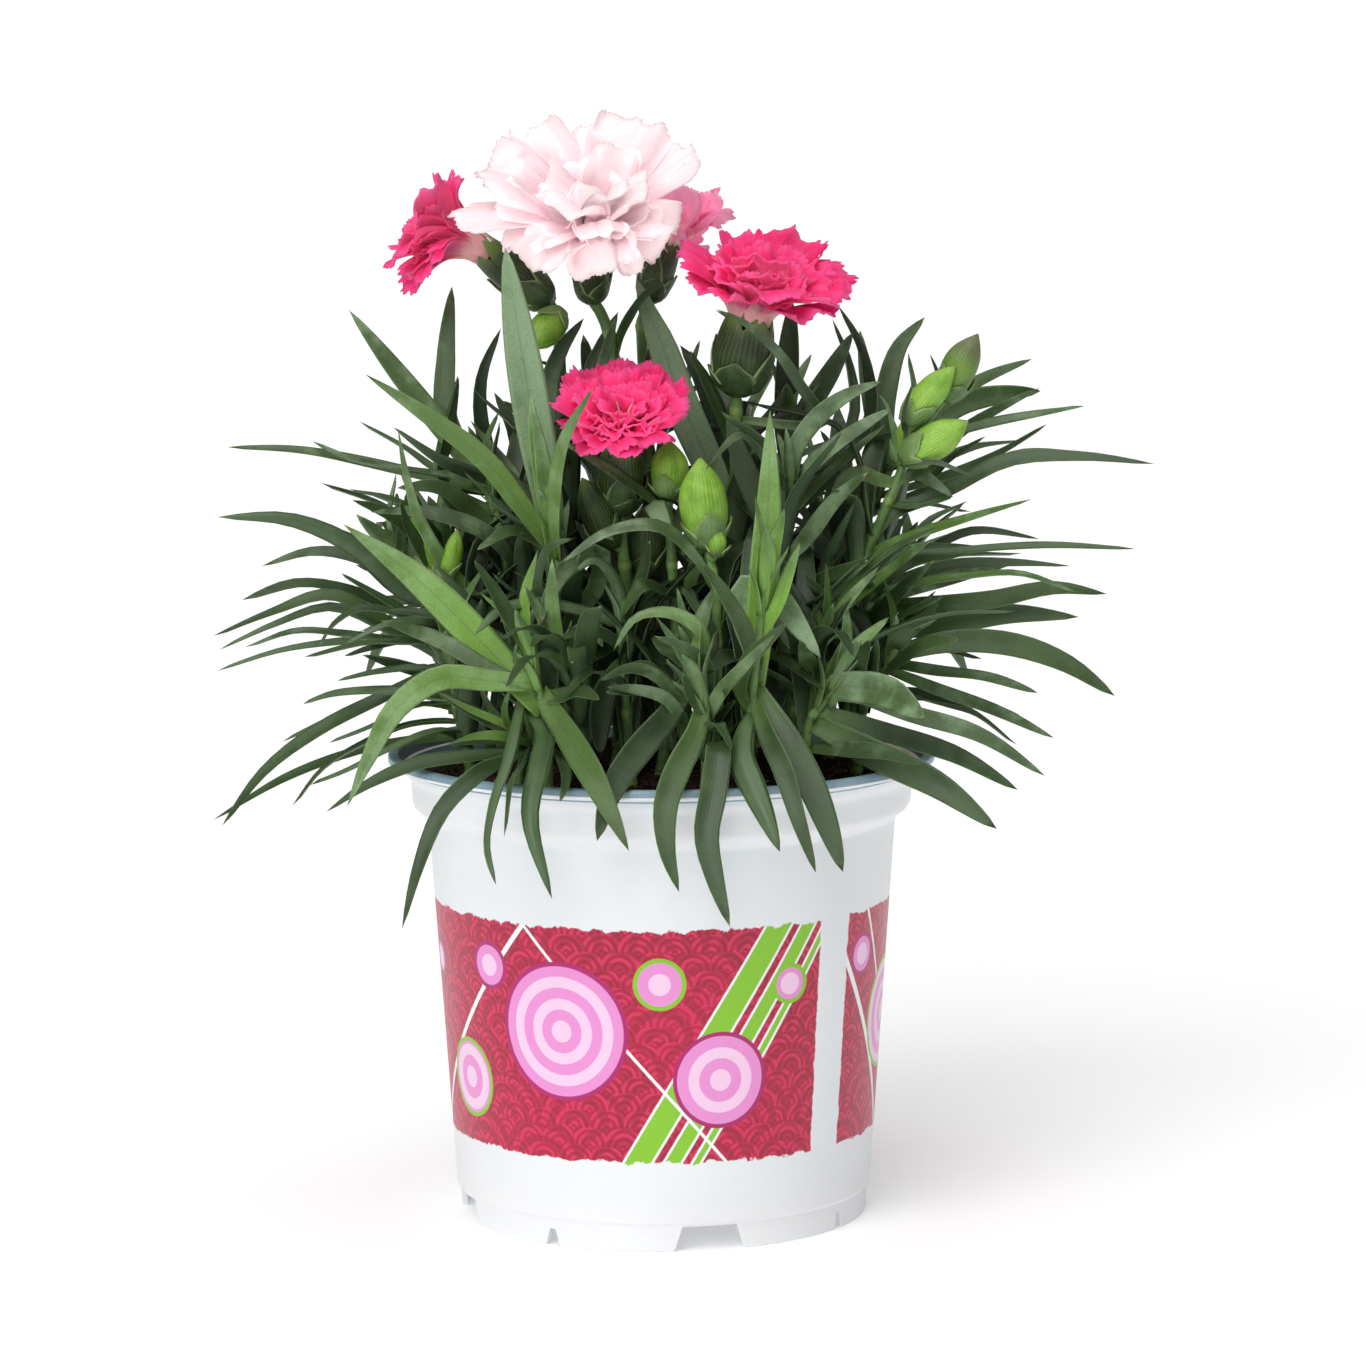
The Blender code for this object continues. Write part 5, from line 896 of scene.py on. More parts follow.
def extra_line(extra, stem):
    """The line of one of the extra leaves, from the nearest point of its stem."""
    points = [seen(*place) for place in extra.route]
    root = nearest(stem, points[0])
    if (root - points[0]).length > EXTRA_GAP:
        points.insert(0, root)
    normals = []
    for way in directions_of(points):
        across = way.cross(-FORWARD)
        normals.append(across.cross(way).normalized() if across.length > TINY else -FORWARD)
    return LeafLine(points, normals, from_pixels(extra.width) / 2 / FINE_WIDTH)


def young_leaves(stem, draw):
    """Small new leaves that stand round the top of a shoot."""
    lines = []
    way = (stem[-1] - stem[-3]).normalized()
    side = way.orthogonal().normalized()
    for index in range(YOUNG_LEAVES):
        turn = index * math.pi / 2 + draw.uniform(-0.3, 0.3) + (index // 2) * 0.6
        outward = Quaternion(way, turn) @ side
        length = draw.uniform(0.016, 0.026) * (1.0 - 0.08 * index)
        root = stem[-1 - index]
        points = [root, root + way * length * 0.5 + outward * length * 0.1,
                  root + way * length * 0.92 + outward * length * draw.uniform(0.25, 0.5)]
        normals = [-outward, -outward, square_to(-outward, (points[2] - points[1]).normalized())]
        lines.append(LeafLine(points, normals, draw.uniform(0.0013, 0.002)))
    return lines


def fine_outline(share, sharpness):
    """Half width of a fine leaf, as a share of the widest: a clasping base and a pointed tip."""
    if share < FINE_WIDEST:
        return BASE_WIDTH + (1.0 - BASE_WIDTH) * math.sin(share / FINE_WIDEST * math.pi / 2)
    taper = (share - FINE_WIDEST) / (1.0 - FINE_WIDEST)
    return max(0.0, math.cos(taper * math.pi / 2)) ** sharpness


def add_leaf(batch, line, tint, draw, stations):
    """A channelled blade along a leaf's line, thickest at its midrib."""
    settings = bpy.context.scene.carnation_leaves
    sharpness = BLUNT_TIP + (SHARP_TIP - BLUNT_TIP) * min(1.0, tint[1] * 1.5) + draw.uniform(-0.05, 0.08)
    route, places = even_route(line.points, stations)
    ways = directions_of(route)
    twist = draw.uniform(-BLADE_TWIST, BLADE_TWIST)
    ripple_phase = draw.uniform(0.0, ANY_TURN)
    verts = []
    surface = []
    tints = []
    for index in range(stations - 1):
        share = index / (stations - 1)
        low = min(int(places[index]), len(line.normals) - 2)
        normal = line.normals[low].lerp(line.normals[low + 1], places[index] - low)
        normal = square_to(normal, ways[index])
        across = ways[index].cross(normal)
        turned_by = math.sin(share * math.pi) * twist
        normal, across = around(normal, -across, turned_by), around(across, normal, turned_by)
        half = line.half_width * FINE_WIDTH * fine_outline(share, sharpness)
        depth = half * settings.channel * (1.5 - share * 0.8)
        thick = settings.thickness * (1.1 - 0.5 * share)
        ripple = math.sin(share * BLADE_RIPPLES + ripple_phase) * BLADE_RIPPLE * half
        for offset, under in SECTION:
            lift = -depth * (1.0 - abs(offset) ** CHANNEL_CURVE) + ripple * offset
            rib = RIB_DEPTH * max(0.0, 1.0 - abs(offset) * RIB_SHARPNESS)
            keel = under * thick * (1.0 - abs(offset) ** KEEL_CURVE + rib)
            verts.append(route[index] + across * half * offset + normal * (lift - keel))
            surface.append(((offset + 1) / 2, share))
            tints.append((*tint, under))
    size = len(SECTION)
    faces = ring_faces(stations - 1, size, closed_ends=False)
    faces.append(tuple(reversed(range(size))))
    tip = len(verts)
    verts.append(route[-1])
    surface.append((0.5, 1.0))
    tints.append((*tint, 0.0))
    last_ring = tip - size
    for side in range(size):
        faces.append((last_ring + side, last_ring + (side + 1) % size, tip))
    batch.add(verts, faces, surface, tints)


def leaf_tint(node, line, draw):
    """Tone, youth and chance of a leaf, from its look in the view or from where it grows."""
    tip = pixel_of(line.points[-1])
    for pixel, tone, youth in LEAF_LOOKS:
        if (Vector(pixel) - tip).length < LOOK_REACH_PIXELS:
            return (tone, youth, draw.random())
    tone = draw.uniform(0.3, 0.6)
    # Painted shade: low leaves and leaves of the grown shoots are darkened.
    if line.points[-1].z < SHADED_LEAF_TIP or node in GROWN_STEMS:
        tone *= SHADED_LEAF_TONE
    return (tone, draw.uniform(0.0, 0.12), draw.random())


def near_segment(point, start, end):
    """Distance from a point to a segment."""
    way = end - start
    share = max(0.0, min(1.0, (point - start).dot(way) / way.length_squared))
    return (start + way * share - point).length


def add_leaves(batch, node, stem, draw, axes):
    """All leaves of a stem: those of its solid, the extra, the inner ones in painted shade and the new
    ones.
    """
    stations = bpy.context.scene.carnation_leaves.stations
    for line in leaf_lines(node, stem):
        if not any(near_segment(line.points[-1], *axis) < BRACT_REACH for axis in axes):
            add_leaf(batch, line, leaf_tint(node, line, draw), draw, stations)
    for extra in EXTRA_LEAVES.get(node, ()):
        add_leaf(batch, extra_line(extra, stem), (extra.tone, extra.youth, draw.random()), draw, stations)
    # Inner leaves get a low tone: painted shade for the middle of the plant.
    for line in inner_leaves(stem, draw):
        add_leaf(batch, line, (draw.uniform(0.0, 0.35), 0.0, draw.random()), draw, INNER_STATIONS)
    if node.startswith("shoot"):
        for line in young_leaves(stem, draw):
            if hides_something(line):
                continue
            freshness = draw.uniform(0.2, 0.5) + (BRIGHT_GAIN if node in BRIGHT_SHOOTS else 0.0)
            tint = (draw.uniform(0.5, 0.75), freshness, draw.random())
            add_leaf(batch, line, tint, draw, INNER_STATIONS)


# Buds and calyces, whose parts lie in the third material slot

NO_AREA = 1e-12
SEPAL_SLOT = 2
SEPALS = 5
# Outlines: radius at a share of the length, both as shares
BUD_SHAPE = ((0.0, 0.17), (0.08, 0.33), (0.22, 0.44), (0.5, 0.5), (0.7, 0.43), (0.86, 0.25), (1.0, 0.025))
CALYX_SHAPE = ((0.0, 0.16), (0.06, 0.33), (0.18, 0.43), (0.5, 0.5), (0.8, 0.46), (1.0, 0.39), (1.12, 0.37))
BUD_SIDES = 40
BUD_ROWS = 18
BUD_BEND = 0.03
SEAM_DEPTH = 0.09
SEAM_SHARPNESS = 0.35
PEDICEL_GAP = 0.001
PEDICEL_SAG = 0.0008
PEDICEL_RADII = (0.0009, 0.00075)
PEDICEL_STEPS = 8
CALYX_SIDES = 50
CALYX_ROWS = 16
CALYX_WALL = 0.0005
# Calyces take a low ripeness, which paints them dark green as painted shade.
CALYX_PAINTED_SHADE = 0.12
LEAST_RADIUS = 0.0002
TOOTH_HEIGHT = 0.13
TOOTH_FOOT = 0.9
# Bracts: reach up the bud or calyx as a share of its length, and half angle round it
BUD_BRACTS = ((0.3, 1.25), (0.3, 1.25), (0.44, 1.05), (0.44, 1.05))
CALYX_BRACTS = ((0.3, 1.3), (0.34, 1.3), (0.5, 1.15), (0.54, 1.15), (0.72, 0.9), (0.66, 0.9))
CALYX_BRACT_TURN = 1.35
BRACT_ROWS = 8
BRACT_COLUMNS = 9
BRACT_THICKNESS = 0.00035
BRACT_STANDOFF = 0.00045
BRACT_FLARE = 0.0006
BRACT_SINK = 0.02
BRACT_POINT = 0.28


def add_sheet(batch, rows, places, tints, thickness, slot=0):
    """A thin closed sheet over a grid of points, half of its thickness on each side."""
    count = len(rows)
    width = len(rows[0])
    top = []
    under = []
    for r in range(count):
        for c in range(width):
            along = rows[min(r + 1, count - 1)][c] - rows[max(r - 1, 0)][c]
            across = rows[r][min(c + 1, width - 1)] - rows[r][max(c - 1, 0)]
            normal = along.cross(across)
            normal = normal.normalized() if normal.length > NO_AREA else UPRIGHT
            top.append(rows[r][c] + normal * thickness / 2)
            under.append(rows[r][c] - normal * thickness / 2)
    size = count * width
    faces = []
    for r in range(count - 1):
        for c in range(width - 1):
            a = r * width + c
            faces.append((a, a + 1, a + width + 1, a + width))
            faces.append((size + a, size + a + width, size + a + width + 1, size + a + 1))
    rim = list(range(width))
    rim += [r * width + width - 1 for r in range(1, count)]
    rim += [(count - 1) * width + c for c in range(width - 2, -1, -1)]
    rim += [r * width for r in range(count - 2, 0, -1)]
    for first, second in zip(rim, rim[1:] + rim[:1]):
        faces.append((second, first, size + first, size + second))
    flat_places = [place for row in places for place in row]
    flat_tints = [tint for row in tints for tint in row]
    batch.add(top + under, faces, flat_places + flat_places,
              [(*tint, 0.0) for tint in flat_tints] + [(*tint, 1.0) for tint in flat_tints], slot)


def profile_radius(profile, share):
    """Radius at a share of the length, on the smooth curve through a profile's points."""
    if share <= profile[0][0]:
        return profile[0][1]
    for index in range(len(profile) - 1):
        low, high = profile[index], profile[index + 1]
        if share <= high[0]:
            before = profile[max(index - 1, 0)]
            after = profile[min(index + 2, len(profile) - 1)]
            t = (share - low[0]) / (high[0] - low[0])
            slope_low = (high[1] - before[1]) / (high[0] - before[0]) * (high[0] - low[0])
            slope_high = (after[1] - low[1]) / (after[0] - low[0]) * (high[0] - low[0])
            return ((2 * t ** 3 - 3 * t ** 2 + 1) * low[1] + (t ** 3 - 2 * t ** 2 + t) * slope_low
                    + (-2 * t ** 3 + 3 * t ** 2) * high[1] + (t ** 3 - t ** 2) * slope_high)
    return profile[-1][1]


class Cup:
    """Where a bud or a calyx stands: its foot, its directions, its length and its width in metres."""

    def __init__(self, base, tip, width_pixels):
        self.base = seen(*base)
        reach = seen(*tip) - self.base
        self.way = reach.normalized()
        self.length = reach.length
        self.width = from_pixels(width_pixels)
        self.side = self.way.orthogonal().normalized()
        self.up = self.way.cross(self.side)

    def point(self, height, angle, radius):
        """A point at a share of the length, an angle and a radius."""
        return self.base + self.way * (height * self.length) + around(self.side, self.up, angle) * radius


def add_bract(batch, cup, shape, turn, reach, spread, ripeness, draw):
    """A broad pointed scale that clasps a bud or a calyx."""
    tint = (ripeness, 1.0, draw.random())
    flare = draw.uniform(0.2, 1.2)
    rows = []
    places = []
    for r in range(BRACT_ROWS):
        share = r / (BRACT_ROWS - 1)
        height = -BRACT_SINK + (reach + BRACT_SINK) * share
        narrowing = spread * (max(0.0, 1.0 - share ** 1.7)) ** 0.8 + 0.012
        if share > 1.0 - BRACT_POINT:
            narrowing = min(narrowing, spread * (1.0 - share) / BRACT_POINT * 0.42 + 0.03)
        row = []
        for c in range(BRACT_COLUMNS):
            u = c / (BRACT_COLUMNS - 1) * 2 - 1
            radius = profile_radius(shape, max(0.0, height)) * cup.width
            radius += BRACT_STANDOFF * (1.0 - 0.55 * abs(u))
            radius += BRACT_FLARE * flare * max(0.0, share - 0.5) * 2
            row.append(cup.point(height, turn + narrowing * u, radius))
        rows.append(row)
        places.append([(c / (BRACT_COLUMNS - 1), share) for c in range(BRACT_COLUMNS)])
    add_sheet(batch, rows, places, [[tint] * BRACT_COLUMNS] * BRACT_ROWS, BRACT_THICKNESS, SEPAL_SLOT)


def add_bud(batch, bud, stem, draw):
    """A bud on its stalk: joined sepals with seams, and two pairs of bracts round its foot."""
    cup = Cup(bud.base, bud.tip, bud.width)
    root = nearest(stem, cup.base)
    if (root - cup.base).length > PEDICEL_GAP:
        middle = root.lerp(cup.base, 0.5) - UPRIGHT * PEDICEL_SAG
        line = even_route([root, middle, cup.base + cup.way * 0.0006], PEDICEL_STEPS)[0]
        add_stem(batch, line, *PEDICEL_RADII, (0.6, 0.6, draw.random(), 0.0))
    bend = cup.side * draw.uniform(-BUD_BEND, BUD_BEND) * cup.length
    bend += cup.up * draw.uniform(-BUD_BEND, BUD_BEND) * cup.length
    verts = []
    places = []
    for r in range(BUD_ROWS):
        share = r / (BUD_ROWS - 1)
        for c in range(BUD_SIDES):
            angle = FULL_TURN * c / BUD_SIDES
            seam = abs(math.cos(angle * SEPALS / 2)) ** SEAM_SHARPNESS
            groove = 1.0 - SEAM_DEPTH * (1.0 - seam) * min(1.0, max(0.0, share - 0.35) * 2.2)
            radius = profile_radius(BUD_SHAPE, share) * cup.width * groove
            verts.append(cup.point(share, angle, radius) + bend * math.sin(share * math.pi))
            places.append((c / BUD_SIDES * SEPALS, share))
    tint = (bud.ripeness, 0.0, draw.random(), 0.0)
    batch.add(verts, ring_faces(BUD_ROWS, BUD_SIDES), places, tint, SEPAL_SLOT)
    start = draw.uniform(0.0, math.pi)
    for index, (reach, spread) in enumerate(BUD_BRACTS):
        turn = start + index * math.pi + (math.pi / 2 if index > 1 else 0.0)
        add_bract(batch, cup, BUD_SHAPE, turn, reach, spread, bud.ripeness, draw)


def add_calyx(batch, bloom, draw):
    """The green cup of a bloom: a ribbed tube with five pointed teeth, and six bracts round it."""
    cup = Cup(bloom.calyx_base, bloom.mouth, bloom.calyx_width)
    verts = []
    places = []
    start = draw.uniform(0.0, 1.2)
    for inset in (0.0, CALYX_WALL):
        for r in range(CALYX_ROWS):
            share = r / (CALYX_ROWS - 1)
            for c in range(CALYX_SIDES):
                angle = FULL_TURN * c / CALYX_SIDES + start
                tooth = 1.0 - abs(2 * (c / CALYX_SIDES * SEPALS % 1.0) - 1.0)
                rim = TOOTH_FOOT + (1.0 + TOOTH_HEIGHT - TOOTH_FOOT) * tooth ** 0.8
                height = rim * share ** 0.9
                radius = profile_radius(CALYX_SHAPE, height) * cup.width - inset
                verts.append(cup.point(height, angle, max(radius, LEAST_RADIUS)))
                places.append((c / CALYX_SIDES * SEPALS, height))
    faces = ring_faces(CALYX_ROWS, CALYX_SIDES, closed_ends=False)
    second = CALYX_ROWS * CALYX_SIDES
    faces += [tuple(second + index for index in reversed(face)) for face in faces]
    last = (CALYX_ROWS - 1) * CALYX_SIDES
    for c in range(CALYX_SIDES):
        d = (c + 1) % CALYX_SIDES
        faces.append((last + c, last + d, second + last + d, second + last + c))
        faces.append((d, c, second + c, second + d))
    # The calyx's low ripeness value paints it dark green: painted shade.
    batch.add(verts, faces, places, (CALYX_PAINTED_SHADE, 0.0, draw.random(), 0.0), SEPAL_SLOT)
    turn_start = draw.uniform(0.0, math.pi)
    for index, (reach, spread) in enumerate(CALYX_BRACTS):
        turn = turn_start + index * math.pi + (index // 2) * CALYX_BRACT_TURN
        # The calyx bracts take ripeness 0.1, which paints them dark as painted shade.
        add_bract(batch, cup, CALYX_SHAPE, turn, reach, spread, 0.1, draw)


# Petals

PetalStyle = namedtuple("PetalStyle", "columns rows tooth_depth rim_arc ruffle waves cup widening rings")
Ring = namedtuple("Ring", "scale lift width count")
PINK_STYLE = PetalStyle(31, 14, 0.062, 0.12, 0.1, 2.2, 0.25, 1.32, (
    Ring(0.84, 1.9, 1.0, 0.9), Ring(0.62, 3.6, 0.95, 0.8), Ring(0.41, 4.6, 0.85, 0.65),
    Ring(0.22, 5.0, 0.6, 0.4)))
NODDING_STYLE = PetalStyle(31, 14, 0.05, 0.12, 0.07, 1.8, 0.35, 1.4, (
    Ring(0.8, 1.4, 0.95, 0.7), Ring(0.5, 2.4, 0.8, 0.5)))
PALE_STYLE = PetalStyle(41, 18, 0.026, 0.15, 0.17, 1.6, 0.5, 1.22, (
    Ring(0.93, 0.8, 0.8, 0.7), Ring(0.72, 1.6, 0.75, 0.6), Ring(0.47, 2.2, 0.6, 0.4),
    Ring(0.25, 2.6, 0.42, 0.3)))
CLAW_HALF_WIDTH = 0.0016
CLAW_SINK = 0.001
MOUTH_SHARE = 0.34
PATH_STEPS = 12
PETAL_STATIONS = 25
PETAL_PHASES = 7
PETAL_FAN = 1.15
RIM_CURVE = 2.4
RIM_WOBBLE = 0.018
RUFFLE_GROWTH = 1.9
CREASE_SHARPNESS = 2.6
# Waves across a petal: share of the style's waves, height, and the power by which they grow outward
RISES = ((1.0, 0.6, 0), (1.9, 0.34, 1), (3.3, 0.14, 2))
SWAYS = ((1.0, 0.35, 0), (1.9, 0.22, 1))
LAYERS = 5
STYLE_COUNT = 5
STYLE_TURN = 2.4
STYLE_LENGTH = 0.0052
STYLE_RADII = (0.0002, 0.00011)
STYLE_STEPS = 8


def petal_path(bloom, tip, layer, droop):
    """Control points of a petal's centre line: out of the calyx, up its axis and over to the rim."""
    mouth = seen(*bloom.mouth)
    facing = Vector(bloom.facing).normalized()
    calyx_way = (mouth - seen(*bloom.calyx_base)).normalized()
    foot_radius = from_pixels(bloom.calyx_width) * MOUTH_SHARE
    away = tip - mouth
    radial = away - calyx_way * away.dot(calyx_way)
    radial = radial.normalized() if radial.length > TINY else calyx_way.orthogonal().normalized()
    foot = mouth + radial * foot_radius * max(0.15, 1.0 - 0.24 * layer) - calyx_way * CLAW_SINK
    reach = (tip - foot).length
    outward = (away - facing * away.dot(facing)).normalized()
    arrive = (outward * (1.0 - 0.16 * layer) + facing * (0.22 * layer - droop)).normalized()
    first = foot + (calyx_way * 0.75 + facing * 0.25) * reach * 0.42
    second = tip - arrive * reach * 0.4
    return foot, first, second, tip


def bezier(path, t):
    """A point on a cubic curve."""
    foot, first, second, tip = path
    return (foot * (1 - t) ** 3 + first * (3 * t * (1 - t) ** 2)
            + second * (3 * t ** 2 * (1 - t)) + tip * t ** 3)


def waves_at(wave, terms, u, s, waves, phases):
    """The sum of some waves at a place across and along a petal."""
    return sum(wave(waves * share * math.pi * u + phase) * height * s ** power
               for (share, height, power), phase in zip(terms, phases[1:]))


def add_petal(batch, path, width, layer, style, tint, draw):
    """One ruffled petal with a narrow claw and a toothed rim."""
    thickness = bpy.context.scene.carnation_petals.thickness
    steps = [bezier(path, step / PATH_STEPS) for step in range(PATH_STEPS + 1)]
    route, _ = even_route(steps, PETAL_STATIONS)
    ways = directions_of(route)
    length = sum((second - first).length for first, second in zip(route, route[1:]))
    across = (path[1] - path[0]).cross(path[3] - path[0])
    across = across.normalized() if across.length > NO_AREA else ways[0].orthogonal().normalized()
    phases = [draw.uniform(0.0, FULL_TURN) for _ in range(PETAL_PHASES)]
    ruffle = style.ruffle * draw.uniform(0.8, 1.25) * width
    waves = style.waves * draw.uniform(0.8, 1.2)
    cup = style.cup * draw.uniform(-0.5, 1.3)
    skew = draw.uniform(-0.1, 0.1) * width
    crease = draw.uniform(-0.12, 0.16) * width * style.cup * 2.5
    depths = [draw.uniform(0.3, 1.0) for _ in range(style.columns)]
    claw = CLAW_HALF_WIDTH * max(0.4, 1.0 - 0.2 * layer)
    rows = []
    places = []
    tints = []
    for r in range(style.rows):
        share = (r / (style.rows - 1)) ** 0.9
        row = []
        place_row = []
        tint_row = []
        for c in range(style.columns):
            u = c / (style.columns - 1) * 2 - 1
            rim = 1.0 - style.rim_arc * abs(u) ** RIM_CURVE + RIM_WOBBLE * math.sin(u * 4.0 + phases[0])
            if c % 2 == 0:
                rim -= style.tooth_depth * depths[c] * share ** 4
            s = share * rim
            place = s * (len(route) - 1)
            low = min(int(place), len(route) - 2)
            centre = route[low].lerp(route[low + 1], place - low)
            along = ways[low].lerp(ways[low + 1], place - low).normalized()
            spread = math.sin(min(1.0, s * 1.18) * math.pi / 2) ** 1.5
            half = claw + (width / 2 - claw) * spread
            fan = math.sin(PETAL_FAN * u) / math.sin(PETAL_FAN)
            grow = s ** RUFFLE_GROWTH
            sway = waves_at(math.cos, SWAYS, u, s, waves, phases)
            rise = ruffle * grow * waves_at(math.sin, RISES, u, s, waves, phases)
            rise += cup * half * (1.0 - math.cos(1.3 * u)) * s
            rise += crease * grow * math.exp(-(u * CREASE_SHARPNESS) ** 2)
            point = centre + across * (half * fan + ruffle * grow * sway * 0.7 + skew * grow)
            point += along.cross(across) * rise
            point += along * ruffle * 0.2 * grow * math.sin(waves * 1.3 * math.pi * u + phases[4])
            row.append(point)
            place_row.append((half * fan, s * length))
            tint_row.append((s, *tint))
        rows.append(row)
        places.append(place_row)
        tints.append(tint_row)
    add_sheet(batch, rows, places, tints, thickness)


def add_bloom(batch, bloom, style, draw):
    """All petals of a bloom: those that the solid has, and rings of smaller ones within."""
    throat = seen(*bloom.throat)
    facing = Vector(bloom.facing).normalized()
    outer = []
    for petal in bloom.petals:
        tip = seen(*petal.tip)
        width = from_pixels(petal.width)
        path = petal_path(bloom, tip, petal.layer, draw.uniform(-0.1, 0.25))
        tint = (petal.layer / LAYERS, draw.random())
        add_petal(batch, path, width * style.widening, petal.layer, style, tint, draw)
        if petal.layer == 0:
            outer.append((tip, width))
    for number, ring in enumerate(style.rings):
        count = max(3, round(len(outer) * ring.count))
        layer = number + 1.0
        for index in range(count):
            offset = 0.5 if number % 2 == 0 else 0.0
            place = index * len(outer) / count + offset + draw.uniform(-0.15, 0.15)
            low = int(place) % len(outer)
            goal = outer[low][0].lerp(outer[(low + 1) % len(outer)][0], place % 1.0)
            away = goal - throat
            depth = facing * away.dot(facing)
            tip = throat + (away - depth) * ring.scale * draw.uniform(0.88, 1.07) + depth * ring.scale
            tip += facing * ring.lift * MM * draw.uniform(0.75, 1.2)
            path = petal_path(bloom, tip, layer, draw.uniform(-0.1, 0.15))
            width = outer[low][1] * style.widening * ring.width * draw.uniform(0.85, 1.1)
            add_petal(batch, path, width, layer, style, (layer / LAYERS, draw.random()), draw)


def add_styles(batch, bloom, draw):
    """The thin pale styles that curl out of a bloom's throat."""
    throat = seen(*bloom.throat)
    facing = Vector(bloom.facing).normalized()
    side = facing.orthogonal().normalized()
    for index in range(STYLE_COUNT):
        outward = Quaternion(facing, index * STYLE_TURN + draw.uniform(-0.4, 0.4)) @ side
        foot = throat + outward * 0.0012
        middle = foot + facing * STYLE_LENGTH * 0.55 + outward * 0.0006
        tip = foot + facing * STYLE_LENGTH * draw.uniform(0.8, 1.05) + outward * draw.uniform(0.001, 0.0028)
        add_stem(batch, even_route([foot, middle, tip], STYLE_STEPS)[0], *STYLE_RADII, (0.0, 0.0, 0.5, 0.0))


# The pot

# Corners of the turned outline, from the foot ring up the outside, over the lip and down the
# inside: radius, height and rounding in millimetres
POT_CORNERS = (
    (47.2, 0.0, 0.3), (FOOT_RADIUS, 0.0, 0.5), (FOOT_RADIUS + 0.2, 6.2, 0.3),
    (BODY_FOOT_RADIUS, BODY_FOOT, 0.4), (BODY_TOP_RADIUS, BODY_TOP, 0.8), (SHOULDER_RADIUS, 98.4, 1.4),
    (SHOULDER_RADIUS + 0.3, 104.4, 1.2), (60.9, 106.2, 0.6), (61.4, 107.8, 0.5), (64.4, 108.5, 0.4),
    (65.0, 108.7, 0.2), (65.0, 109.2, 0.0), (65.0, 110.6, 0.5), (64.0, 111.0, 0.5), (62.6, 110.7, 0.5),
    (61.6, 107.6, 0.8), (58.4, 104.9, 0.8), (58.0, 98.9, 0.8), (54.5, 95.2, 0.8), (48.6, 10.2, 0.6),
    (12.0, 9.4, 0.3), (12.0, 8.0, 0.3), (47.4, 8.0, 0.4),
)
ROUNDING_STEPS = 4
ROUNDING_MOST = 0.45
LIP_FOOT = 109.2
INSIDE_FLOOR = 9.5
FACES_INWARD = -0.2
SHARP_DEGREES = 40
# Notches and nicks through the foot ring, in millimetres; narrowing is a share of the width above
NOTCH_WIDTHS = (24.0, 18.0)
NOTCH_HEIGHT = 6.0
NOTCH_NARROWING = 0.28
NICK_WIDTH = 5.0
NICK_HEIGHT = 4.0
NICK_NARROWING = 0.7
CUTTER_DEPTH = 8.0
CUTTER_BELOW = 2.0
NO_TINT = (0.0, 0.0, 0.0, 0.0)


def rounded(corners):
    """A profile in metres with its corners rounded."""
    loop = []
    for index, (radius, height, rounding) in enumerate(corners):
        here = Vector((radius, height))
        if rounding <= 0:
            loop.append(tuple(here * MM))
            continue
        before = Vector(corners[index - 1][:2]) - here
        after = Vector(corners[(index + 1) % len(corners)][:2]) - here
        first = here + before.normalized() * min(rounding, before.length * ROUNDING_MOST)
        last = here + after.normalized() * min(rounding, after.length * ROUNDING_MOST)
        for step in range(ROUNDING_STEPS):
            t = step / (ROUNDING_STEPS - 1)
            point = first * (1 - t) ** 2 + here * (2 * t * (1 - t)) + last * t ** 2
            loop.append(tuple(point * MM))
    return loop


def turned(profile, sides):
    """A closed form turned round the pot's axis from a loop of radius and height."""
    batch = Batch()
    verts = []
    places = []
    for radius, height in profile:
        for side in range(sides):
            angle = FULL_TURN * side / sides
            verts.append(Vector((radius * math.cos(angle), radius * math.sin(angle), height)) + POT_AXIS)
            places.append((side / sides, height))
    faces = []
    for ring in range(len(profile)):
        start = ring * sides
        above = (ring + 1) % len(profile) * sides
        for side in range(sides):
            after = (side + 1) % sides
            faces.append((start + side, start + after, above + after, above + side))
    batch.add(verts, faces, places, NO_TINT)
    return batch


def box_cutter(name, turn, width, height, narrowing):
    """A box, narrower above, that cuts a notch through the pot's foot ring."""
    mesh = bpy.data.meshes.new(name)
    shape = bmesh.new()
    bmesh.ops.create_cube(shape, size=1.0)
    matrix = (Matrix.Translation(POT_AXIS) @ Matrix.Rotation(math.radians(turn), 4, "Z")
              @ Matrix.Translation((FOOT_RADIUS * MM, 0.0, (height - CUTTER_BELOW) / 2 * MM))
              @ Matrix.Diagonal((CUTTER_DEPTH * MM, width * MM, (height + CUTTER_BELOW) * MM, 1.0)))
    bmesh.ops.transform(shape, matrix=matrix, verts=shape.verts)
    outward = level_way(math.radians(turn))
    for vert in shape.verts:
        if vert.co.z > 0:
            away = vert.co - POT_AXIS
            beside = Vector((away.x, away.y, 0.0)) - outward * away.dot(outward)
            vert.co -= beside * narrowing
    shape.to_mesh(mesh)
    shape.free()
    return new_object(name, mesh)


def cut(piece, cutters):
    """Cuts some boxes out of a piece and deletes them."""
    for cutter in cutters:
        modifier = piece.modifiers.new("cut", "BOOLEAN")
        modifier.operation = "DIFFERENCE"
        modifier.solver = "EXACT"
        modifier.object = cutter
    settle(piece)
    for cutter in cutters:
        mesh = cutter.data
        bpy.data.objects.remove(cutter)
        bpy.data.meshes.remove(mesh)


# Node trees

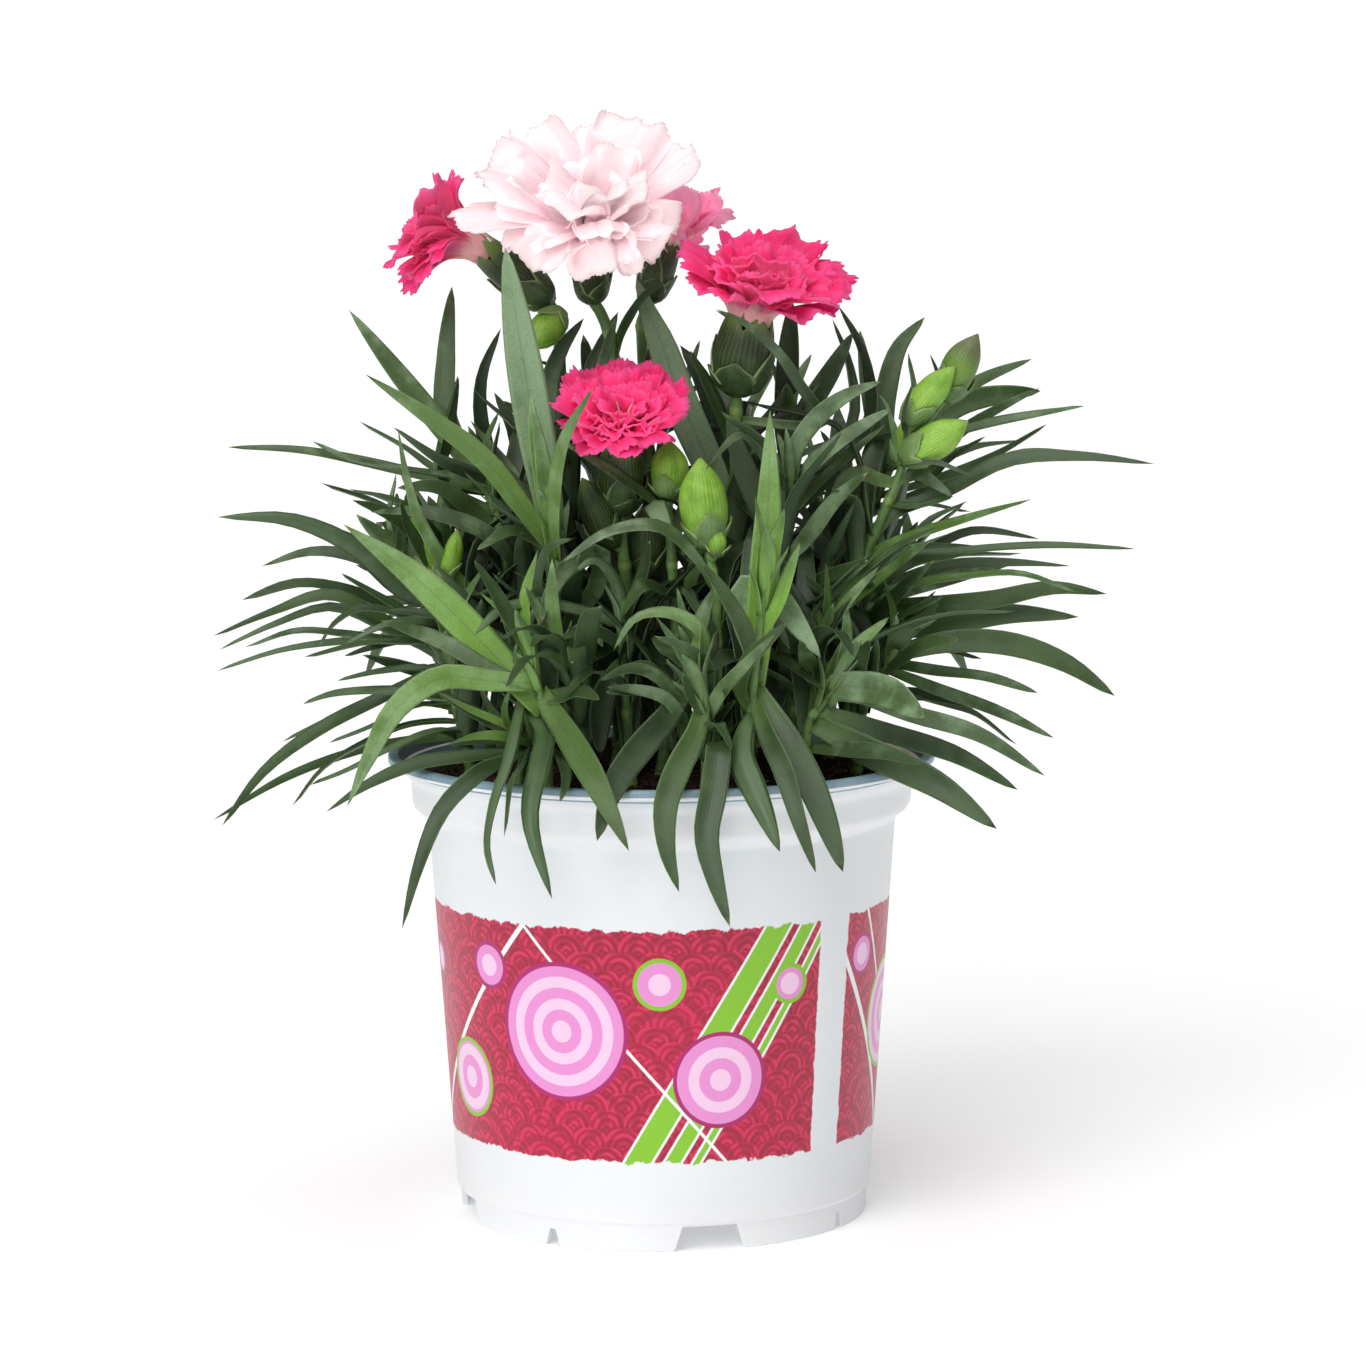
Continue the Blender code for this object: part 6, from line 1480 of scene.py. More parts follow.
class Signal:
    """What one output of a node gives, so that sums on it are written as sums."""

    def __init__(self, socket):
        self.socket = socket
        self.tree = socket.id_data

    def do(self, operation, other=0.0):
        """The result of an operation on this signal, alone or with a number or another signal."""
        return signal(self.tree, "ShaderNodeMath", {0: self, 1: other}, operation=operation)

    def ramp(self, low, high):
        """0 at low and 1 at high, smooth between."""
        return signal(self.tree, "ShaderNodeMapRange", {"Value": self, "From Min": low, "From Max": high},
                      interpolation_type="SMOOTHSTEP")

    def __add__(self, other):
        return self.do("ADD", other)

    def __sub__(self, other):
        return self.do("SUBTRACT", other)

    def __rsub__(self, other):
        return signal(self.tree, "ShaderNodeMath", {0: other, 1: self}, operation="SUBTRACT")

    def __mul__(self, other):
        return self.do("MULTIPLY", other)

    def __truediv__(self, other):
        return self.do("DIVIDE", other)


def feed(socket, value):
    """Links a signal to an input, or sets the input's own value."""
    if isinstance(value, Signal):
        socket.id_data.links.new(value.socket, socket)
    else:
        socket.default_value = value


def add_node(tree, kind, inputs=None, **settings):
    """A node with some settings; an input is a value or the signal that feeds it."""
    made = tree.nodes.new(kind)
    for name, value in settings.items():
        setattr(made, name, value)
    for name, value in (inputs or {}).items():
        feed(made.inputs[name], value)
    return made


def signal(tree, kind, inputs=None, output=0, **settings):
    """The signal of one output of a new node."""
    return Signal(add_node(tree, kind, inputs, **settings).outputs[output])


def blend(factor, first, second):
    """The colour between two, by a factor."""
    return signal(factor.tree, "ShaderNodeMix", {0: factor, 6: first, 7: second}, 2, data_type="RGBA")


def paint(colour, *layers):
    """A colour under some layers, each a mask, an amount and the layer's own colour."""
    for mask, amount, layer in layers:
        colour = blend(mask * amount, colour, layer)
    return colour


def new_group(name, kind, inputs, outputs):
    """A node group with named sockets, and the signals of its inputs."""
    group = bpy.data.node_groups.new(name, kind)
    for direction, labels in (("INPUT", inputs), ("OUTPUT", outputs)):
        for label in labels:
            socket_type = "NodeSocketGeometry" if label == "Geometry" else "NodeSocketFloat"
            group.interface.new_socket(name=label, in_out=direction, socket_type=socket_type)
    given = group.nodes.new("NodeGroupInput").outputs
    return group, {socket.name: Signal(socket) for socket in given if socket.name}


def mottle_group():
    """Soft patches and fine speckles on a surface, from the object's own coordinates."""
    group, given = new_group("mottle", "ShaderNodeTree", ("Patch scale", "Speckle scale", "Speckle amount"),
                             ("Patches", "Speckles", "Height"))
    place = signal(group, "ShaderNodeTexCoord", output="Object")
    patches = signal(group, "ShaderNodeTexNoise", {
        "Vector": place, "Scale": given["Patch scale"], "Detail": 3.0, "Roughness": 0.55})
    speckles = signal(group, "ShaderNodeTexNoise", {
        "Vector": place, "Scale": given["Speckle scale"], "Detail": 1.0})
    add_node(group, "NodeGroupOutput", {
        "Patches": patches.ramp(0.3, 0.7), "Speckles": speckles.ramp(0.57, 0.68) * given["Speckle amount"],
        "Height": patches * 0.6 + speckles})
    return group


def vein_group():
    """Fine lines along a blade, from its surface map: u runs across and v along."""
    group, given = new_group("veins", "ShaderNodeTree", ("Lines", "Waver", "Stretch"), ("Mask", "Height"))
    u, v = surface_parts(group)
    across = u * given["Lines"]
    stretched = signal(group, "ShaderNodeCombineXYZ", {"X": across, "Y": v * given["Stretch"]})
    streaks = signal(group, "ShaderNodeTexNoise", {"Vector": stretched, "Scale": 1.0, "Detail": 3.0})
    wave = ((across + (streaks - 0.5) * given["Waver"]) * FULL_TURN).do("SINE")
    add_node(group, "NodeGroupOutput", {
        "Mask": wave.ramp(0.2, 1.0) * streaks.ramp(0.3, 0.6), "Height": wave * 0.3 + streaks})
    return group


def use_group(tree, name, maker, inputs):
    """The signals of a shared group in a material, with its own values; the group is made once."""
    group = bpy.data.node_groups.get(name) or maker()
    made = add_node(tree, "ShaderNodeGroup", node_tree=group)
    for key, value in inputs.items():
        made.inputs[key].default_value = value
    return {socket.name: Signal(socket) for socket in made.outputs}


def mottled(tree, patch_scale, speckle_scale, amount=0.5):
    """The shared patches and speckles."""
    return use_group(tree, "mottle", mottle_group, {
        "Patch scale": patch_scale, "Speckle scale": speckle_scale, "Speckle amount": amount})


def veined(tree, lines, waver, stretch):
    """The shared fine lines."""
    return use_group(tree, "veins", vein_group, {"Lines": lines, "Waver": waver, "Stretch": stretch})


def tint_parts(tree):
    """The four values of the tint at each point."""
    tint = add_node(tree, "ShaderNodeAttribute", attribute_name="tint")
    parts = add_node(tree, "ShaderNodeSeparateColor", {0: Signal(tint.outputs["Color"])}).outputs
    return [Signal(socket) for socket in (*parts, tint.outputs["Alpha"])]


def surface_parts(tree):
    """The two coordinates of the surface map."""
    place = signal(tree, "ShaderNodeUVMap", uv_map="surface")
    parts = add_node(tree, "ShaderNodeSeparateXYZ", {0: place}).outputs
    return Signal(parts["X"]), Signal(parts["Y"])


# Materials

LEAF_FOOT = srgb(120, 155, 82)
LEAF_VEIN = srgb(48, 70, 40)
LEAF_SPECKLE = srgb(34, 48, 28)
LEAF_RIB = srgb(56, 80, 44)
LEAF_MARGIN = srgb(150, 172, 128)
LEAF_YELLOWED = srgb(178, 160, 84)
LEAF_UNDERSIDE = srgb(112, 138, 102)
STEM_COLOURS = (srgb(84, 118, 62), srgb(118, 152, 84))
STEM_JOINT = srgb(150, 180, 96)
STEM_SPECKLE = srgb(50, 74, 40)
BUD_LIME = (srgb(120, 172, 48), srgb(158, 204, 78))
# CALYX_DARK: the dark green of unripe buds, and painted shade on the calyces.
CALYX_DARK = (srgb(26, 40, 16), srgb(52, 72, 28))
SEPAL_VEINS = (srgb(120, 150, 60), srgb(84, 130, 52))
SEPAL_TOP = srgb(150, 182, 92)
SEPAL_BLUSH = srgb(118, 104, 92)
SEPAL_SPECKLE = srgb(46, 66, 36)
BRACT_COLOURS = (srgb(84, 112, 66), srgb(118, 144, 96))
# BRACT_DARK: dark bracts of unripe buds, and painted shade on the calyx bracts.
BRACT_DARK = (srgb(42, 60, 30), srgb(66, 90, 46))
BRACT_RIPE = srgb(140, 178, 88)
BRACT_EDGE = srgb(170, 190, 130)
PETAL_CLAW = srgb(226, 232, 190)
PETAL_GLOW = (1.0, 0.85, 0.88)
SOIL_SHADOW = srgb(18, 13, 10)
GREEN_GLOW = (0.4, 0.9, 0.2)
SEPAL_GLOW = (0.5, 1.0, 0.2)


def new_material(name):
    """An empty node material, its tree and the shader that fills it."""
    material = bpy.data.materials.new(name)
    material.use_nodes = True
    tree = material.node_tree
    shader = next(entry for entry in tree.nodes if entry.type == "BSDF_PRINCIPLED")
    return material, tree, shader


def dress(shader, colour, roughness, height=None, distance=0.0002, strength=0.5):
    """Feeds the shader: colour, roughness and bump."""
    feed(shader.inputs["Base Color"], colour)
    feed(shader.inputs["Roughness"], roughness)
    if height is not None:
        bump = {"Height": height, "Distance": distance, "Strength": strength}
        feed(shader.inputs["Normal"], signal(shader.id_data, "ShaderNodeBump", bump))


def soften(shader, weight, depth, radius=None):
    """Lets light pass under the surface."""
    shader.inputs["Subsurface Weight"].default_value = weight
    shader.inputs["Subsurface Scale"].default_value = depth
    if radius:
        shader.inputs["Subsurface Radius"].default_value = radius


def leaf_material():
    """Blue-green blades: waxy patches, fine lines, dark speckles, pale margins and bright new leaves; each
    leaf's tone paints its light and shade.
    """
    settings = bpy.context.scene.carnation_leaves
    material, tree, shader = new_material("leaf")
    tone, youth, chance, under = tint_parts(tree)
    u, v = surface_parts(tree)
    mottle = mottled(tree, 130.0, 2600.0)
    veins = veined(tree, 9.0, 0.5, 3.0)
    shifted = tone + (mottle["Patches"] - 0.5) * 0.34
    side = (u - 0.5).do("ABSOLUTE")
    # The tone blends from painted shade (dark) through middle to waxy, which stands in part for painted
    # highlight.
    colour = blend(shifted.ramp(0.0, 0.5), settings.dark, settings.middle)
    colour = blend(shifted.ramp(0.48, 0.95), colour, settings.waxy)
    colour = blend(youth * v.ramp(1.4, 0.2), colour, settings.young)
    colour = paint(
        colour,
        (v.ramp(0.3, 0.0), 0.5, LEAF_FOOT),
        (veins["Mask"], 0.07, LEAF_VEIN),
        (mottle["Speckles"], 0.6, LEAF_SPECKLE),
        (side.ramp(0.07, 0.0), 0.22, LEAF_RIB),
        (side.ramp(0.45, 0.5), 0.7, LEAF_MARGIN),
        (v.ramp(0.955, 1.0) * chance.ramp(0.78, 0.92), 0.8, LEAF_YELLOWED),
        (under, 0.3, LEAF_UNDERSIDE))
    roughness = mottle["Patches"] * 0.16 + 0.4
    dress(shader, colour, roughness, veins["Height"] * 0.3 + mottle["Height"] * 0.5, 0.0002, 0.3)
    soften(shader, 0.06, 0.0015, GREEN_GLOW)
    return material


def stem_material():
    """Stems: light green with a grey bloom and paler joints."""
    material, tree, shader = new_material("stem")
    mottle = mottled(tree, 160.0, 2200.0)
    veins = veined(tree, 8.0, 0.4, 60.0)
    _, along = surface_parts(tree)
    joint = (along * (FULL_TURN / NODE_SPACING)).do("COSINE").ramp(0.9, 1.0)
    colour = paint(blend(mottle["Patches"], *STEM_COLOURS), (joint, 0.6, STEM_JOINT),
                   (mottle["Speckles"], 0.3, STEM_SPECKLE))
    dress(shader, colour, 0.5, veins["Height"], 0.0002, 0.35)
    return material


def sepal_material():
    """Buds and calyces: lime to dark green with fine lines, grey-green bracts and pale edges; the calyces'
    dark green is painted shade.
    """
    material, tree, shader = new_material("sepal")
    ripeness, bract, _, _ = tint_parts(tree)
    u, v = surface_parts(tree)
    mottle = mottled(tree, 220.0, 2400.0)
    veins = veined(tree, 7.0, 0.8, 3.0)
    patches = mottle["Patches"]
    half_ripe = ripeness.ramp(0.3, 0.4) * ripeness.ramp(0.6, 0.5)
    body = paint(
        # Low ripeness gives dark green: unripe buds, and painted shade on the calyces.
        blend(ripeness.ramp(0.1, 0.9), blend(patches, *CALYX_DARK), blend(patches, *BUD_LIME)),
        (veins["Mask"], 0.24, blend(ripeness, *SEPAL_VEINS)),
        (v.ramp(0.78, 1.12), 0.5, SEPAL_TOP),
        (v.ramp(0.5, 0.85) * half_ripe, 0.6, SEPAL_BLUSH))
    cover = paint(
        blend(ripeness.ramp(0.05, 0.4), blend(patches, *BRACT_DARK), blend(patches, *BRACT_COLOURS)),
        (ripeness.ramp(0.45, 0.9), 0.35, BRACT_RIPE),
        ((u - 0.5).do("ABSOLUTE").ramp(0.36, 0.5), 0.6, BRACT_EDGE))
    colour = paint(blend(bract, body, cover), (mottle["Speckles"], 0.3, SEPAL_SPECKLE))
    dress(shader, colour, 0.46, veins["Height"], 0.00025, 0.5)
    soften(shader, 0.08, 0.002, SEPAL_GLOW)
    return material


def petal_material(name, deep, middle, rim, vein, soft, translucence, depth):
    """Petals: a lime-white claw, a deep throat, a lighter rim and fine streaks."""
    material, tree, shader = new_material(name)
    reach, layer, chance, under = tint_parts(tree)
    mottle = mottled(tree, 260.0, 3000.0)
    veins = veined(tree, 420.0, 1.4, 160.0)
    lighter = ((chance - 0.5) * 0.3).do("MAXIMUM", 0.0)
    colour = paint(
        blend(reach.ramp(0.3, 0.8), deep, middle),
        (reach.ramp(0.8, 1.0), 0.7, rim),
        (veins["Mask"], 0.3, vein),
        (mottle["Patches"], 0.22, rim),
        (reach.ramp(0.42, 0.18), 1.0, PETAL_CLAW),
        (under, 0.6, soft),
        (lighter, 1.0, rim))
    dress(shader, colour, 0.72 - layer * 0.1, veins["Height"], 0.0003, 0.5)
    shader.inputs["Specular IOR Level"].default_value = 0.3
    shader.inputs["Sheen Weight"].default_value = 0.05
    shader.subsurface_method = "BURLEY"
    soften(shader, translucence, depth, PETAL_GLOW)
    return material


def lip_material():
    """The blue-grey plastic of the lip and the inside."""
    material, tree, shader = new_material("pot_lip")
    mottle = mottled(tree, 60.0, 1200.0)
    colour = paint(bpy.context.scene.carnation_pot.inside, (mottle["Patches"], 0.5, srgb(160, 184, 194)),
                   (mottle["Speckles"], 0.25, srgb(70, 60, 52)))
    dress(shader, colour, 0.4, mottle["Height"], 0.00008, 0.3)
    return material


def soil_material(name, colour, lighter, patch_scale, roughness=0.95):
    """Soil, coir and grit: a matt mottled surface."""
    material, tree, shader = new_material(name)
    mottle = mottled(tree, patch_scale, 2400.0, 0.8)
    mixed = blend(mottle["Speckles"], blend(mottle["Patches"], colour, lighter), SOIL_SHADOW)
    dress(shader, mixed, roughness, mottle["Height"], 0.0006, 0.9)
    return material


# The print round the pot, in metres

PRINT_REPEATS = 2
PRINT_START = 138.0 / 360.0
PRINT_RADIUS = 0.0535
HALF_ROUND = FULL_TURN * PRINT_RADIUS / PRINT_REPEATS
GAP_HALF = 0.005
EDGE_RAGGED = 0.004
EDGE_BLUR = 0.0002
BAR_BLUR = 0.00015
DISC_BLUR = 0.0001
PATTERN_WAVER = 0.0025
SMALL_SCALLOP = 0.0084
LARGE_SCALLOP = 0.021
LARGE_SHIFT = (0.0031, 0.0017)
SCALLOP_RINGS = 5.2
# Discs: place round the pot, height and radius
DISCS = ((0.0985, 0.052, 0.0165), (0.0665, 0.037, 0.0095), (0.137, 0.041, 0.0115),
         (0.1225, 0.064, 0.0062), (0.0775, 0.0655, 0.0058), (0.031, 0.049, 0.0135), (0.012, 0.066, 0.0052),
         (0.1545, 0.0625, 0.0048), (0.0495, 0.063, 0.0045))
DISC_RINGS = 0.0052
DISC_RIM = (0.0012, 0.0009)
# Bars: place round the pot at its foot, slope and half width
BARS = ((0.1035, 0.62, 0.0032), (0.112, 0.62, 0.0019), (0.118, 0.62, 0.0008))
BAR_OUTLINE = 0.0007
LINES = ((0.052, -0.5, 0.0005), (0.0455, -0.62, 0.0009), (0.158, -0.9, 0.0005), (0.024, 0.85, 0.0008))
GROUND_SECOND = srgb(198, 14, 66)
SCALLOP_DARK = srgb(150, 8, 44)
PRINT_WHITE = srgb(250, 250, 250)
DISC_PALE = srgb(252, 208, 236)
DISC_EDGE = srgb(178, 22, 112)
SHELL_SHADE = srgb(226, 229, 233)


def hypotenuse(x, y):
    """The distance that lies a way across and a way up."""
    return (x * x + y * y).do("SQRT")


def scallops(x, y, size):
    """A fish-scale pattern: 1 on the rims of the scales."""
    rows = y / (size * 0.5)
    odd = rows.do("FLOOR").do("MODULO", 2.0) * 0.5
    across = (x / size + odd).do("FRACT") - 0.5
    rings = (hypotenuse(across, rows.do("FRACT") * 0.5) * SCALLOP_RINGS).do("FRACT")
    return rings.ramp(0.38, 0.5) * rings.ramp(1.0, 0.88)


def slanted_bar(x, y, foot, slope, half_width):
    """1 inside a straight slanted bar that crosses the band."""
    away = (x - (y * slope + foot)).do("ABSOLUTE")
    return away.ramp(half_width + BAR_BLUR, half_width - BAR_BLUR)


def printed_band(x, y, wavy_x, wavy_y, patches, settings):
    """The colours of the printed band: scallops under bars, lines and ringed discs."""
    large = scallops(wavy_x + LARGE_SHIFT[0], wavy_y + LARGE_SHIFT[1], LARGE_SCALLOP)
    colour = blend(patches, settings.ground, GROUND_SECOND)
    colour = blend(scallops(wavy_x, wavy_y, SMALL_SCALLOP), colour, settings.pattern)
    colour = blend(large * 0.55, colour, SCALLOP_DARK)
    for foot, slope, half_width in BARS:
        colour = blend(slanted_bar(x, y, foot, slope, half_width + BAR_OUTLINE), colour, PRINT_WHITE)
        colour = blend(slanted_bar(x, y, foot, slope, half_width), colour, settings.accent)
    for foot, slope, half_width in LINES:
        colour = blend(slanted_bar(x, y, foot, slope, half_width), colour, PRINT_WHITE)
    for index, (disc_x, disc_y, radius) in enumerate(DISCS):
        away = hypotenuse(x - disc_x, y - disc_y)
        tone = (away * (FULL_TURN / DISC_RINGS)).do("SINE").ramp(-0.15, 0.15)
        fill = blend(tone, settings.disc, DISC_PALE)
        rim = away.ramp(radius - DISC_RIM[0], radius - DISC_RIM[1])
        fill = blend(rim, fill, DISC_EDGE if index % 2 == 0 else settings.accent)
        colour = blend(away.ramp(radius + DISC_BLUR, radius - DISC_BLUR), colour, fill)
    return colour


def shell_material():
    """The pot's white outside with its printed band."""
    settings = bpy.context.scene.carnation_pot
    material, tree, shader = new_material("pot_shell")
    turn, height = surface_parts(tree)
    mottle = mottled(tree, 30.0, 900.0)
    place = signal(tree, "ShaderNodeTexCoord", output="Object")
    rough = signal(tree, "ShaderNodeTexNoise", {
        "Vector": place, "Scale": 300.0, "Detail": 4.0, "Roughness": 0.6})
    ragged = (rough - 0.5) * EDGE_RAGGED
    x = ((turn + (1.0 - PRINT_START)).do("FRACT") * float(PRINT_REPEATS)).do("FRACT") * HALF_ROUND
    edge = x.do("MINIMUM", HALF_ROUND - x)
    top = (height + ragged).ramp(settings.band_high + EDGE_BLUR, settings.band_high - EDGE_BLUR)
    foot = (height + ragged).ramp(settings.band_low - EDGE_BLUR, settings.band_low + EDGE_BLUR)
    beside = (edge + ragged * 0.4).ramp(GAP_HALF - EDGE_BLUR, GAP_HALF + EDGE_BLUR)
    band = top * foot * beside
    swell = signal(tree, "ShaderNodeTexNoise", {"Vector": place, "Scale": 70.0, "Detail": 2.0})
    waver = (swell - 0.5) * PATTERN_WAVER
    colours = printed_band(x, height, x + waver, height + waver, mottle["Patches"], settings)
    colour = blend(band, blend(mottle["Patches"] * 0.25, settings.shell, SHELL_SHADE), colours)
    roughness = mottle["Patches"] * 0.08 + 0.3
    dress(shader, colour, roughness, mottle["Height"] + band, 0.00006, 0.2)
    soften(shader, 0.2, 0.003)
    return material


# The soil's surface and its litter

# Distance from the axis and height, in millimetres
SOIL_PROFILE = ((0.0, 107.6), (28.0, 107.2), (48.0, 105.8), (57.2, 104.3))
SOIL_RINGS = 34
SOIL_SIDES = 120
SOIL_UNDERSIDE = 99.4
# Lumps: how many to a metre, and height in metres
SOIL_LUMPS = ((160.0, 0.0016), (480.0, 0.0009))
SOIL_CALM_EDGE = 4.0
LITTER_RADIUS = 0.053
LITTER_LEAST_RISE = 0.4
FIBRE_RADIUS = 0.00016
FIBRE_STEPS = 6
FIBRE_SIDES = 4
GRAIN_RADIUS = 0.0009


def soil_height(radius):
    """Height of the soil in millimetres at a distance from the axis."""
    for (near, high), (far, low) in zip(SOIL_PROFILE, SOIL_PROFILE[1:]):
        if radius <= far:
            return high + (low - high) * (radius - near) / (far - near)
    return SOIL_PROFILE[-1][1]


def soil_surface(material):
    """The lumpy soil as a closed form that fills the top of the pot."""
    batch = Batch()
    verts = [from_axis(0.0, 0.0, soil_height(0.0))]
    edge = SOIL_PROFILE[-1][0]
    for ring in range(1, SOIL_RINGS + 1):
        radius = edge * ring / SOIL_RINGS
        for side in range(SOIL_SIDES):
            angle = FULL_TURN * side / SOIL_SIDES
            point = from_axis(radius * math.cos(angle), radius * math.sin(angle), soil_height(radius))
            lump = sum(noise.noise(point * count) * height for count, height in SOIL_LUMPS)
            point.z += lump * min(1.0, (edge - radius) / SOIL_CALM_EDGE + 0.2)
            verts.append(point)
    for side in range(SOIL_SIDES):
        angle = FULL_TURN * side / SOIL_SIDES
        verts.append(from_axis(edge * math.cos(angle), edge * math.sin(angle), SOIL_UNDERSIDE))
    faces = [(0, 1 + side, 1 + (side + 1) % SOIL_SIDES) for side in range(SOIL_SIDES)]
    for ring in range(SOIL_RINGS):
        start = 1 + ring * SOIL_SIDES
        beyond = start + SOIL_SIDES
        for side in range(SOIL_SIDES):
            after = (side + 1) % SOIL_SIDES
            faces.append((start + side, beyond + side, beyond + after, start + after))
    base = 1 + SOIL_RINGS * SOIL_SIDES
    faces.append(tuple(base + side for side in reversed(range(SOIL_SIDES))))
    batch.add(verts, faces, [(point.x, point.y) for point in verts], NO_TINT)
    return batch.piece("soil_bed", [material])


def scatter(ground, shape, density, seed, low, high, flat):
    """Instances of a shape strewn over the top of a ground, with chance turns and sizes."""
    tree = ground.tree
    rising = signal(tree, "ShaderNodeSeparateXYZ", {0: signal(tree, "GeometryNodeInputNormal")}, "Z")
    topside = signal(tree, "FunctionNodeCompare", {0: rising, 1: LITTER_LEAST_RISE},
                     operation="GREATER_THAN")
    away = signal(tree, "ShaderNodeVectorMath",
                  {0: signal(tree, "GeometryNodeInputPosition"), 1: POT_AXIS}, operation="SUBTRACT")
    level = signal(tree, "ShaderNodeVectorMath", {0: away, 1: (1.0, 1.0, 0.0)}, operation="MULTIPLY")
    distance = signal(tree, "ShaderNodeVectorMath", {0: level}, "Value", operation="LENGTH")
    within = signal(tree, "FunctionNodeCompare", {0: distance, 1: LITTER_RADIUS}, operation="LESS_THAN")
    both = signal(tree, "FunctionNodeBooleanMath", {0: topside, 1: within}, operation="AND")
    points = signal(tree, "GeometryNodeDistributePointsOnFaces", {
        "Mesh": ground, "Density": density, "Seed": seed, "Selection": both}, distribute_method="RANDOM")
    turn_low = (-0.5, -0.5, 0.0) if flat else (0.0, 0.0, 0.0)
    turn_high = (0.5, 0.5, ANY_TURN) if flat else (ANY_TURN, ANY_TURN, ANY_TURN)
    turns = signal(tree, "FunctionNodeRandomValue", {0: turn_low, 1: turn_high, "Seed": seed + 1},
                   data_type="FLOAT_VECTOR")
    sizes = signal(tree, "FunctionNodeRandomValue", {0: low, 1: high, "Seed": seed + 2},
                   data_type="FLOAT_VECTOR")
    return signal(tree, "GeometryNodeInstanceOnPoints", {
        "Points": points, "Instance": shape, "Rotation": turns, "Scale": sizes})


def strand(length):
    """A bowed coir fibre of a given length."""
    tree = length.tree
    arc = signal(tree, "GeometryNodeCurveQuadraticBezier", {
        "Resolution": FIBRE_STEPS, "Start": signal(tree, "ShaderNodeCombineXYZ", {"X": length * -0.5}),
        "Middle": signal(tree, "ShaderNodeCombineXYZ", {"Y": length * 0.3, "Z": length * 0.16}),
        "End": signal(tree, "ShaderNodeCombineXYZ", {"X": length * 0.5})})
    section = signal(tree, "GeometryNodeCurvePrimitiveCircle", {
        "Resolution": FIBRE_SIDES, "Radius": FIBRE_RADIUS})
    return signal(tree, "GeometryNodeCurveToMesh", {
        "Curve": arc, "Profile Curve": section, "Fill Caps": True})


def litter_tree(values, crumb, fibre, grit):
    """The node tree that strews crumbs, coir fibres and grit over the soil."""
    tree, given = new_group("soil_litter", "GeometryNodeTree", ("Geometry", *values), ("Geometry",))
    ground = given["Geometry"]
    lump = signal(tree, "GeometryNodeMeshIcoSphere", {"Radius": given["Crumb size"], "Subdivisions": 1})
    grain = signal(tree, "GeometryNodeMeshIcoSphere", {"Radius": GRAIN_RADIUS, "Subdivisions": 1})
    join = tree.nodes.new("GeometryNodeJoinGeometry")
    for shape, density, seed, low, high, flat, material in (
            (lump, "Crumb density", SEED, (0.4, 0.4, 0.3), (1.35, 1.2, 0.9), False, crumb),
            (strand(given["Fibre length"]), "Fibre density", SEED + 10, (0.35, 0.4, 0.5), (1.3, 1.2, 1.2),
             True, fibre),
            (grain, "Grit density", SEED + 20, (0.5, 0.5, 0.4), (1.2, 1.2, 1.0), False, grit)):
        strewn = scatter(ground, shape, given[density], seed, low, high, flat)
        real = signal(tree, "GeometryNodeRealizeInstances", {"Geometry": strewn})
        dressed = signal(tree, "GeometryNodeSetMaterial", {"Geometry": real, "Material": material})
        feed(join.inputs[0], dressed)
    add_node(tree, "NodeGroupOutput", {0: Signal(join.outputs[0])})
    return tree


# Operators

class CARNATION_OT_build_pot(bpy.types.Operator):
    """Turns the pot, cuts its drainage notches and prints its band"""
    bl_idname = "carnation.build_pot"
    bl_label = "Build the pot"

    def execute(self, context):
        batch = turned(rounded(POT_CORNERS), context.scene.carnation_pot.sides)
        pot = batch.piece("pot_body", [shell_material(), lip_material()])
        face_outward(pot)
        cutters = []
        for quarter in range(4):
            turn = FIRST_NOTCH_TURN + 90 * quarter
            width = NOTCH_WIDTHS[quarter % 2]
            cutters.append(box_cutter("notch", turn, width, NOTCH_HEIGHT, NOTCH_NARROWING))
            cutters.append(box_cutter("nick", turn + 45, NICK_WIDTH, NICK_HEIGHT, NICK_NARROWING))
        cut(pot, cutters)
        for face in pot.data.polygons:
            centre = face.center - POT_AXIS
            outward = Vector((centre.x, centre.y, 0.0)).normalized()
            is_lip = centre.z > LIP_FOOT * MM
            is_inside = face.normal.dot(outward) < FACES_INWARD and centre.z > INSIDE_FLOOR * MM
            face.material_index = 1 if is_lip or is_inside else 0
        pot.data.set_sharp_from_angle(angle=math.radians(SHARP_DEGREES))
        hand_over(pot, "pot", "pot")
        return {"FINISHED"}


class CARNATION_OT_build_soil(bpy.types.Operator):
    """Fills the pot with lumpy soil and strews crumbs, coir fibres and grit over it"""
    bl_idname = "carnation.build_soil"
    bl_label = "Build the soil"

    def execute(self, context):
        settings = context.scene.carnation_soil
        bed = soil_surface(soil_material("soil_peat", settings.peat, srgb(58, 42, 30), 300.0))
        crumb = soil_material("soil_crumb", settings.peat, srgb(70, 50, 36), 500.0)
        fibre = soil_material("soil_fibre", settings.fibre, srgb(128, 78, 52), 400.0, 0.8)
        grit = soil_material("soil_grit", srgb(150, 140, 122), srgb(196, 188, 172), 600.0)
        values = {"Crumb size": settings.crumb_size, "Crumb density": settings.crumb_density,
                  "Fibre length": settings.fibre_length, "Fibre density": settings.fibre_density,
                  "Grit density": settings.grit_density}
        litter = new_object("soil_litter", bed.data.copy())
        modifier = litter.modifiers.new("litter", "NODES")
        modifier.node_group = litter_tree(values, crumb, fibre, grit)
        for item in modifier.node_group.interface.items_tree:
            if item.in_out == "INPUT" and item.name in values:
                modifier[item.identifier] = values[item.name]
        settle(litter)
        if not litter.data.vertices:
            raise RuntimeError("No crumbs were strewn on the soil.")
        hand_over(bed, "soil", "soil")
        hand_over(litter, "soil")
        return {"FINISHED"}


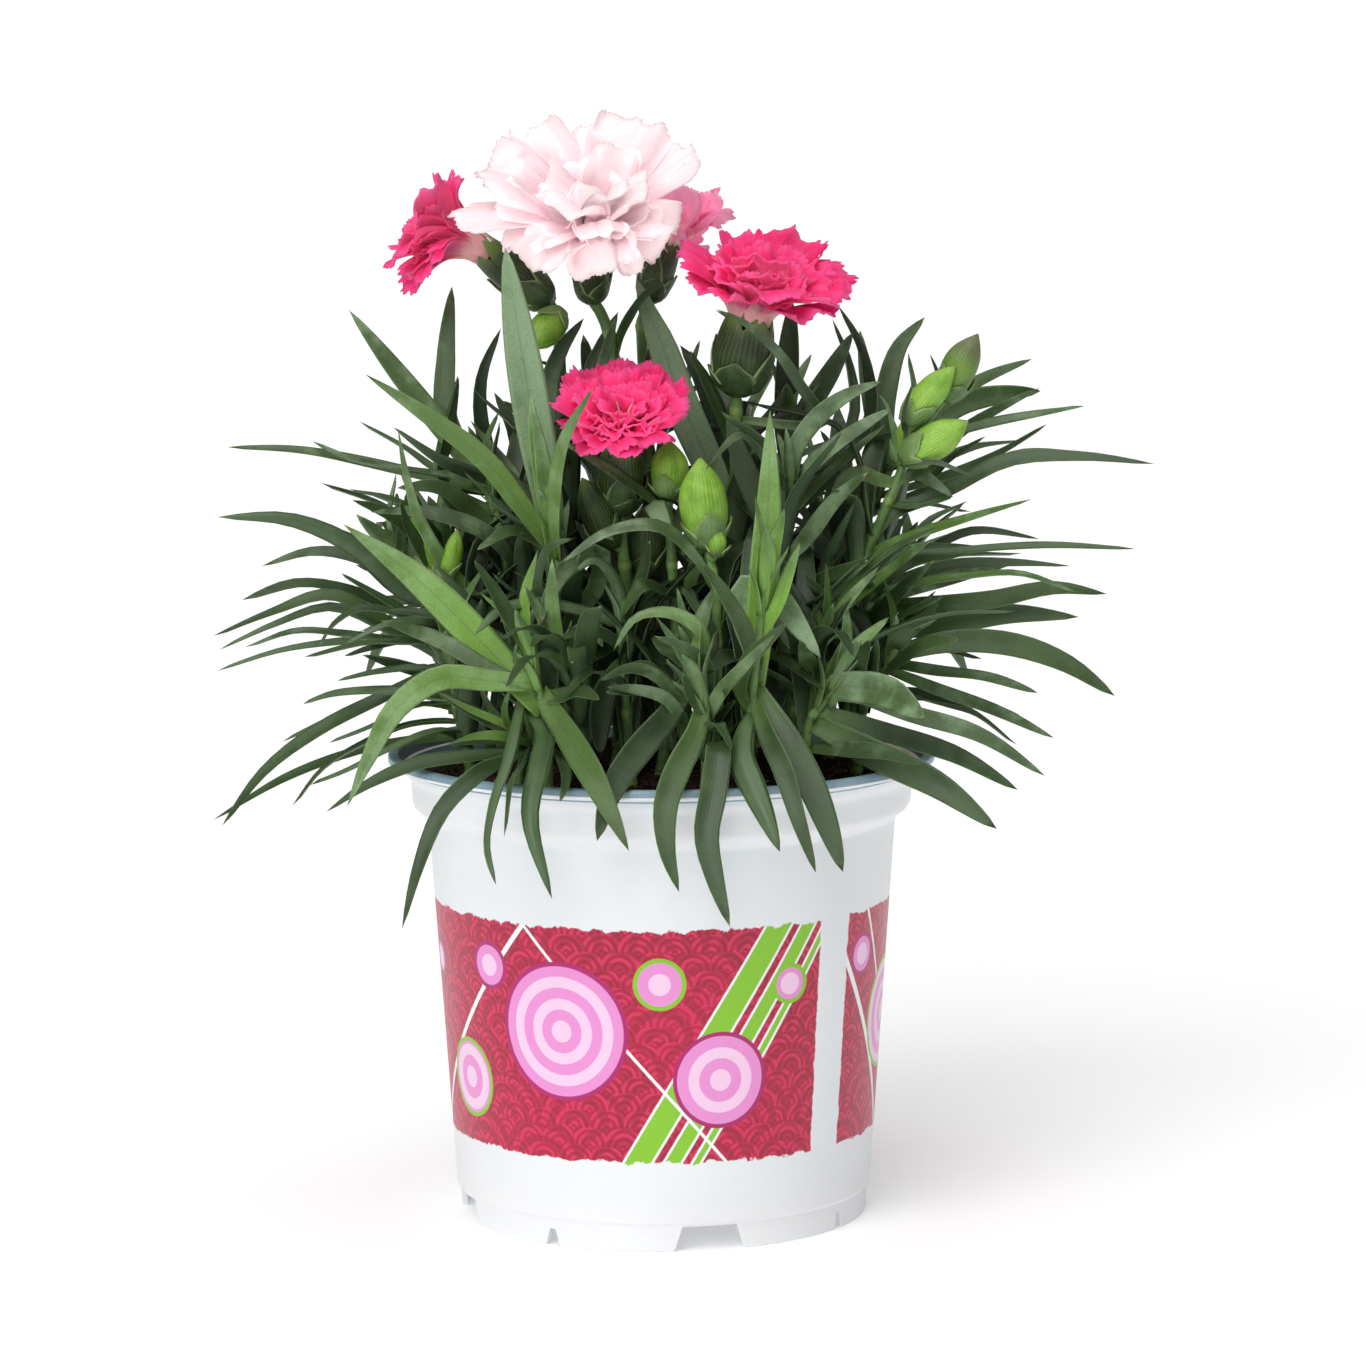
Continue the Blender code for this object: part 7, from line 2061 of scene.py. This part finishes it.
class CARNATION_OT_build_shoots(bpy.types.Operator):
    """Draws each leafy shoot again with a round jointed stem and thin channelled leaves"""
    bl_idname = "carnation.build_shoots"
    bl_label = "Build the shoots"

    def execute(self, context):
        materials = [leaf_material(), stem_material()]
        for node in list(STEMS) + list(GROWN_STEMS):
            if not node.startswith("shoot"):
                continue
            stem = stem_line(node)
            batch = Batch()
            add_leaves(batch, node, stem, chance_for(node), ())
            add_stem(batch, stem, STEM_FOOT_RADIUS * MM, SHOOT_TIP_RADIUS * MM, STEM_TINT, STEM_SLOT)
            piece = batch.piece("fine_" + node, materials)
            face_outward(piece)
            hand_over(piece, "shoot", node)
        return {"FINISHED"}


class CARNATION_OT_build_stalks(bpy.types.Operator):
    """Draws each stalk again with its leaves, buds, bracts and calyx"""
    bl_idname = "carnation.build_stalks"
    bl_label = "Build the stalks"

    def execute(self, context):
        materials = [bpy.data.materials["leaf"], bpy.data.materials["stem"], sepal_material()]
        for node in STEMS:
            if not node.startswith("stalk"):
                continue
            draw = chance_for(node)
            stem = stem_line(node)
            buds = BUDS.get(node, ())
            bloom = BLOOMS.get(node.replace("stalk_", ""))
            axes = [(seen(*bud.base), seen(*bud.tip)) for bud in buds]
            if bloom:
                axes.append((seen(*bloom.calyx_base), seen(*bloom.mouth)))
            batch = Batch()
            add_leaves(batch, node, stem, draw, axes)
            tip_radius = BLOOM_STALK_TIP_RADIUS if bloom else BUD_STALK_TIP_RADIUS
            add_stem(batch, stem, STEM_FOOT_RADIUS * MM, tip_radius * MM, STEM_TINT, STEM_SLOT)
            for bud in buds:
                add_bud(batch, bud, stem, draw)
            if bloom:
                add_calyx(batch, bloom, draw)
            piece = batch.piece("fine_" + node, materials)
            face_outward(piece)
            hand_over(piece, "stalk", node)
        return {"FINISHED"}


class CARNATION_OT_build_blooms(bpy.types.Operator):
    """Draws each bloom again with ruffled, toothed petals"""
    bl_idname = "carnation.build_blooms"
    bl_label = "Build the blooms"

    def execute(self, context):
        settings = context.scene.carnation_petals
        pink = petal_material("petal_pink", settings.deep, settings.pink, settings.rim,
                              srgb(190, 8, 64), srgb(232, 112, 160), 0.5, 0.004)
        # Painted light: a paler copy of the pink petals for the back bloom, brightened because it lies in
        # the pale bloom's shade.
        pink_lit = petal_material("petal_lilac", srgb(214, 44, 112), srgb(236, 108, 160), srgb(244, 152, 192),
                               srgb(216, 66, 126), srgb(246, 178, 208), 0.6, 0.005)
        pale = petal_material("petal_pale", settings.throat, settings.pale, srgb(231, 217, 217),
                              srgb(224, 196, 204), srgb(229, 211, 214), 0.85, 0.0065)
        looks = {"pale": (PALE_STYLE, pale), "pink_back": (NODDING_STYLE, pink_lit)}
        for name, bloom in BLOOMS.items():
            draw = chance_for(name)
            batch = Batch()
            style, material = looks.get(name, (PINK_STYLE, pink))
            add_bloom(batch, bloom, style, draw)
            if name != "pale":
                add_styles(batch, bloom, draw)
            piece = batch.piece("fine_petals_" + name, [material])
            face_outward(piece)
            hand_over(piece, "pale" if name == "pale" else "pink", "petals_" + name)
        return {"FINISHED"}


WHITE = (1.0, 1.0, 1.0, 1.0)
# Each light's turns and spread in degrees
KEY_LIGHT = ((55, 0, -26), 45)
TOP_LIGHT = ((4, 0, 0), 60)
FLOOR_SIDES = 96


class CARNATION_OT_build_studio(bpy.types.Operator):
    """Lays the pale floor and sets the lights and the camera"""
    bl_idname = "carnation.build_studio"
    bl_label = "Build the studio"

    def execute(self, context):
        scene = context.scene
        settings = scene.carnation_studio
        scene.view_settings.view_transform = "Standard"
        mesh = bpy.data.meshes.new("studio_floor")
        shape = bmesh.new()
        bmesh.ops.create_circle(shape, cap_ends=True, radius=settings.floor_radius, segments=FLOOR_SIDES)
        shape.to_mesh(mesh)
        shape.free()
        floor = new_object("studio_floor", mesh)
        material, tree, shader = new_material("floor")
        mottle = mottled(tree, 0.8, 60.0)
        dress(shader, blend(mottle["Patches"], settings.floor, srgb(252, 252, 252)), 0.9)
        shader.inputs["Emission Color"].default_value = WHITE
        shader.inputs["Emission Strength"].default_value = settings.glow
        mesh.materials.append(material)
        world = bpy.data.worlds.new("studio")
        world.use_nodes = True
        background = world.node_tree.nodes["Background"]
        background.inputs["Color"].default_value = WHITE
        background.inputs["Strength"].default_value = settings.sky
        scene.world = world
        for name, strength, (turns, spread) in (
                ("key", settings.key, KEY_LIGHT), ("top", settings.top, TOP_LIGHT)):
            lamp = bpy.data.lights.new(name, "SUN")
            lamp.energy = strength
            lamp.angle = math.radians(spread)
            new_object(name, lamp).rotation_euler = [math.radians(turn) for turn in turns]
        lens = bpy.data.cameras.new("camera")
        lens.lens = FOCAL_PIXELS / VIEW_PIXELS * SENSOR_WIDTH
        lens.sensor_width = SENSOR_WIDTH
        lens.sensor_fit = "HORIZONTAL"
        lens.clip_start = 0.01
        lens.clip_end = 100.0
        camera = new_object("camera", lens)
        turn = Matrix((RIGHT, UP, -FORWARD)).transposed()
        camera.matrix_world = Matrix.Translation(EYE * MM + POT_AXIS) @ turn.to_4x4()
        scene.camera = camera
        return {"FINISHED"}


class CARNATION_PT_sidebar(bpy.types.Panel):
    """Lists the steps that dress the plant and its pot"""
    bl_label = "Carnation"
    bl_idname = "CARNATION_PT_sidebar"
    bl_space_type = "VIEW_3D"
    bl_region_type = "UI"
    bl_category = "Carnation"

    def draw(self, context):
        for step in STEPS:
            self.layout.operator(step.bl_idname)


STEPS = (CARNATION_OT_build_pot, CARNATION_OT_build_soil, CARNATION_OT_build_shoots,
         CARNATION_OT_build_stalks, CARNATION_OT_build_blooms, CARNATION_OT_build_studio)
SETTINGS = (("carnation_pot", PotSettings), ("carnation_soil", SoilSettings),
            ("carnation_leaves", LeafSettings), ("carnation_petals", PetalSettings),
            ("carnation_studio", StudioSettings))


def register():
    """Adds the settings, the steps and the panel."""
    for name, group in SETTINGS:
        bpy.utils.register_class(group)
        setattr(bpy.types.Scene, name, PointerProperty(type=group))
    for step in STEPS:
        bpy.utils.register_class(step)
    bpy.utils.register_class(CARNATION_PT_sidebar)


def unregister():
    """Takes the panel, the steps and the settings away again."""
    bpy.utils.unregister_class(CARNATION_PT_sidebar)
    for step in reversed(STEPS):
        bpy.utils.unregister_class(step)
    for name, group in reversed(SETTINGS):
        delattr(bpy.types.Scene, name)
        bpy.utils.unregister_class(group)


def main():
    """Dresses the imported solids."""
    register()
    bpy.ops.carnation.build_pot()
    bpy.ops.carnation.build_soil()
    bpy.ops.carnation.build_shoots()
    bpy.ops.carnation.build_stalks()
    bpy.ops.carnation.build_blooms()
    bpy.ops.carnation.build_studio()


if __name__ == "__main__":
    main()
